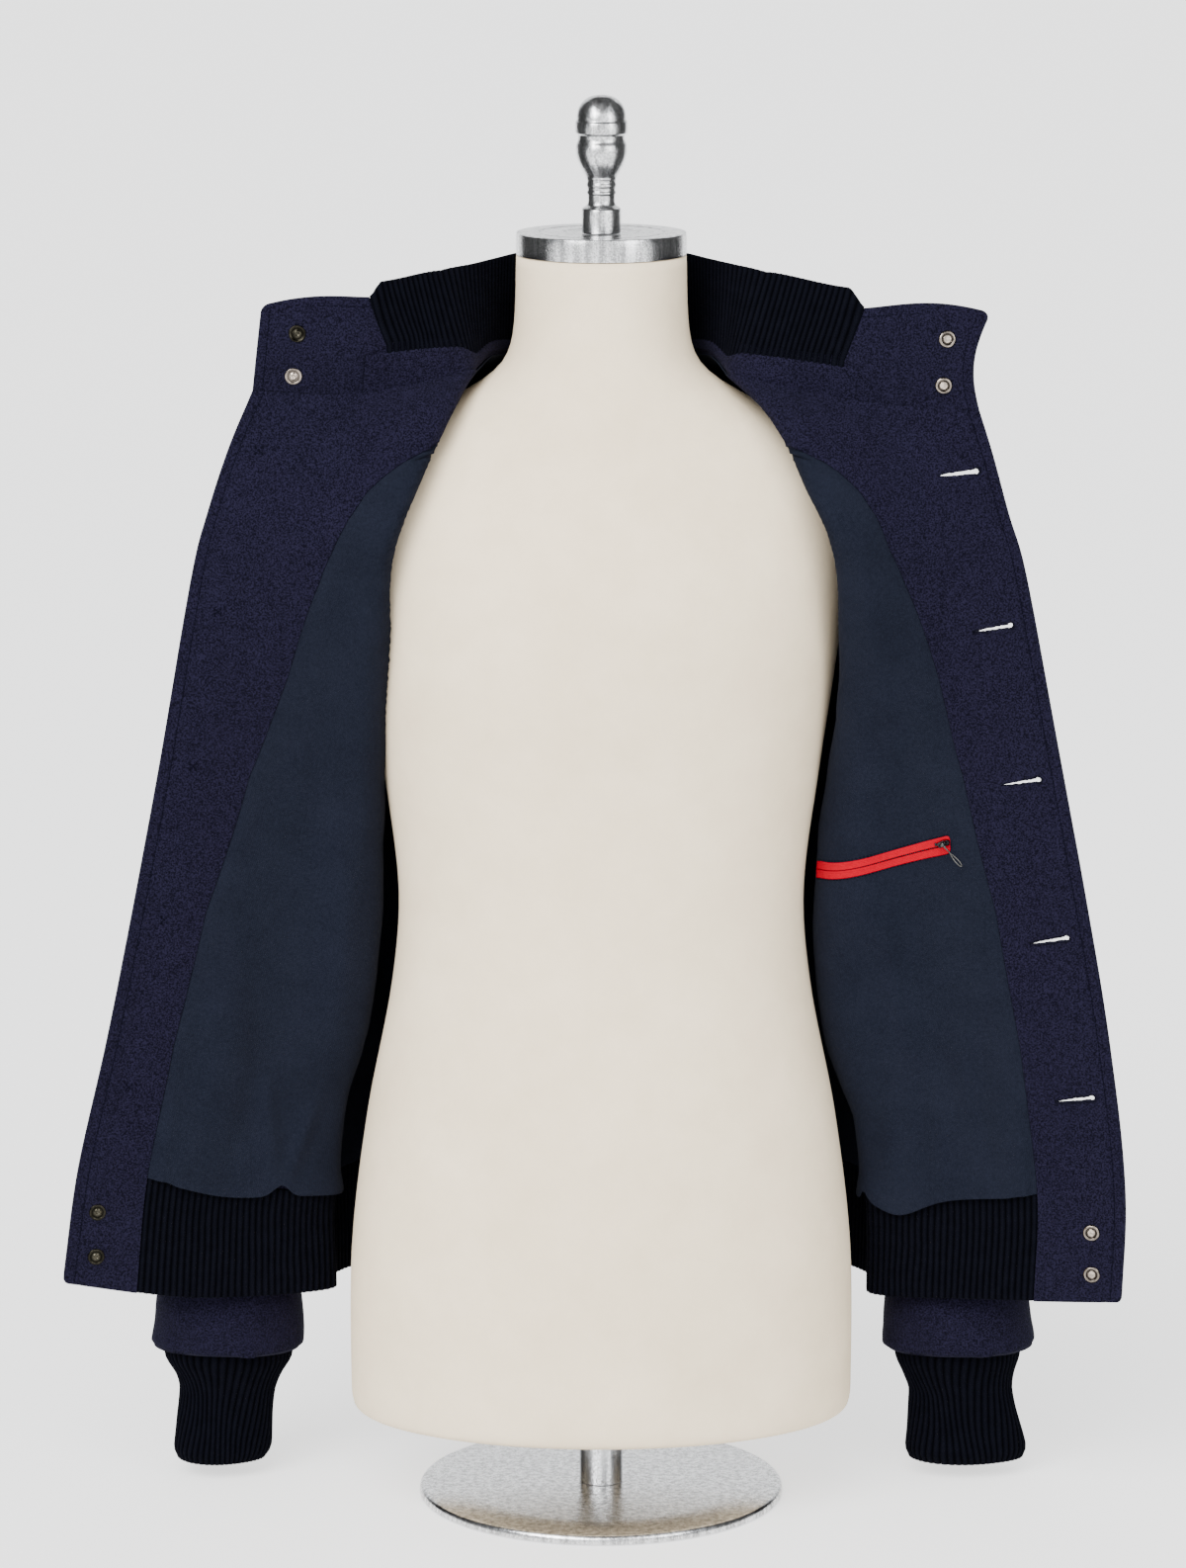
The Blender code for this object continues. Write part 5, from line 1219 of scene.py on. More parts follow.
def new_tree(name, inputs):
    """A Geometry Nodes tree with a geometry in and out and named inputs with default values."""
    tree = bpy.data.node_groups.new(name, "GeometryNodeTree")
    tree.interface.new_socket("Geometry", in_out="OUTPUT", socket_type="NodeSocketGeometry")
    tree.interface.new_socket("Geometry", in_out="INPUT", socket_type="NodeSocketGeometry")
    for key, kind, value in inputs:
        socket = tree.interface.new_socket(key, in_out="INPUT", socket_type=kind)
        if value is not None:
            socket.default_value = value
    return tree, tree.nodes.new("NodeGroupInput"), tree.nodes.new("NodeGroupOutput")


def named(tree, name, kind="FLOAT"):
    node = add(tree, "GeometryNodeInputNamedAttribute", {"Name": name}, data_type=kind)
    return node.outputs["Attribute"]


def end_tree(tree, geometry, given, result):
    """Makes instances real, gives them the material that comes in, and ends the tree."""
    plain = add(tree, "GeometryNodeRealizeInstances", {0: geometry})
    inputs = {"Geometry": plain.outputs[0], "Material": given.outputs["Material"]}
    settle(result, {0: add(tree, "GeometryNodeSetMaterial", inputs).outputs[0]})
    return tree


def make_rib_tree():
    inputs = [("Height", "NodeSocketFloat", 0.0009), ("Material", "NodeSocketMaterial", None)]
    tree, given, result = new_tree("raise_ribs", inputs)
    wave = combine("COSINE", combine("MULTIPLY", named(tree, "rib"), math.pi))
    rounded_wave = combine("POWER", combine("ABSOLUTE", wave), 0.65)
    height = combine("MULTIPLY", combine("SUBTRACT", rounded_wave, 0.62), given.outputs["Height"])
    push = add(tree, "ShaderNodeVectorMath", {0: named(tree, "out", "FLOAT_VECTOR")}, operation="SCALE")
    settle(push, Scale=height)
    places = {"Geometry": given.outputs["Geometry"], "Offset": push.outputs[0]}
    return end_tree(tree, add(tree, "GeometryNodeSetPosition", places).outputs[0], given, result)


RIB_TREE = make_rib_tree()


def keep_result(thing):
    """Keeps the mesh that a piece's modifiers make as its own, and takes them off."""
    bpy.context.view_layer.update()
    mesh = bpy.data.meshes.new_from_object(thing.evaluated_get(bpy.context.evaluated_depsgraph_get()))
    mesh.name = thing.name
    thing.modifiers.clear()
    thing.data = mesh


def make_plain(thing, tree, inputs):
    """Runs a Geometry Nodes tree on a piece once."""
    step = thing.modifiers.new(tree.name, "NODES")
    step.node_group = tree
    for name, value in inputs.items():
        step[socket_id(tree, name)] = value
    keep_result(thing)
    thing.data.shade_smooth()
    return thing


print("inputs:", [item.name for item in RIB_TREE.interface.items_tree if item.in_out == "INPUT"])

# %% Ribbed cloth
RIB_PITCH = 0.0048
RIB_COLUMNS = 6  # columns of points in each rib
RIB_HEIGHT = 0.0013
RIB_STEPS = (0.0, 0.0004, 0.001, 0.0018, 0.003)
# the rib's colour runs from RIB_DARK in its valleys to RIB_LIGHT on its crests, with some speckle: painted shade in
# the valleys
RIB_DARK, RIB_LIGHT = (0.0003, 0.00035, 0.0009), (0.0021, 0.0023, 0.0044)


def rib_material():
    material, tree, shader, where = new_material("rib_knit")
    turn = combine("MULTIPLY", kept(tree, "rib", "Fac"), math.pi)
    # painted shade: the colour is darker in the valleys between the ribs and lighter on their crests
    ridge_lit = combine("ABSOLUTE", combine("COSINE", turn))
    colour = ramp(weighted(ridge_lit, 0.6, speckle(where, 120.0, 5.0), 0.5), RIB_DARK, RIB_LIGHT, (0.35, 0.92))
    loops = bump(knit_wave(tree, 416.0, 480.0), 0.0003, 0.4)
    settle(shader, Base_Color=colour, Normal=bump(speckle(where, 1100.0, 2.0), 0.0006, 0.5, Normal=loops))
    matt(shader, 0.95, 0.02, 0.004, 0.5, (0.45, 0.5, 0.75))
    return material


RIB_CLOTH = rib_material()


def ribbed_shell(name, middle, normal, closed=False):
    """A shell of rib knit, with its count of ribs kept at every point and its ribs raised."""
    rows, columns = middle.shape[:2]
    cells = np.ones((rows - 1, columns if closed else columns - 1), bool)
    _, border, used = distance_to_border(middle, cells, closed)
    thing = shell(name, middle, normal, RIB_KNIT / 2, closed=closed, round_over=1.2)
    phase, inner = np.broadcast_to(np.arange(columns) / RIB_COLUMNS, used.shape), used & ~border
    store(thing.data, "rib", np.concatenate([phase[used], phase[inner] + 0.5]))
    outwards = np.where(border[..., None], 0.9 * normal, normal)
    store(thing.data, "out", np.concatenate([outwards[used], -normal[inner]]))
    return make_plain(thing, RIB_TREE, {"Height": RIB_HEIGHT, "Material": RIB_CLOTH})


# %% Cuffs
def cuff_middle(side, z, angle):
    """Middle points of a cuff: an oval tube that narrows from the sleeve to the wrist."""

    def at(name):
        return table_value(CUFF[::-1], name, z)[..., 0]

    centre, half_width, half_depth = at(side), at(f"half_{side}"), at("half_depth")
    wobble = 0.0011 * np.sin(3 * angle + z * 70.0) * rise(-z, -0.09, -0.02)
    wobble = wobble - 0.0042 * bell(z, CUFF[-1].level, 0.0055)  # the lower edge turns in
    x = centre + (half_width - RIB_KNIT / 2 + wobble) * np.cos(angle)
    y = CUFF_Y + (half_depth - RIB_KNIT / 2 + wobble) * np.sin(angle)
    return np.stack([x, y, np.broadcast_to(z, x.shape)], axis=-1)


def tube_normal(points):
    around = np.roll(points, -1, axis=1) - np.roll(points, 1, axis=1)
    down = np.gradient(points, axis=0)
    normal = np.cross(around, down)
    normal /= np.linalg.norm(normal, axis=-1, keepdims=True)
    outwards = points - points.mean(axis=1, keepdims=True)
    return normal * np.sign((normal * outwards).sum(axis=-1, keepdims=True))


def cuff(side, ribs=50):
    top, bottom = CUFF[0].level, CUFF[-1].level
    z = top - spaced(top - bottom, 24, RIB_STEPS, RIB_STEPS)
    angle = np.linspace(0.0, math.tau, ribs * RIB_COLUMNS, endpoint=False)
    sway = 0.05 * np.sin(3 * angle[None, :] + 55.0 * z[:, None])  # the ribs don't run quite straight
    middle = cuff_middle(side, z[:, None], angle[None, :] + sway)
    return ribbed_shell(f"cuff_{side}_rib", middle, tube_normal(middle), closed=True)


CUFFS = for_sides(cuff, RIB_CLOTH, "rib", "cuff")


# %% Hem rib
def row_parts(station):
    """The panels along a row: right front 0 to 4, back 4 to 8, left front 8 to 12."""
    on_back = (station >= BODY_SEAM) & (station <= 2 * BODY_SEAM)
    yield RIGHT, station < BODY_SEAM, station
    yield BACK_SIDE, on_back, station
    yield LEFT, station > 2 * BODY_SEAM, WHOLE_ROW - station


def whole_row(station, level, depth):
    station, level, depth = np.broadcast_arrays(station, level, depth)
    points, normals = np.zeros(station.shape + (3,)), np.zeros(station.shape + (3,))
    for piece, here, own in row_parts(station):
        points[here], normals[here] = cloth(piece, own[here], level[here], depth[here])
    return points, normals


def rib_columns(samples, line):
    lengths = path_lengths(line)
    ribs = round(lengths[-1] / RIB_PITCH)
    print(f"{ribs} ribs over {lengths[-1]:.3f} m")
    return np.interp(np.linspace(0.0, lengths[-1], ribs * RIB_COLUMNS + 1), lengths, samples)


def hem_rib(height=0.08, middle_level=7.5):
    samples = np.linspace(facing_seam(RIGHT, middle_level), WHOLE_ROW - facing_seam(LEFT, middle_level), 1600)
    stations = rib_columns(samples, whole_row(samples, middle_level, RIB_KNIT / 2)[0])
    levels = RIB_TOP + spaced(height, 9, RIB_STEPS, RIB_STEPS) / height
    share = (stations - stations[0]) / (stations[-1] - stations[0])
    first, last = facing_seam(RIGHT, levels), WHOLE_ROW - facing_seam(LEFT, levels)
    shift = (first - samples[0])[:, None] * (1 - share) + (last - samples[-1])[:, None] * share
    base, _ = whole_row(stations[None, :] + shift, levels[:, None], RIB_KNIT / 2)
    sway = uneven(base, 0.028, 0.014, 41) * np.clip(12 * share, 0, 1) * np.clip(12 * (1 - share), 0, 1)
    middle, normal = whole_row(stations[None, :] + shift + sway, levels[:, None], RIB_KNIT / 2)
    return ribbed_shell("hem_rib_knit", middle, normal)


HEM_PIECE = dress(hem_rib(), RIB_CLOTH, JACKET, "rib", "hem_rib")

# %% [markdown]
# ## Collar
#
# The collar stands up round the neck. Behind the neck it is rib knit on a low wool stand; at the front two
# wool tabs carry the snaps. It grows out of the neckline: a point of it is found by its station along the
# neckline and its share of the collar's height.

# %% Collar surface
LEFT_TAB_HOLLOW = 0.008
RIB_END_RISE = {RIGHT: 0.009, LEFT: 0.012}
TAB_SLANT = {RIGHT: 0.23, LEFT: 0.13}
STAND_LIFT = {RIGHT: 0.055, LEFT: 0.0}  # the stand is taller at one tab
TAB_CROWN = {RIGHT: 0.0046, LEFT: 0.007}
COLLAR_LIFT = 0.0003


def collar_keys():
    right = [row.right for row in COLLAR_TOP]
    left = [row.left for row in COLLAR_TOP]
    return np.array(right + left[-2::-1], float)


def collar_point(station, share):
    """Points of the collar's outer face; share is 0 at the neckline and 1 at the top edge."""
    station, share = arrays(station, share)
    low = neckline(station) + UP * COLLAR_LIFT
    point = low + (along(collar_keys(), station) - low) * share[..., None]
    from_left = WHOLE_ROW - station
    from_edge = np.minimum(station, from_left)
    crown = np.where(station < BODY_SEAM, TAB_CROWN[RIGHT], TAB_CROWN[LEFT])
    point[..., 2] += crown * share * np.sin(math.pi * np.minimum(from_edge / TAB_END, 1.0))
    point[..., 0] -= LEFT_TAB_HOLLOW * np.sin(math.pi * share) * (1 - rise(from_left, 0.0, 0.7))
    point[..., 1] -= 0.004 * np.sin(math.pi * share)
    return point


def neckline(station):
    points = np.zeros(station.shape + (3,))
    for piece, here, own in row_parts(station):
        points[here] = body(piece, own[here], np.zeros(here.sum()))
    return points


def collar_normal(station, share):
    step = 0.01
    s0, s1 = np.maximum(station - step, 0.0), np.minimum(station + step, WHOLE_ROW)
    h0, h1 = np.maximum(share - step, 0.0), np.minimum(share + step, 1.0)
    across = collar_point(s1, share) - collar_point(s0, share)
    up = collar_point(station, h1) - collar_point(station, h0)
    normal = np.cross(up, across)
    return unit(normal)


def collar(station, share, depth):
    station, share = arrays(station, share)
    normal = collar_normal(station, share)
    return collar_point(station, share) - normal * np.asarray(depth)[..., None], normal


def of_side(station, table):
    return np.where(np.asarray(station) < BODY_SEAM, table[RIGHT], table[LEFT])


def stand_share(station):
    from_edge = np.minimum(station, WHOLE_ROW - station)
    at_tab = STAND_AT_TAB + of_side(station, STAND_LIFT)
    return STAND_AT_BACK + (at_tab - STAND_AT_BACK) * (1 - rise(from_edge, TAB_END, 2.8))


def tab_end(share, side):
    foot = STAND_AT_TAB + STAND_LIFT[side]
    lean = np.maximum(0.0, (1.0 - share) / (1.0 - foot)) * rise(share, foot + 0.01, foot + 0.04)
    return TAB_END + TAB_SLANT[side] * lean


# %% Tabs and stand
TAB_STITCH = 0.007
TAB_ROUNDING = 0.075  # size of the rounded front corner, both as a share of the height and in stations


TAB_UNEVEN = {RIGHT: 12, LEFT: 13}  # seeds


def own_row(side, station):
    """The station on the whole row of a point this far from its own side's front edge."""
    return station if side == RIGHT else WHOLE_ROW - station


def tab_grid(side, rows=46, columns=56):
    shares, inset_steps = np.linspace(0.0, 1.0, 200), EDGE_STEPS + STITCH_STEPS
    share = spread(shares, collar_point(np.full(200, 0.5), shares), rows, EDGE_STEPS, inset_steps)
    corner = np.clip((share - 1.0 + TAB_ROUNDING) / TAB_ROUNDING, 0.0, 1.0)
    start = TAB_ROUNDING * (1.0 - np.sqrt(1.0 - corner**2))
    samples = start[:, None] + (tab_end(share, side) - start)[:, None] * np.linspace(0.0, 1.0, 160)
    own = own_row(side, samples)
    lines = collar_point(own, share[:, None])
    stations = np.array([spread(at, line, columns, inset_steps) for at, line in zip(own, lines)])
    return stations, np.broadcast_to(share[:, None], stations.shape)


def tab_uneven(side, station, share):
    return uneven(collar_point(station, share), 0.04, 0.0006, TAB_UNEVEN[side])


def collar_tab(side):
    station, share = tab_grid(side)
    base = collar_point(station, share)
    from_top = weave_lengths(base[::-1])[::-1, :, 1]
    half = COLLAR_WALL / 2 - groove(np.minimum(from_edge(base), from_top), TAB_STITCH)
    middle, normal = collar(station, share, COLLAR_WALL / 2)
    middle = middle + normal * tab_uneven(side, station, share)[..., None]
    return shell(f"collar_tab_{side}_wool", middle, normal, half)


TABS = for_sides(collar_tab, WOOL_CLOTH, "wool", "collar_tab")


def collar_stand(rows=6, columns=260):
    samples = np.linspace(TAB_END, WHOLE_ROW - TAB_END, 900)
    station = spread(samples, collar_point(samples, 0.5 * stand_share(samples)), columns)
    share = spaced(0.02, rows, EDGE_STEPS, EDGE_STEPS)[:, None] / 0.02 * stand_share(station)[None, :]
    middle, normal = collar(np.broadcast_to(station, share.shape), share, COLLAR_WALL / 2)
    return shell("collar_stand_wool", middle, normal, COLLAR_WALL / 2)


STAND = dress(collar_stand(), WOOL_CLOTH, JACKET, "wool", "collar_stand")


# %% Rib collar
SEWN_IN = 0.01  # the rib reaches this far, in stations, into the tabs that it is sewn into
ROLLED_END = 0.003  # each end of the rib rolls over this far towards the wearer, above the tab


def rib_lean(station, share):
    """How far the rib's end leans in over the stand, in stations."""
    ends = {s: tab_end(np.maximum(share, STAND_AT_TAB + STAND_LIFT[s] + 0.05), s) - TAB_END for s in SIDES}
    from_edge = np.minimum(station, WHOLE_ROW - station)
    return of_side(station, {RIGHT: ends[RIGHT], LEFT: -ends[LEFT]}) * (1 - rise(from_edge, TAB_END, 1.9))


def rib_point(station, up, depth):
    """Points of the rib collar; up is 0 at the stand and 1 at the top edge."""
    station, up = arrays(station, up)
    from_edge = np.minimum(station, WHOLE_ROW - station)
    low = stand_share(station + rib_lean(station, 0.0)) - 0.018  # sewn into the stand
    share = low + (1.0 - low) * up
    moved = station + rib_lean(station, share)
    lift = of_side(station, RIB_END_RISE) * up * rise(from_edge, TAB_END - 0.04, TAB_END + 0.14)
    lift = lift * (1 - np.clip((from_edge - 1.15) / 0.85, 0.0, 1.0))
    roll = ROLLED_END * rise(up, 0.45, 1.0) * (1 - rise(from_edge, TAB_END, TAB_END + 0.3))
    point, normal = collar(moved, share, depth + roll)
    return point + UP * lift[..., None], normal


def collar_rib():
    samples = np.linspace(TAB_END - SEWN_IN, WHOLE_ROW - TAB_END + SEWN_IN, 1200)
    stations = rib_columns(samples, collar_point(samples, np.full(1200, 0.7)))
    up = spaced(0.06, 11, RIB_STEPS, RIB_STEPS) / 0.06
    return ribbed_shell("collar_rib_knit", *rib_point(stations[None, :], up[:, None], RIB_KNIT / 2))


COLLAR_PIECE = dress(collar_rib(), RIB_CLOTH, JACKET, "rib", "collar_rib")


# %% Seam allowances
def seam_strip(name, middle, normal, half=0.0003):
    """A thin hidden strip of wool inside a seam, so that no light comes through between two edges."""
    return dress(shell(name, middle, normal, half), WOOL_CLOTH, JACKET, "wool")


def neck_allowance(columns=420):
    """Runs up from between the body's layers into the middle of the collar's wall."""
    station = np.linspace(0.04, WHOLE_ROW - 0.04, columns)
    rows = [whole_row(station, level, WOOL + LAYER_GAP / 2) for level in (0.14, 0.09, 0.04, 0.0)]
    rows += [collar(station, share, COLLAR_WALL / 2) for share in (0.03, 0.07, 0.11)]
    middle, normal = (np.array(part) for part in zip(*rows))
    return seam_strip("neck_allowance_wool", middle, normal)


def stand_allowance(columns=300):
    station = np.linspace(TAB_END - 0.05, WHOLE_ROW - TAB_END + 0.05, columns)
    offsets = np.array([-0.12, -0.08, -0.04, 0.0, 0.04, 0.08, 0.12])[:, None]
    middle, normal = collar(station[None, :], stand_share(station)[None, :] + offsets, COLLAR_WALL / 2)
    return seam_strip("stand_allowance_wool", middle, normal)


def tab_allowance(side):
    """Joins a tab to the stand and the rib beside it."""
    share = np.linspace(0.05, 0.985, 66)[:, None]
    station = tab_end(share, side) + np.linspace(-0.06, 0.06, 10)[None, :]
    middle, normal = collar(own_row(side, station), share, COLLAR_WALL / 2)
    return seam_strip(f"tab_allowance_{side}_wool", middle, normal)


ALLOWANCES = [neck_allowance(), stand_allowance()] + [tab_allowance(side) for side in SIDES]

# %% [markdown]
# ## Dress form
#
# The form is a padded bust covered in pale cotton. It is a loft of ovals: the table gives the half width and
# half depth at a few heights and a smooth curve fills in the rest. The bottom edge is rounded. The foot and
# the cap on the neck are turned metal.

# %% Form
FormRing = namedtuple("FormRing", "level half_width half_depth")
FORM = table(
    FormRing,
    (0.066, 0.177, 0.113), (0.0675, 0.1808, 0.1168), (0.071, 0.1835, 0.1195), (0.083, 0.1852, 0.1216),
    (0.19, 0.184, 0.124), (0.29, 0.172, 0.118), (0.39, 0.153, 0.109), (0.46, 0.148, 0.106),
    (0.55, 0.159, 0.113), (0.64, 0.172, 0.121), (0.7, 0.179, 0.12), (0.742, 0.184, 0.108),
    (0.765, 0.18, 0.096), (0.784, 0.162, 0.086), (0.803, 0.135, 0.078), (0.82, 0.105, 0.072),
    (0.834, 0.082, 0.068), (0.848, 0.069, 0.0655), (0.87, 0.063, 0.063), (0.9215, 0.061, 0.061),
)
FORM_LOW, FORM_HIGH = FORM[0].level, FORM[-1].level


def lofted(name, rings, loop=False):
    """A closed solid through rings of points: from bottom to top, or round a loop."""
    count, sides = rings.shape[:2]
    verts, faces = list(rings.reshape(-1, 3)), []
    for i in range(count if loop else count - 1):
        for j in range(sides):
            i2, j2 = (i + 1) % count, (j + 1) % sides
            faces.append((i * sides + j, i * sides + j2, i2 * sides + j2, i2 * sides + j))
    if not loop:
        verts += [rings[0].mean(axis=0), rings[-1].mean(axis=0)]
        last, low, high = (count - 1) * sides, count * sides, count * sides + 1
        for j in range(sides):
            j2 = (j + 1) % sides
            faces += [(low, j2, j), (high, last + j, last + j2)]
    mesh = bpy.data.meshes.new(name)
    mesh.from_pydata(verts, [], faces)
    return finish_mesh(name, mesh)


def oval_rings(half_width, half_depth, heights, sides):
    angle = np.linspace(0.0, math.tau, sides, endpoint=False)[None, :]
    x, y = half_width * np.cos(angle), half_depth * np.sin(angle)
    return np.stack([x, y, np.broadcast_to(heights[:, None], x.shape)], axis=-1)


def form_body(sides=120):
    bottom = FORM_LOW + np.array([0.0, 0.0004, 0.001, 0.002, 0.0034, 0.005, 0.008, 0.012])
    heights = np.concatenate([bottom, np.linspace(FORM_LOW + 0.018, FORM_HIGH, 120)])
    width, depth = (table_value(FORM, name, heights) for name in ("half_width", "half_depth"))
    return lofted("form_body_cover", oval_rings(width, depth, heights, sides))


def form_cloth_material():
    material, tree, shader, where = new_material("form_cotton")
    colour = ramp(speckle(where, 14.0, 6.0, 0.7), FORM_DARK, FORM_LIGHT, (0.25, 0.75))
    wave = {"Vector": where, "Scale": 420.0, "Distortion": 1.5}
    threads = [add(tree, "ShaderNodeTexWave", wave, bands_direction=direction) for direction in "ZX"]
    weave = combine("ADD", *(thread.outputs["Fac"] for thread in threads))
    settle(shader, Base_Color=colour, Normal=bump(weave, 0.0002, 0.35))
    matt(shader, 0.9, 0.2)
    return material


FORM_DARK, FORM_LIGHT = (0.64, 0.525, 0.37), (0.75, 0.63, 0.46)
dress(form_body(), form_cloth_material(), JACKET, "form_cloth", "form_body")


# %% Turned metal
# Each profile is a list of (radius, height), from the bottom centre to the top centre.


def rounded(profile, times=2):
    """Cuts the corners of a profile again and again, so that it turns smoothly."""
    points = np.array(profile, float)
    for _ in range(times):
        a, b = points[:-1], points[1:]
        cut = np.empty((2 * len(a), 2))
        cut[0::2], cut[1::2] = 0.75 * a + 0.25 * b, 0.25 * a + 0.75 * b
        points = np.concatenate([points[:1], cut, points[-1:]])
    return points


def turned_piece(name, profile, sides=96, place=Matrix.Identity(4)):
    inner = np.array([p for p in profile if p[0] > 1e-7])
    thing = lofted(name, oval_rings(inner[:, :1], inner[:, :1], inner[:, 1], sides))
    co = np.empty(len(thing.data.vertices) * 3)
    thing.data.vertices.foreach_get("co", co)
    store(thing.data, "radius", np.linalg.norm(co.reshape(-1, 3)[:, :2], axis=1))
    thing.data.transform(place)
    thing.data.update()
    thing.data.set_sharp_from_angle(angle=math.radians(35))
    return thing


CAP_LOW = FORM_HIGH + 0.0004
CAP_HIGH = CAP_LOW + 0.0165
CAP_RADIUS = 0.0612
CAP_PROFILE = [
    (0.0, CAP_LOW), (CAP_RADIUS - 0.0006, CAP_LOW), (CAP_RADIUS, CAP_LOW + 0.0006),
    (CAP_RADIUS, CAP_HIGH - 0.001), (CAP_RADIUS - 0.001, CAP_HIGH), (0.0462, CAP_HIGH),
    (0.0454, CAP_HIGH - 0.0009), (0.0446, CAP_HIGH - 0.0009), (0.0438, CAP_HIGH - 0.0001),
    (0.0292, CAP_HIGH - 0.0001), (0.0262, CAP_HIGH - 0.0015), (0.0, CAP_HIGH - 0.0015),
]
KNOB_LOW = CAP_HIGH - 0.0011
KNOB = [
    (0.0, 0.0), (0.0136, 0.0), (0.0141, 0.0006), (0.0141, 0.0165), (0.0137, 0.0178), (0.0118, 0.019),
    (0.0102, 0.02), (0.0097, 0.0225), (0.0097, 0.0255), (0.0099, 0.0275), (0.0105, 0.0284),
    (0.0105, 0.0296), (0.0099, 0.0304), (0.0101, 0.0326), (0.0107, 0.0338), (0.0107, 0.0352),
    (0.0102, 0.036), (0.0103, 0.0378), (0.0108, 0.0388), (0.0108, 0.0398), (0.0114, 0.0412),
    (0.0138, 0.0452), (0.016, 0.0496), (0.0178, 0.0548), (0.0184, 0.0596), (0.018, 0.0636),
    (0.0169, 0.0656), (0.0166, 0.068), (0.0169, 0.0704), (0.0184, 0.0714), (0.0187, 0.0724),
    (0.0188, 0.076), (0.0186, 0.0794), (0.0181, 0.08), (0.0177, 0.0808), (0.0177, 0.0836),
    (0.0169, 0.0876), (0.0152, 0.0915), (0.0122, 0.095), (0.008, 0.0974), (0.004, 0.0984), (0.0, 0.0985),
]
PLATE_RADIUS, PLATE_THICKNESS = 0.135, 0.008
PLATE = [
    (0.0, 0.0), (PLATE_RADIUS, 0.0), (PLATE_RADIUS, PLATE_THICKNESS - 0.004),
    (PLATE_RADIUS - 0.0012, PLATE_THICKNESS - 0.0012), (PLATE_RADIUS - 0.004, PLATE_THICKNESS),
    (0.0, PLATE_THICKNESS),
]
POLE_RADIUS = 0.016


def metal_material(name, colour, roughness, grain, tarnish_and_shade=()):
    """Turned metal: small specks in its colour, gloss and bump, and dark rings between some radii: patina, with
    painted shade in a groove and at a rim.
    """
    material, tree, shader, where = new_material(name)
    specks = speckle(where, grain, 6.0, 0.75)
    upright = add(tree, "ShaderNodeVectorMath", {0: where, 1: (1.0, 1.0, 0.06)}, operation="MULTIPLY")
    streaks = speckle(upright.outputs[0], 0.3 * grain, 3.0, 0.6)
    dark, light, black = (tuple(share * c for c in colour) for share in (0.4, 1.1, 0.06))
    both = combine("ADD", specks, combine("MULTIPLY", streaks, 0.8))
    surface = ramp(combine("MULTIPLY", both, 1.0 / 1.8), dark, light, (0.42, 0.58))

    def share_of(value, **limits):
        return settle(add(tree, "ShaderNodeMapRange", {"Value": value}), **limits).outputs[0]

    radius = kept(tree, "radius", "Fac")
    # painted shade: each ring darkens the colour between two radii, meant for a snap's groove and its rim, with some
    # patina
    for middle, width in tarnish_and_shade:
        near = share_of(radius, From_Min=middle - width, From_Max=middle)
        past = share_of(radius, From_Min=middle + width, From_Max=middle)
        amount = combine("POWER", combine("MULTIPLY", near, past), 0.5)
        mix = add(tree, "ShaderNodeMix", {0: amount, 6: surface, 7: (*black, 1.0)}, data_type="RGBA")
        surface = mix.outputs[2]
    rough = share_of(specks, To_Min=roughness * 1.35, To_Max=roughness * 0.75)
    settle(shader, Base_Color=surface, Roughness=rough, Normal=bump(specks, 0.00025, 0.45), Metallic=1.0)
    return material


SATIN = metal_material("satin_aluminium", (0.7, 0.705, 0.715), 0.17, 700.0)
knob_profile = [(radius, KNOB_LOW + z) for radius, z in KNOB]
pole_low, pole_high = PLATE_THICKNESS + 0.0004, FORM_LOW - 0.0004
pole_profile = [(0.0, pole_low), (POLE_RADIUS, pole_low), (POLE_RADIUS, pole_high), (0.0, pole_high)]
for name, profile, sides, node in (
    ("cap_turned", rounded(CAP_PROFILE), 128, "form_cap"),
    ("knob_turned", rounded(knob_profile), 96, "form_finial"),
    ("plate_turned", rounded(PLATE, 1), 128, "foot_plate"),
    ("pole_turned", pole_profile, 64, "foot_pole"),
):
    dress(turned_piece(name, profile, sides), SATIN, JACKET, "satin_metal", node)

# %% [markdown]
# ## Snaps
#
# Four snaps close the jacket, two on the collar and two at the hem. On the wearer's left each has a smooth
# cap outside and a ring-shaped socket inside; on the right a stud outside and its back plate inside. All are
# turned shapes a few millimetres wide, placed on the cloth by the same functions that made the cloth.


# %% Places for small parts
def station_per_metre(side, level, station=0.02, step=0.01):
    points = bare_body(side, np.array([station, station + step]), np.full(2, level))
    return step / float(np.linalg.norm(points[1] - points[0]))


def wing_place(side, height, inset):
    """Station and level of a point on an opened front, at a height and a distance from its edge."""
    levels = np.linspace(NECKLINE, HEM, 161)
    level = float(np.interp(-height, -front_keys(side, levels)[EDGE][:, 2], levels))
    return station_per_metre(side, level) * inset, level


def frame_at(point, normal, downwards=Vector((0, 0, -1))):
    """A place on the cloth: local +Z along the normal, local -Y as far downwards as it can be."""
    z = Vector(normal).normalized()
    y = -(downwards - z * downwards.dot(z)).normalized()
    return Matrix.Translation(Vector(point)) @ Matrix((y.cross(z), y, z)).transposed().to_4x4()


def one_point(piece, station, level, depth):
    points, normals = cloth(piece, np.array([station]), np.array([level]), np.array([depth]))
    return Vector(points[0]), Vector(normals[0])


def tab_point(side, station, share, depth):
    station, share = np.array([station]), np.array([share])
    points, normals = collar(station, share, depth - tab_uneven(side, station, share))
    return Vector(points[0]), Vector(normals[0])


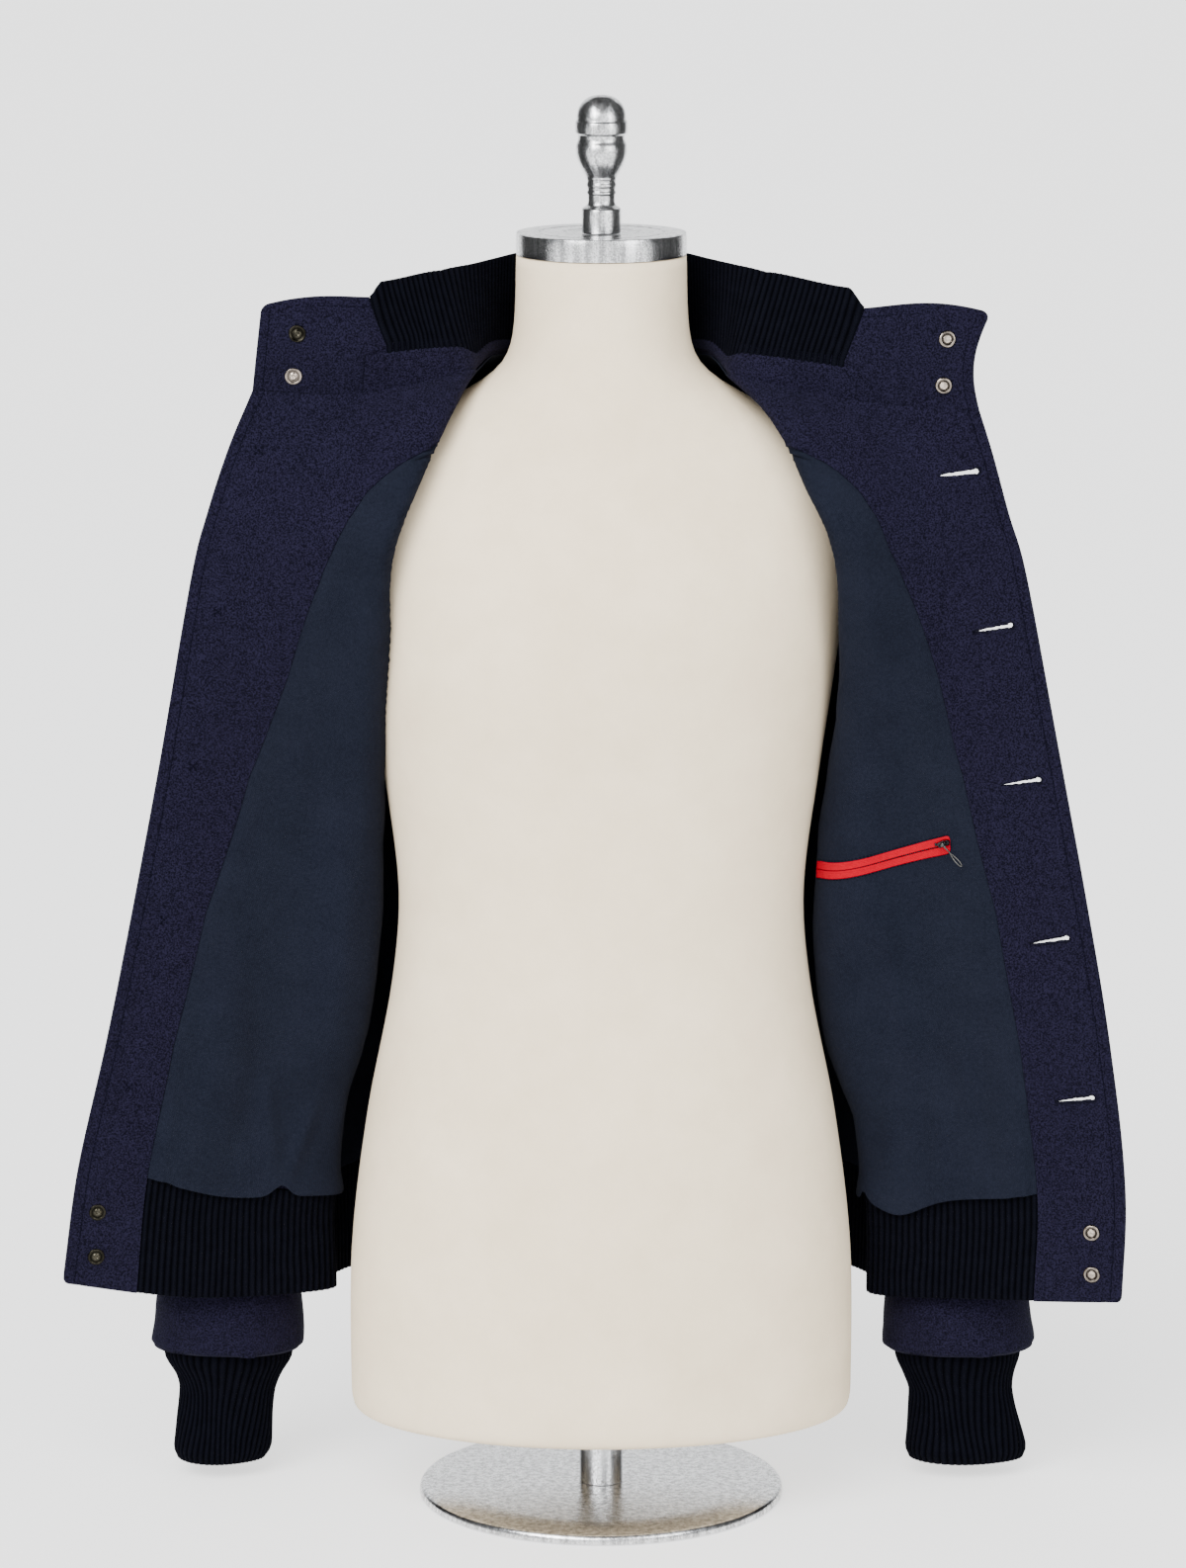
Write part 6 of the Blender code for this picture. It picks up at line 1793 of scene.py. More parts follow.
# %% Snap shapes
SNAP_CAP = [
    (0.0, 0.0), (0.0056, 0.0), (0.0062, 0.0003), (0.006, 0.0008), (0.0048, 0.0014), (0.0026, 0.0018),
    (0.0, 0.0019),
]
SNAP_PLATE = [
    (0.0, 0.0), (0.0056, 0.0), (0.0062, 0.0004), (0.0061, 0.001), (0.0056, 0.0013), (0.005, 0.0011),
    (0.0042, 0.0007), (0.003, 0.0007), (0.0024, 0.0011), (0.0018, 0.0014), (0.0012, 0.0012),
    (0.0009, 0.0008), (0.0, 0.0008),
]
SNAP_SOCKET = [
    (0.0, 0.0), (0.0057, 0.0), (0.0062, 0.0005), (0.0061, 0.0012), (0.0055, 0.0018), (0.0048, 0.002),
    (0.0041, 0.0018), (0.0037, 0.0012), (0.0035, 0.0005), (0.0031, 0.0004), (0.0029, 0.001),
    (0.0025, 0.0013), (0.0, 0.0013),
]
SNAP_STUD = [
    (0.0, 0.0), (0.0057, 0.0), (0.0062, 0.0004), (0.0059, 0.0009), (0.0044, 0.0012), (0.0026, 0.0012),
    (0.0022, 0.0018), (0.0024, 0.0026), (0.002, 0.0031), (0.0, 0.0032),
]
SNAP_SINK = 0.0003  # each snap presses this far into the felt
# the dark rings of a snap: painted shade in its groove and painted shadow at its rim, with some patina
TARNISH_AND_SHADE = ((0.0039, 0.0015), (0.0066, 0.0016))  # middle and width of the dark rings of a snap
NICKEL = metal_material("bright_nickel", (0.62, 0.53, 0.45), 0.1, 500.0, TARNISH_AND_SHADE)
# a darker copy of the bright nickel, for three back plates on the right: painted darker reflection
SHADED_NICKEL = metal_material("dark_nickel", (0.05, 0.046, 0.034), 0.1, 900.0, TARNISH_AND_SHADE)

Snap = namedtuple("Snap", "name height inset finish")
HEM_SNAPS = {
    RIGHT: [Snap("hem_low", 0.1955, 0.022, SHADED_NICKEL), Snap("hem_high", 0.229, 0.019, SHADED_NICKEL)],
    LEFT: [Snap("hem_low", 0.179, 0.023, NICKEL), Snap("hem_high", 0.2115, 0.025, NICKEL)],
}
CollarSnap = namedtuple("CollarSnap", "name right left share_right share_left finish_right")
COLLAR_SNAPS = [
    CollarSnap("collar_low", 0.365, 0.275, 0.19, 0.24, NICKEL),
    CollarSnap("collar_high", 0.365, 0.275, 0.63, 0.68, SHADED_NICKEL),
]


SNAP_SHAPES = {
    RIGHT: (("stud", SNAP_STUD), ("plate", SNAP_PLATE)),
    LEFT: (("cap", SNAP_CAP), ("socket", SNAP_SOCKET)),
}


def snap_pair(side, name, outer, normal, inner, finish):
    """The outer and the inner part of a snap."""
    halves = zip(SNAP_SHAPES[side], (outer, inner), (normal, -normal), (NICKEL, finish))
    for (kind, profile), point, out, metal in halves:
        node = f"snap_{kind}_{name}"
        piece = turned_piece(f"{node}_turned", rounded(profile), 40, frame_at(point - out * SNAP_SINK, out))
        dress(piece, metal, JACKET, "snap_metal", node)


for side in SIDES:
    for snap in HEM_SNAPS[side]:
        station, level = wing_place(side, snap.height, snap.inset)
        outer, normal = one_point(side, station, level, 0.0)
        inner, _ = one_point(side, station, level, FACING_BACK - 0.0001)
        snap_pair(side, snap.name, outer, normal, inner, snap.finish)
    for snap in COLLAR_SNAPS:
        station = own_row(side, getattr(snap, side))
        share = getattr(snap, f"share_{side}")
        outer, normal = tab_point(side, station, share, 0.0)
        inner, _ = tab_point(side, station, share, COLLAR_WALL)
        snap_pair(side, snap.name, outer, normal, inner, snap.finish_right if side == RIGHT else NICKEL)

# %% [markdown]
# ## Buttons and buttonholes
#
# Five dark buttons sit on the outer face of the wearer's right front, out of sight from in front. Each is a
# turned dish with four holes. The buttonholes opposite are keyhole slits: a round eye near the front edge,
# where the button's thread rests, and a slit that tapers inwards. They are cut right through both layers.

# %% Buttons
BUTTON_HEIGHTS = (0.786, 0.674, 0.562, 0.447, 0.322)
BUTTON_INSET = 0.024
SHANK = 0.0012
BUTTON = [
    (0.0, 0.0), (0.0082, 0.0), (0.0104, 0.0014), (0.011, 0.0026), (0.0106, 0.0036), (0.0096, 0.0038),
    (0.0086, 0.003), (0.0074, 0.0027), (0.0, 0.0026),
]
BUTTON_HOLE_RADIUS, BUTTON_HOLE_SPREAD = 0.001, 0.0019


def rod(bm, start, end, radius, sides=10):
    start, end = Vector(start), Vector(end)
    turn = (end - start).to_track_quat("Z", "Y").to_matrix().to_4x4()
    place = Matrix.Translation((start + end) / 2) @ turn
    size = {"radius1": radius, "radius2": radius, "depth": (end - start).length}
    bmesh.ops.create_cone(bm, cap_ends=True, segments=sides, matrix=place, **size)


def mesh_object(name, build):
    bm = bmesh.new()
    build(bm)
    mesh = bpy.data.meshes.new(name)
    bm.to_mesh(mesh)
    bm.free()
    return placed(name, mesh)


def cut(thing, cutter):
    """Takes the cutter's shape away from a piece and keeps the plain result."""
    step = thing.modifiers.new("cut", "BOOLEAN")
    step.operation, step.solver, step.object = "DIFFERENCE", "EXACT", cutter
    keep_result(thing)
    bpy.data.objects.remove(cutter, do_unlink=True)


CORNERS = ((1, 1), (-1, 1), (-1, -1), (1, -1))
HOLE_CORNERS = [(x * BUTTON_HOLE_SPREAD, y * BUTTON_HOLE_SPREAD) for x, y in CORNERS]


def make_button():
    button = turned_piece("button_shape", rounded(BUTTON), 56)

    def drills(bm):
        for x, y in HOLE_CORNERS:
            rod(bm, (x, y, -0.002), (x, y, 0.006), BUTTON_HOLE_RADIUS, 16)

    cut(button, mesh_object("drills", drills))
    button.data.shade_smooth()
    button.data.set_sharp_from_angle(angle=math.radians(35))
    return button


def button_thread(bm, place):
    """Two crossed bars of thread through the holes, and the shank under the button."""
    lift = 0.0029
    for (x0, y0), (x1, y1) in ((HOLE_CORNERS[0], HOLE_CORNERS[2]), (HOLE_CORNERS[1], HOLE_CORNERS[3])):
        rod(bm, place @ Vector((x0, y0, lift)), place @ Vector((x1, y1, lift)), 0.0005, 8)
    for x, y in HOLE_CORNERS:
        rod(bm, place @ Vector((x, y, -SHANK)), place @ Vector((x, y, lift)), 0.0005, 8)


def horn_material():
    material, _, shader, where = new_material("dark_horn")
    colour = ramp(speckle(where, 160.0, 5.0, 0.7), (0.004, 0.004, 0.009), (0.02, 0.021, 0.036))
    settle(shader, Base_Color=colour, Roughness=0.32)
    return material


def thread_material(name, dark, light):
    material, _, shader, where = new_material(name)
    twist = speckle(where, 1400.0, 3.0)
    settle(shader, Base_Color=ramp(twist, dark, light), Normal=bump(twist, 0.0002, 0.4))
    matt(shader, 0.9, 0.03)
    return material


HORN = horn_material()
NAVY_THREAD = thread_material("navy_thread", (0.0007, 0.0007, 0.002), (0.003, 0.003, 0.008))
button_shape = make_button()
button_places = []
for k, height in enumerate(BUTTON_HEIGHTS, 1):
    station, level = wing_place(RIGHT, height, BUTTON_INSET)
    point, normal = one_point(RIGHT, station, level, 0.0)
    place = frame_at(point + normal * SHANK, normal)
    mesh = button_shape.data.copy()
    mesh.transform(place)
    dress(placed(f"button_{k}_turned", mesh), HORN, JACKET, "button", f"button_{k}")
    button_places.append(place)
bpy.data.objects.remove(button_shape, do_unlink=True)


def all_button_threads(bm):
    for place in button_places:
        button_thread(bm, place)


button_threads = mesh_object("button_threads", all_button_threads)
dress(button_threads, NAVY_THREAD, JACKET, "wool")

# %% Buttonholes
# height, how far the inner end hangs down in degrees, and distance from the edge
Hole = namedtuple("Hole", "height tilt inset length eye_radius", defaults=(0.027, 0.0021))
HOLES = table(
    Hole,
    (0.7715, 15, 0.0165), (0.6637, 9, 0.019), (0.551, 6, 0.0187), (0.433, 9, 0.0192),
    (0.3133, 6, 0.0184),
)


def hole_outline(hole, seed, grow=0.0):
    """A keyhole: a round eye at 0 and a slit that tapers towards its inner end, a little frayed."""
    rng = np.random.default_rng(seed)
    reach = np.linspace(0.0, 1.0, 22)[1:]
    half = (0.00145 - 0.00075 * reach**1.5) * np.sqrt(np.clip(1.02 - reach**6, 0.0, 1.0))
    half = np.maximum(half, 0.0003)
    fray = 0.00016 * (1 - reach**4)  # the outline must not cross itself at the tip
    upper = [(hole.length * t, h + grow + rng.normal(0.0, f)) for t, h, f in zip(reach, half, fray)]
    lower = [(hole.length * t, -h - grow + rng.normal(0.0, f)) for t, h, f in zip(reach, half, fray)]
    eye = []
    for angle in np.radians(np.linspace(52, 308, 19)):
        radius = hole.eye_radius + grow + rng.normal(0.0, 0.0001)
        eye.append((radius * math.cos(angle), radius * math.sin(angle)))
    return upper[::-1] + eye + lower


def hole_frame(hole):
    """Origin at the hole's eye, x along the slit, z out of the cloth."""
    station, level = wing_place(LEFT, hole.height, hole.inset)
    middle = FACING_BACK / 2
    point, normal = one_point(LEFT, station, level, middle)
    further, _ = one_point(LEFT, station + station_per_metre(LEFT, level) * 0.03, level, middle)
    x = (further - point).normalized()
    y = normal.cross(x).normalized()
    place = Matrix.Translation(point) @ Matrix((x, y, x.cross(y))).transposed().to_4x4()
    down = math.copysign(math.radians(hole.tilt), -y.z)
    return place @ Matrix.Rotation(down, 4, "Z")


def hole_cutters(bm):
    for seed, hole in enumerate(HOLES, 21):
        place = hole_frame(hole)
        ring = [bm.verts.new(place @ Vector((x, y, -0.007))) for x, y in hole_outline(hole, seed)]
        face = bm.faces.new(ring)
        grown = bmesh.ops.extrude_face_region(bm, geom=[face])
        moved = [v for v in grown["geom"] if isinstance(v, bmesh.types.BMVert)]
        bmesh.ops.translate(bm, verts=moved, vec=(place.to_3x3() @ Vector((0, 0, 0.014))))
    bmesh.ops.recalc_face_normals(bm, faces=bm.faces)


for layer in (FRONTS[LEFT], FACINGS[LEFT]):
    cut(layer, mesh_object("hole_cutters", hole_cutters))
    print(f"{layer.name} after its buttonholes: {triangles(layer)} triangles")

# %% [markdown]
# ## Sewing
#
# Machine stitches are short bars of thread in a row, each end diving into the cloth. A Geometry Nodes tree
# sews them: it turns a line of points into a curve, sets out places at the stitch length, and puts one small
# bar of thread on each, turned along the line, or across it round a buttonhole. The thread is navy like the
# cloth, so a row shows mostly as a fine broken shadow in its groove.


# %% A tree that sews
def bar_of_thread(name, length, radius, sides=5):
    """One stitch: a short bar along X whose ends bend down into the cloth."""
    profile = ((-0.5, -0.9, 0.5), (-0.36, 0.2, 0.95), (0.36, 0.2, 0.95), (0.5, -0.9, 0.5))
    angle = np.linspace(0.0, math.tau, sides, endpoint=False)
    rings = []
    for place, height, size in profile:
        y, z = radius * size * np.cos(angle), radius * (height + size * np.sin(angle))
        rings.append(np.stack([np.full(sides, place * length), y, z], axis=-1))
    return lofted(name, np.array(rings))


def align(tree, axis, vector, rotation=None, pivot="AUTO"):
    node = add(tree, "FunctionNodeAlignRotationToVector", {"Vector": vector}, axis=axis, pivot_axis=pivot)
    return settle(node, {"Rotation": rotation} if rotation else {}).outputs[0]


def make_sewing_tree():
    inputs = [("Pitch", "NodeSocketFloat", 0.003), ("Turn", "NodeSocketFloat", 0.0)]
    inputs += [("Stitch", "NodeSocketObject", None), ("Material", "NodeSocketMaterial", None)]
    tree, given, result = new_tree("sew", inputs)
    line = add(tree, "GeometryNodeMeshToCurve", {"Mesh": given.outputs["Geometry"]})
    places = add(tree, "GeometryNodeResampleCurve", {"Curve": line.outputs[0]}, mode="LENGTH")
    tree.links.new(given.outputs["Pitch"], next(s for s in places.inputs if s.identifier == "Length"))
    stitch = add(tree, "GeometryNodeObjectInfo", {"Object": given.outputs["Stitch"]})
    ahead = align(tree, "X", add(tree, "GeometryNodeInputTangent").outputs[0])
    upright = align(tree, "Z", named(tree, "out", "FLOAT_VECTOR"), ahead, "X")
    across = add(tree, "ShaderNodeCombineXYZ", {"Z": given.outputs["Turn"]})
    turns = {0: upright, 1: across.outputs[0]}
    turned = add(tree, "FunctionNodeRotateRotation", turns, rotation_space="LOCAL")
    bars = add(tree, "GeometryNodeInstanceOnPoints", {"Points": places.outputs[0]})
    settle(bars, Rotation=turned.outputs[0], Instance=stitch.outputs["Geometry"])
    return end_tree(tree, bars.outputs[0], given, result)


SEWING_TREE = make_sewing_tree()
LONG_STITCH = bar_of_thread("long_stitch", 0.0029, 0.0004)
SHORT_STITCH = bar_of_thread("short_stitch", 0.0017, 0.00022)
print("triangles in one stitch:", triangles(LONG_STITCH))


# %% Sewing along lines
SewnLine = namedtuple("SewnLine", "points outwards")


def line_object(name, lines):
    verts, edges, outwards = [], [], []
    for line in lines:
        first = len(verts)
        verts += list(line.points)
        outwards += list(line.outwards)
        edges += [(first + k, first + k + 1) for k in range(len(line.points) - 1)]
    mesh = bpy.data.meshes.new(name)
    mesh.from_pydata(verts, edges, [])
    store(mesh, "out", np.array(outwards, float))
    return placed(name, mesh)


def sew(name, lines, thread, stitch, pitch, turn=0.0, slot="wool"):
    seam = line_object(name, lines)
    make_plain(seam, SEWING_TREE, {"Pitch": pitch, "Turn": turn, "Stitch": stitch, "Material": thread})
    return dress(seam, thread, JACKET, slot)


# %% Stitches beside the front edges
def edge_lines(side):
    """The row beside a front edge, once on the outer wool and once on the facing."""
    levels = spaced_levels(side, 0.05, NECKLINE + 0.03, HEM - 0.04, 240)
    stations = np.array([station_per_metre(side, level) * STITCH_INSET for level in levels])
    inner = FACING_BACK - float(pressed(STITCH_INSET)) - GROOVE_DEPTH
    depths = {1.0: GROOVE_DEPTH, -1.0: inner}
    for face, depth in depths.items():
        points, normals = cloth(side, stations, levels, depth)
        yield SewnLine(points, normals * face)


def sew_sides(name, lines, pitch=0.0031):
    return {side: sew(f"{name}_{side}", lines(side), NAVY_THREAD, LONG_STITCH, pitch) for side in SIDES}


EDGE_SEWING = sew_sides("edge_stitches", edge_lines)

# %% Stitches in the collar tabs
TAB_CROSS = {RIGHT: 0.8, LEFT: 0.7}  # station of the row that crosses each tab


def collar_distance(station, share, step_station, step_share):
    """Metres along the tab for one small step."""
    a = collar_point(np.array([station]), np.array([share]))
    b = collar_point(np.array([station + step_station]), np.array([share + step_share]))
    return float(np.linalg.norm(b - a))


def tab_lines(side):
    inset = TAB_STITCH / collar_distance(0.02, 0.5, 0.01, 0.0) * 0.01
    top = 1.0 - TAB_STITCH / collar_distance(0.5, 0.9, 0.0, 0.05) * 0.05
    paths = (
        (np.full(40, inset), np.linspace(0.03, top, 40)),
        (np.linspace(inset, TAB_END - 0.02, 50), np.full(50, top)),
        (np.full(30, TAB_CROSS[side]), np.linspace(0.44, 0.97, 30)),
    )
    for station, share in paths:
        station = own_row(side, station)
        lift = tab_uneven(side, station, share)
        for face in (1.0, -1.0):
            depth = COLLAR_WALL / 2 - lift - face * (COLLAR_WALL / 2 - GROOVE_DEPTH)
            points, normals = collar(station, share, depth)
            yield SewnLine(points, normals * face)


TAB_SEWING = sew_sides("tab_stitches", tab_lines)


# %% Thread round the buttonholes
def hole_lines():
    reach = FACING_BACK / 2 - 0.00012
    for seed, hole in enumerate(HOLES, 21):
        place = hole_frame(hole)
        outline = hole_outline(hole, seed, 0.0008)
        outline.append(outline[0])
        outwards = np.array(place.to_3x3() @ Vector((0, 0, 1)))
        for face in (1.0, -1.0):
            points = [np.array(place @ Vector((x, y, face * reach))) for x, y in outline]
            yield SewnLine(points, [outwards * face] * len(points))


HOLE_THREAD = thread_material("hole_thread", (0.0006, 0.0006, 0.0014), (0.0032, 0.0032, 0.007))
HOLE_SEWING = sew("buttonhole_stitches", hole_lines(), HOLE_THREAD, SHORT_STITCH, 0.0008, math.pi / 2)


# %% Where each button is sewn through
def button_mark_lines():
    for height in BUTTON_HEIGHTS:
        station, level = wing_place(RIGHT, height, BUTTON_INSET)
        point, normal = one_point(RIGHT, station, level, FACING_BACK - 0.0001)
        place = frame_at(point, -normal)
        for start, end in ((0, 2), (1, 3), (0, 3), (1, 2)):
            a, b = HOLE_CORNERS[start], HOLE_CORNERS[end]
            ends = [np.array(place @ Vector((x * 1.1, y * 1.1, 0.0002))) for x, y in (a, b)]
            yield SewnLine(ends, [-np.array(normal)] * 2)


MARK_STITCH = bar_of_thread("mark_stitch", 0.0026, 0.00032)
sew("button_marks", button_mark_lines(), NAVY_THREAD, MARK_STITCH, 0.0026)

# %% [markdown]
# ## Zip pocket
#
# A red zip closes a pocket in the left lining. Two bands of tape meet edge to edge, with the dark teeth
# hidden under them, so only a thin black line shows. A small slider closes it; its pull is a slim loop on a
# pin, the only part of the jacket with a joint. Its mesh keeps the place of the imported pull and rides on
# that body. The bands follow the lining's surface, found in the same way as the lining itself.

# %% Tape
TAPE, TAPE_LIFT = 0.0008, 0.0005  # thickness, and height above the lining
ZIP_HALF_WIDTH = 0.0062
BAND_GAP = 0.00042  # half the gap between the two bands
LINING_FACE = FACING_DEPTH + LINING


ZIP_REACH, ZIP_RAISE = 1.12, -0.06  # the tape runs on out of sight, and its inner end sits a little higher


def zip_strip(low, high, lift, cells, columns=150):
    """Middle points and normals of a strip along the zip; low and high are distances from its line."""
    share = np.linspace(0.0, ZIP_REACH, columns)
    station = ZIP_START[0] + (ZIP_END[0] - ZIP_START[0]) * share
    level = ZIP_START[1] + (ZIP_END[1] - ZIP_START[1] + ZIP_RAISE) * share
    step = bare_body(LEFT, station, level + 0.01) - bare_body(LEFT, station, level)
    levels_per_metre = 0.01 / np.linalg.norm(step, axis=-1)
    low, high = np.broadcast_to(low, share.shape), np.broadcast_to(high, share.shape)
    offsets = low[:, None] + (high - low)[:, None] * np.linspace(0.0, 1.0, cells + 1)
    curl = 0.0003 * bell(offsets, 0.0, 0.0014)  # the inner edges stand up over the teeth
    sag = 0.00015 * np.sin(share * 23.0)[:, None]
    at = level[:, None] + offsets * levels_per_metre[:, None]
    station = np.broadcast_to(station[:, None], at.shape)
    bag = lining_extra(LEFT, bare_body(LEFT, station, at), station, at, 1.0)
    return cloth(LEFT, station, at, LINING_FACE + bag + lift + TAPE / 2 + curl + sag)


def zip_bands():
    share = np.linspace(0.0, 1.0, 150)
    from_end = np.clip(share / 0.03, 0.0, 1.0)  # the front end is rounded and wraps round the slider
    outer = ZIP_HALF_WIDTH * (1 - 0.45 * (1 - np.sqrt(1 - (1 - from_end) ** 2)))
    outer = outer * (1 + 0.1 * bell(share, 0.0, 0.25))
    gap = BAND_GAP * (1 - 0.7 * rise(share, 0.3, 0.8)) * rise(share, 0.006, 0.012)
    gap = gap - 0.0003 * (share < 0.006)
    bands = []
    for k, (low, high) in enumerate(((-outer, -gap), (gap, outer))):
        middle, normal = zip_strip(low, high, TAPE_LIFT, 12)
        bands.append(shell(f"band_{k}", middle, normal, TAPE / 2, round_over=1.0))
    return joined("zip_tape_bands", bands)


def joined(name, things):
    bm = bmesh.new()
    for thing in things:
        bm.from_mesh(thing.data)
        bpy.data.objects.remove(thing, do_unlink=True)
    mesh = bpy.data.meshes.new(name)
    bm.to_mesh(mesh)
    bm.free()
    mesh.shade_smooth()
    return placed(name, mesh)


def tape_material():
    material, tree, shader, where = new_material("red_tape")
    colour = ramp(speckle(where, 400.0, 3.0), (0.225, 0.0001, 0.0068), (0.325, 0.0002, 0.0108))
    settle(shader, Base_Color=colour, Normal=bump(knit_wave(tree, 800.0, 1100.0), 0.0002, 0.35))
    matt(shader, 0.85, 0.0)
    return material


RED_TAPE = tape_material()
TAPE_PIECE = dress(zip_bands(), RED_TAPE, JACKET, "zip_tape", "zip_tape")


# %% Teeth and the tape's stitches
def strip_line(offset, lift):
    middle, normal = zip_strip(offset - 0.0001, offset + 0.0001, lift - TAPE / 2, 1)
    return SewnLine(middle[3:, 0], -normal[3:, 0])


GUNMETAL = metal_material("gunmetal", (0.026, 0.027, 0.03), 0.18, 700.0)
TOOTH = bar_of_thread("one_tooth", 0.0012, 0.0005)
sew("zip_teeth", [strip_line(0.0, 0.0003)], GUNMETAL, TOOTH, 0.0014, 0.0, "dark_metal")
tape_lines = [strip_line(side_of * (ZIP_HALF_WIDTH + 0.0011), 0.0001) for side_of in (1, -1)]
TAPE_SEWING = sew("tape_stitches", tape_lines, NAVY_THREAD, SHORT_STITCH, 0.0027)

# %% Slabs and bent wire
def slab(name, outline, low, high, edge, place):
    flat = np.array(outline, float)
    centre = flat.mean(axis=0)
    size = np.linalg.norm(flat - centre, axis=1).mean()
    insets = ((1.6, low), (0.5, low + 0.3 * edge), (0.0, low + edge))
    insets += ((0.0, high - edge), (0.5, high - 0.3 * edge), (1.6, high))
    rings = []
    for inset, z in insets:
        ring = centre + (flat - centre) * (1 - inset * edge / size)
        rings.append(np.concatenate([ring, np.full((len(ring), 1), z)], axis=1))
    thing = lofted(name, np.array(rings))
    thing.data.transform(place)
    return thing


def wire(name, path, half_x, half_z, place, closed=False, sides=12):
    path = np.array(path, float)
    ahead = np.roll(path, -1, axis=0) - np.roll(path, 1, axis=0) if closed else np.gradient(path, axis=0)
    ahead = ahead / np.linalg.norm(ahead, axis=1, keepdims=True)
    beside = np.stack([ahead[:, 1], -ahead[:, 0]], axis=1)
    angle = np.linspace(0.0, math.tau, sides, endpoint=False)
    half_x, half_z = np.broadcast_to(half_x, len(path)), np.broadcast_to(half_z, len(path))
    xy = path[:, None] + beside[:, None] * (half_x[:, None] * np.cos(angle))[..., None]
    z = half_z[:, None] * np.sin(angle)
    rings = np.concatenate([xy, z[..., None]], axis=-1)
    thing = lofted(name, rings, closed)
    thing.data.transform(place)
    return thing


# %% Slider
PIN_HEIGHT = 0.0038  # the pin above the slider's place
PULL_SLANT = math.radians(42)  # the pull hangs this far from straight down
SWING = next(joint for joint in frame["joints"] if joint["name"] == "zip_pull_swing")
PIN_CENTRE = Vector(SWING["pos_m"])


def slider_place():
    """Local +Z off the lining, local -Y along the hanging pull, origin under the pin."""
    station = ZIP_START[0] + (ZIP_END[0] - ZIP_START[0]) * 0.03
    level = ZIP_START[1] + (ZIP_END[1] - ZIP_START[1]) * 0.03
    normal = body_normal(LEFT, np.array([station]), np.array([level]))[0]
    turned = frame_at(Vector((0, 0, 0)), -Vector(normal)) @ Matrix.Rotation(PULL_SLANT, 4, "Z")
    x = -Vector(SWING["axis"]).normalized()  # the pin lies along the joint's own axis
    z = turned.to_3x3().col[2]
    z = (z - x * z.dot(x)).normalized()
    place = Matrix((x, z.cross(x), z)).transposed().to_4x4()
    return Matrix.Translation(PIN_CENTRE - z * PIN_HEIGHT) @ place


SLIDER_PLACE = slider_place()
middle, _ = zip_strip(-0.001, 0.001, TAPE_LIFT + TAPE / 2, 2)
nearest = min((Vector(p) for p in middle[:, 1]), key=lambda p: (p - PIN_CENTRE).length)
SLIDER_BASE = float((SLIDER_PLACE.inverted() @ nearest).z)  # the tape's face below the slider's place
print("the pin is", round((nearest - PIN_CENTRE).length * 1000, 2), "mm above the tape")


SHIELD = [
    (-0.0044, -0.0013), (-0.0046, 0.0), (-0.0044, 0.0013), (-0.003, 0.0019), (0.0, 0.0021),
    (0.003, 0.0016), (0.0046, 0.001), (0.0049, 0.0), (0.0046, -0.001), (0.003, -0.0016),
    (0.0, -0.0021), (-0.003, -0.0019),
]
EAR = [
    (-0.0012, 0.0), (-0.0012, 0.003), (-0.0008, 0.004), (0.0, 0.0044), (0.0008, 0.004),
    (0.0012, 0.003), (0.0012, 0.0),
]
STOP = [
    (-0.0007, -0.0012), (-0.0009, 0.0), (-0.0007, 0.0012), (0.0007, 0.0012), (0.0009, 0.0),
    (0.0007, -0.0012),
]


def moved(x, y, z):
    return Matrix.Translation((x, y, z))


def quarter_turn(axis):
    return Matrix.Rotation(math.pi / 2, 4, axis)


def slider():
    run = SLIDER_PLACE.inverted().to_3x3() @ (Vector(middle[24, 1]) - Vector(middle[0, 1]))
    body_place = SLIDER_PLACE @ Matrix.Rotation(math.atan2(run.y, run.x), 4, "Z")
    parts = [slab("slider_body", SHIELD, SLIDER_BASE - 0.0002, 0.0016, 0.0003, body_place)]
    for k, x in enumerate((-0.0025, 0.0025)):
        place = SLIDER_PLACE @ moved(x, 0.0, 0.0006) @ quarter_turn("X") @ quarter_turn("Y")
        parts.append(slab(f"slider_ear_{k}", EAR, -0.0005, 0.0005, 0.00015, place))
    pin_place = SLIDER_PLACE @ moved(0, 0, PIN_HEIGHT) @ quarter_turn("Y")
    parts.append(turned_piece("slider_pin", PIN_PROFILE, 20, pin_place))
    stop_at = body_place @ moved(0.0062 if run.x < 0 else -0.0062, 0.0, 0.0)
    parts.append(slab("zip_stop", STOP, SLIDER_BASE - 0.0002, SLIDER_BASE + 0.0009, 0.0002, stop_at))
    return joined("zip_slider_body", parts)


PIN_PROFILE = [
    (0.0, -0.0029), (0.0007, -0.0029), (0.0008, -0.0028), (0.0008, 0.0028), (0.0007, 0.0029),
    (0.0, 0.0029),
]
dress(slider(), GUNMETAL, JACKET, "dark_metal", "zip_slider")


# %% Pull
def pull():
    place = SLIDER_PLACE @ moved(0, 0, PIN_HEIGHT)
    angle = np.linspace(0.0, math.tau, 36, endpoint=False)
    eye_path = np.stack([0.0014 * np.cos(angle), 0.0014 * np.sin(angle)], axis=1)
    eye = wire("pull_eye", eye_path, 0.0002, 0.0013, place @ quarter_turn("Y"), closed=True)
    neck_path = [(0.0, y) for y in np.linspace(-0.0014, -0.0096, 12)]
    neck_width = np.interp(np.linspace(0, 1, 12), [0.0, 0.2, 0.7, 1.0], [0.00105, 0.00062, 0.00052, 0.0006])
    neck = wire("pull_neck", neck_path, neck_width, 0.00048, place)
    turn = np.linspace(0.0, math.tau, 56, endpoint=False)
    y = -0.015 + 0.0058 * np.cos(turn)
    x = 0.0012 * np.sin(turn) * (1.0 - 0.25 * np.cos(turn))
    loop = wire("pull_loop", np.stack([x, y], axis=1), 0.00055, 0.0006, place, closed=True)
    return joined("zip_pull_loop", [eye, neck, loop])


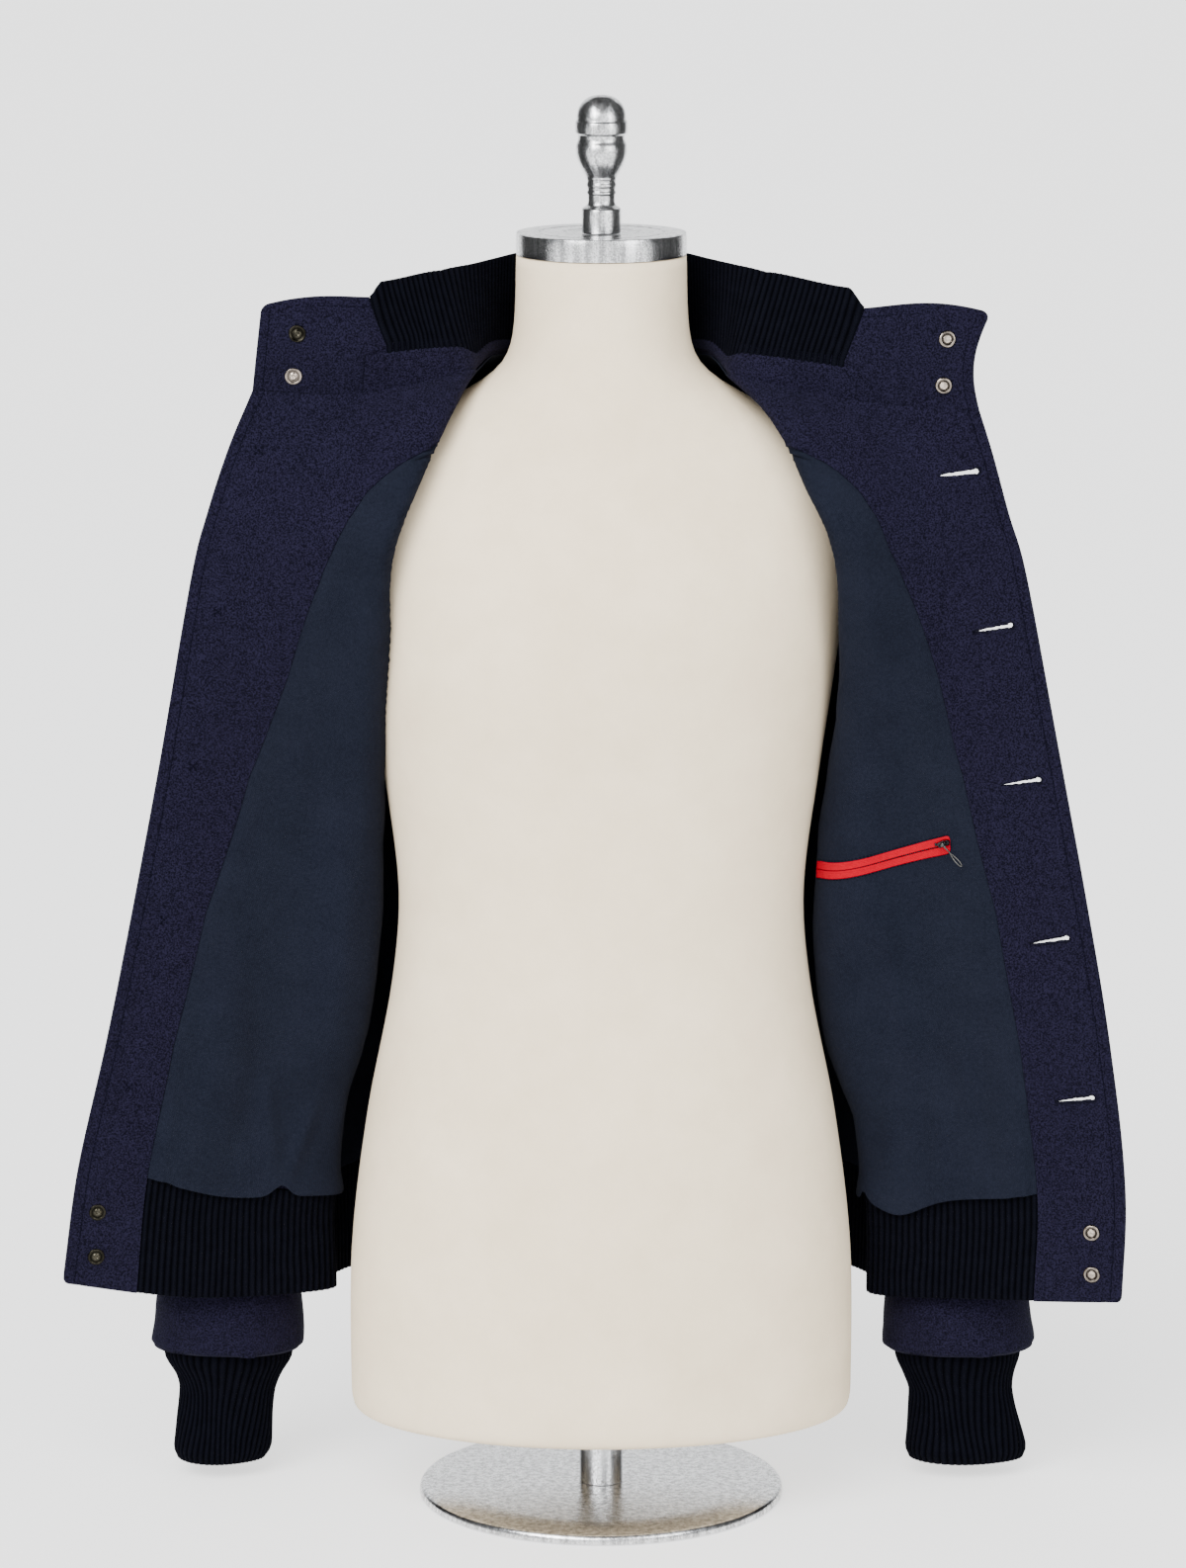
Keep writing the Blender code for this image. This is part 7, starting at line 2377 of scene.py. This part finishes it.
PULL_METAL = metal_material("bright_gunmetal", (0.1, 0.1, 0.097), 0.12, 700.0)
dress(pull(), PULL_METAL, PULL, "dark_metal", "zip_pull")
for pattern in (LONG_STITCH, SHORT_STITCH, MARK_STITCH, TOOTH):
    bpy.data.objects.remove(pattern, do_unlink=True)


# %% [markdown]
# ## The cut of the cloth
#
# Each piece of cloth was cut flat before it was sewn. Its flat width, length and area are stated here, in
# metres, so that the made piece can be checked: felt, lining and rib bend, but they hardly stretch.
# A tube is cut as wide as it is round. The seam allowances and stitches belong to the piece they are on.

# %% Cloth as it was cut
Cut = namedtuple("Cut", "piece width length area rests_on extras", defaults=([],))
CUTS = [
    Cut(FRONTS[RIGHT], 0.28, 0.76, 0.1426, [TABS[RIGHT]], [EDGE_SEWING[RIGHT]]),
    Cut(FRONTS[LEFT], 0.28, 0.76, 0.1433, [TABS[LEFT]], [EDGE_SEWING[LEFT], HOLE_SEWING]),
    Cut(FACINGS[RIGHT], 0.22, 0.76, 0.052, [FRONTS[RIGHT]]),
    Cut(FACINGS[LEFT], 0.22, 0.76, 0.0555, [FRONTS[LEFT]]),
    Cut(BACK_PIECE, 0.54, 0.66, 0.3003, [STAND]),
    Cut(SLEEVES[RIGHT], 0.44, 0.66, 0.1905, [FRONTS[RIGHT], BACK_PIECE]),
    Cut(SLEEVES[LEFT], 0.44, 0.66, 0.1883, [FRONTS[LEFT], BACK_PIECE]),
    Cut(LININGS[RIGHT], 0.25, 0.66, 0.1015, [FACINGS[RIGHT]]),
    Cut(LININGS[LEFT], 0.25, 0.66, 0.099, [FACINGS[LEFT]]),
    Cut(BACK_LINING, 0.54, 0.66, 0.2964, [BACK_PIECE]),
    Cut(CUFFS[RIGHT], 0.25, 0.088, 0.0191, [SLEEVES[RIGHT]]),
    Cut(CUFFS[LEFT], 0.25, 0.088, 0.0204, [SLEEVES[LEFT]]),
    Cut(HEM_PIECE, 0.86, 0.081, 0.0676, [BACK_PIECE]),
    Cut(TABS[RIGHT], 0.09, 0.08, 0.0055, [STAND], [TAB_SEWING[RIGHT]]),
    Cut(TABS[LEFT], 0.09, 0.08, 0.0063, [STAND], [TAB_SEWING[LEFT]]),
    Cut(STAND, 0.48, 0.03, 0.0076, [BACK_PIECE], ALLOWANCES),
    Cut(COLLAR_PIECE, 0.5, 0.068, 0.0289, [STAND]),
    Cut(TAPE_PIECE, 0.112, 0.0124, 0.00114, [LININGS[LEFT]], [TAPE_SEWING]),
]
for cut in CUTS:
    held = "laid" if cut.piece is TAPE_PIECE else "hung"
    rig.sheet(
        cut.piece,
        flat=(cut.width, cut.length),
        held=held,
        rests_on=cut.rests_on,
        area=cut.area,
        with_pieces=cut.extras,
    )
    made = sum(face.area for face in cut.piece.data.polygons) / 2
    print(f"{cut.piece.name}: cut {cut.area:.4f} m2, made {made:.4f} m2 with its folds and ribs")

# %% [markdown]
# ## The whole thing
#
# The last cell keeps the size of the dressed model beside the size of the imported one.

# %% Size and finish
DRESSED_BOX = [list(corner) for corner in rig.bounds()]
with open("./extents.json", "w") as out:
    json.dump({"cad": CAD_BOX, "dressed": DRESSED_BOX}, out)
print("dressed box:", [[round(v, 4) for v in corner] for corner in DRESSED_BOX])
